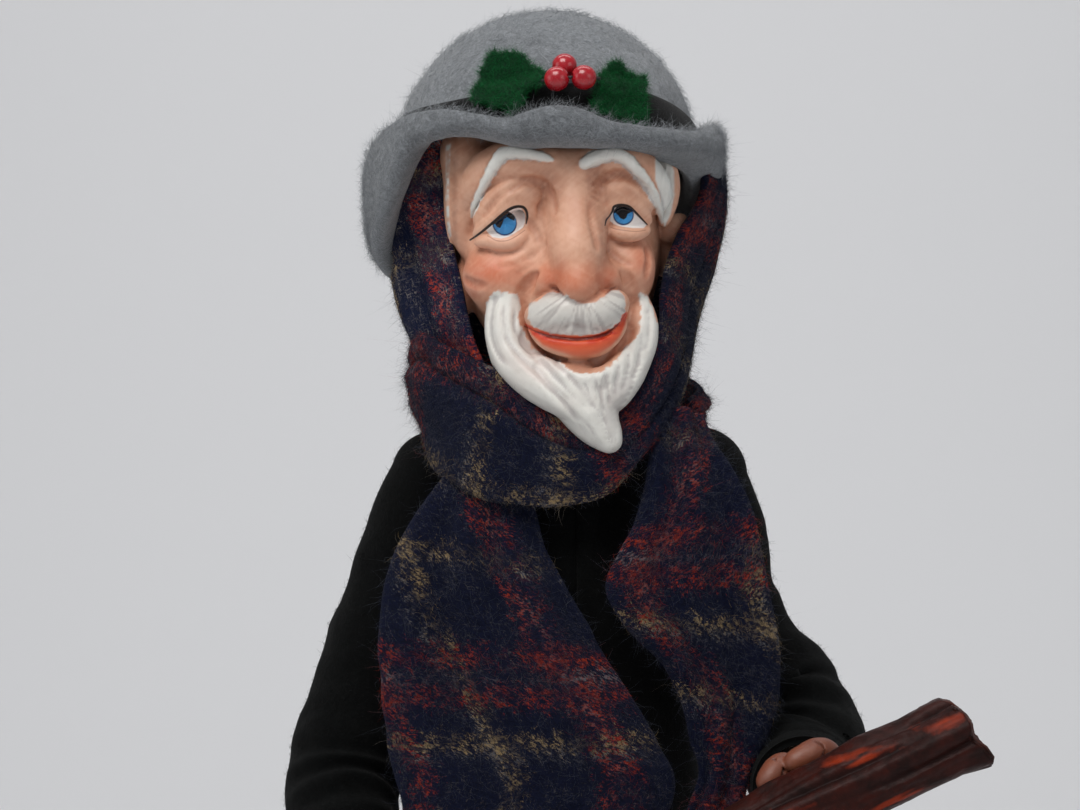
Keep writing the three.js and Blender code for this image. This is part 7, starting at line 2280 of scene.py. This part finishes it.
for name, node, path, radii, cap_r, seed, elbow, bend in (
    ("sleeve_felt_right", "right_sleeve", RIGHT_PATH, RIGHT_R, 8.8, 71, 66, (0.1, -0.7, 0.7)),
    ("sleeve_felt_left", "left_sleeve", LEFT_PATH, LEFT_R, 9.6, 77, 56, (-0.3, -0.6, 0.7)),
):
    v, f, length = sleeve_grid(path, radii, cap_r, 190, 110, seed, elbow, bend)
    piece = add_mesh(name, v, f, COAT_FELT, "arms", [node])
    nap = black_nap(name + "_nap", v, f, 3000, seed + 300, "arms")
    flat_size(v, f, float(length))

build_log()
SKIN = skin_material()
build_hand(
    "painted_hand_left", "left_hand",
    [((43.6, -32.6, 181.2), (7.2, 4.6, 6.4)), ((42.2, -35.0, 180.5), (6.2, 3.6, 6.0))],
    ([[46.9, -20.5, 180.6], [46.2, -27, 181], [44, -32.5, 181]], [4.1, 4.3, 4.6]),
    [
        ([[47.2, -33.5, 184.0], [47.6, -37.2, 187.4], [45.4, -40.2, 188.2], [41.6, -41.7, 186.8]], [2.8, 2.6, 2.5, 2.1]),
        ([[41, -34, 183], [39.8, -37.6, 185.2], [38.2, -40.4, 184.9], [36.4, -41.9, 183.2]], [2.6, 2.4, 2.3, 1.9]),
        ([[46, -34, 177], [47.5, -38, 171.7], [49, -44, 168.6], [50, -50, 168.8]], [2.4, 2.3, 2.2, 1.8]),
        ([[42.3, -34, 175.5], [43, -38, 169], [44.2, -44.5, 166.0], [45, -51, 166.3]], [2.4, 2.3, 2.2, 1.8]),
        ([[38.5, -34, 176], [38.8, -37.5, 168], [39.5, -43.5, 163.6], [40.2, -49.5, 163.8]], [2.3, 2.2, 2.1, 1.7]),
    ],
    [
        ([[42.2, -35.0, 186.4], [43.0, -38.4, 189.6], [41.4, -41.0, 189.9]], [0.42, 0.4, 0.3]),
        ([[45.0, -41.6, 191.2], [46.6, -41.9, 189.3], [46.4, -42.6, 187.4]], [0.25, 0.25, 0.2]),
        ([[37.6, -41.0, 187.3], [39.3, -42.4, 185.4], [39.0, -42.8, 183.6]], [0.25, 0.25, 0.2]),
        ([[45.2, -37.4, 170.6], [46.6, -44, 167.6], [47.5, -50, 167.6]], [0.4, 0.4, 0.3]),
        ([[40.9, -37.4, 168.4], [41.8, -44, 164.9], [42.6, -50, 165.0]], [0.4, 0.4, 0.3]),
    ],
    (31, -56, 159), (56, -17.5, 195), SKIN)
build_hand(
    "painted_hand_right", "right_hand",
    [((-13.6, -45, 135.4), (7.4, 6.8, 4.2)), ((-17.5, -42, 137), (5.2, 5.0, 3.8))],
    ([[-31.6, -28.4, 150], [-25, -36, 144.2], [-18, -42.2, 138.2]], [4.1, 4.3, 4.2]),
    [
        ([[-13, -49, 134], [-9.8, -54.4, 135], [-8.7, -58.2, 141]], [2.4, 2.3, 1.9]),
        ([[-10, -47.5, 134.5], [-5.2, -53.4, 137], [-3.6, -58, 143]], [2.4, 2.3, 1.9]),
        ([[-8, -44.5, 135.5], [-1.6, -50.4, 139], [1.0, -57, 145]], [2.3, 2.2, 1.8]),
        ([[-16.5, -47.5, 134], [-14.6, -54.4, 133], [-14, -58.2, 138]], [2.3, 2.2, 1.8]),
        ([[-15, -40.5, 137.5], [-10.5, -36.6, 142], [-7.5, -36.2, 147]], [2.6, 2.5, 2.1]),
    ],
    [
        ([[-12.4, -54.5, 132.6], [-11.6, -56.6, 135.6], [-11.5, -59.6, 139]], [0.4, 0.35, 0.3]),
        ([[-7.6, -53.8, 134.6], [-6.6, -56.0, 137.6], [-6.4, -59.6, 141]], [0.4, 0.35, 0.3]),
        ([[-3.0, -51.8, 136.6], [-1.6, -54.4, 139.6], [-1.4, -59.2, 143]], [0.4, 0.35, 0.3]),
    ],
    (-34, -63, 127), (6, -24, 154), SKIN)

TROUSER_FELT = wool("trouser_felt", (70, 72, 78), (92, 94, 100), (120, 122, 128), 1.1, 0.7, 0.95, 0.2)
build_trousers(TROUSER_FELT)
LEATHER = leather()
build_shoe("shoe_leather_right", "right_shoe", -12.5, LEATHER)
build_shoe("shoe_leather_left", "left_shoe", 12.5, LEATHER)
finish_node("stand", stand_wood())
STEEL = steel()
PAPER = paper()
for n_ in ("leg_wire", "neck_rod", "arm_wire"):
    finish_node(n_, STEEL)
for n_ in ("paper_body", "right_leg_padding", "left_leg_padding", "right_arm_padding", "left_arm_padding"):
    finish_node(n_, PAPER)

# ==== floor, light and camera ========================================================================
def simple(name, rgb, rough):
    k = Nodes(name, rough)
    n = k.noise(2.2, 3, 0.5)
    return k.done(k.mix(k.range(n, 0.3, 0.7, 0.0, 0.05), srgb(*rgb), srgb(*[c * 0.95 for c in rgb])), rough)


sweep = []
for y, z in [(-3.0, 0.0), (0.9, 0.0)] + [(0.9 + 0.7 * math.sin(a), 0.7 - 0.7 * math.cos(a)) for a in np.linspace(0.2, math.pi / 2, 10)] + [(1.6, 3.2)]:
    sweep.append((y, z))
bv = np.array([(x * 1000, y * 1000, z * 1000) for x in (-3.0, 3.0) for y, z in sweep])
backdrop = add_mesh("backdrop", bv, grid_faces(2, len(sweep))[:, ::-1].copy(), simple("backdrop_paper", (226, 226, 227), 0.9))


def area(name, loc, target, size, watts, rgb=(1, 1, 1)):
    li = bpy.data.lights.new(name, "AREA")
    li.shape = "RECTANGLE"
    li.size, li.size_y = size
    li.energy = watts
    li.color = rgb
    ob = bpy.data.objects.new(name, li)
    bpy.context.scene.collection.objects.link(ob)
    ob.location = loc
    ob.rotation_euler = (Vector(target) - Vector(loc)).to_track_quat("-Z", "Y").to_euler()
    return ob


area("key", (-0.16, -0.44, 0.82), (0, 0, 0.30), (0.46, 0.36), 3.9, (1.0, 0.985, 0.965))
area("fill_right", (0.85, -0.75, 0.5), (0, 0, 0.25), (0.6, 0.6), 1.35, (0.97, 0.985, 1.0))
area("fill_left", (-0.95, -0.35, 0.45), (0, 0, 0.25), (0.5, 0.6), 1.2, (0.97, 0.985, 1.0))
area("back_wash", (0.0, 0.35, 1.6), (0, 1.5, 0.5), (1.6, 0.6), 13.2, (1.0, 1.0, 1.0))

world = bpy.data.worlds.new("studio")
world.use_nodes = True
world.node_tree.nodes["Background"].inputs[0].default_value = (0.93, 0.95, 1.0, 1)
world.node_tree.nodes["Background"].inputs[1].default_value = 0.27
bpy.context.scene.world = world
bpy.context.scene.view_settings.view_transform = "Standard"
bpy.context.scene.view_settings.look = "None"

cam = bpy.data.cameras.new("camera")
cam.sensor_width = 36
cam.sensor_fit = "HORIZONTAL"
cam.lens = 87.36
cam.clip_start = 0.02
cam.clip_end = 20
cam_ob = bpy.data.objects.new("camera", cam)
bpy.context.scene.collection.objects.link(cam_ob)
cam_ob.location = (-0.005, -0.520, 0.252)
cam_ob.rotation_euler = (math.pi / 2, 0, 0)
bpy.context.scene.camera = cam_ob
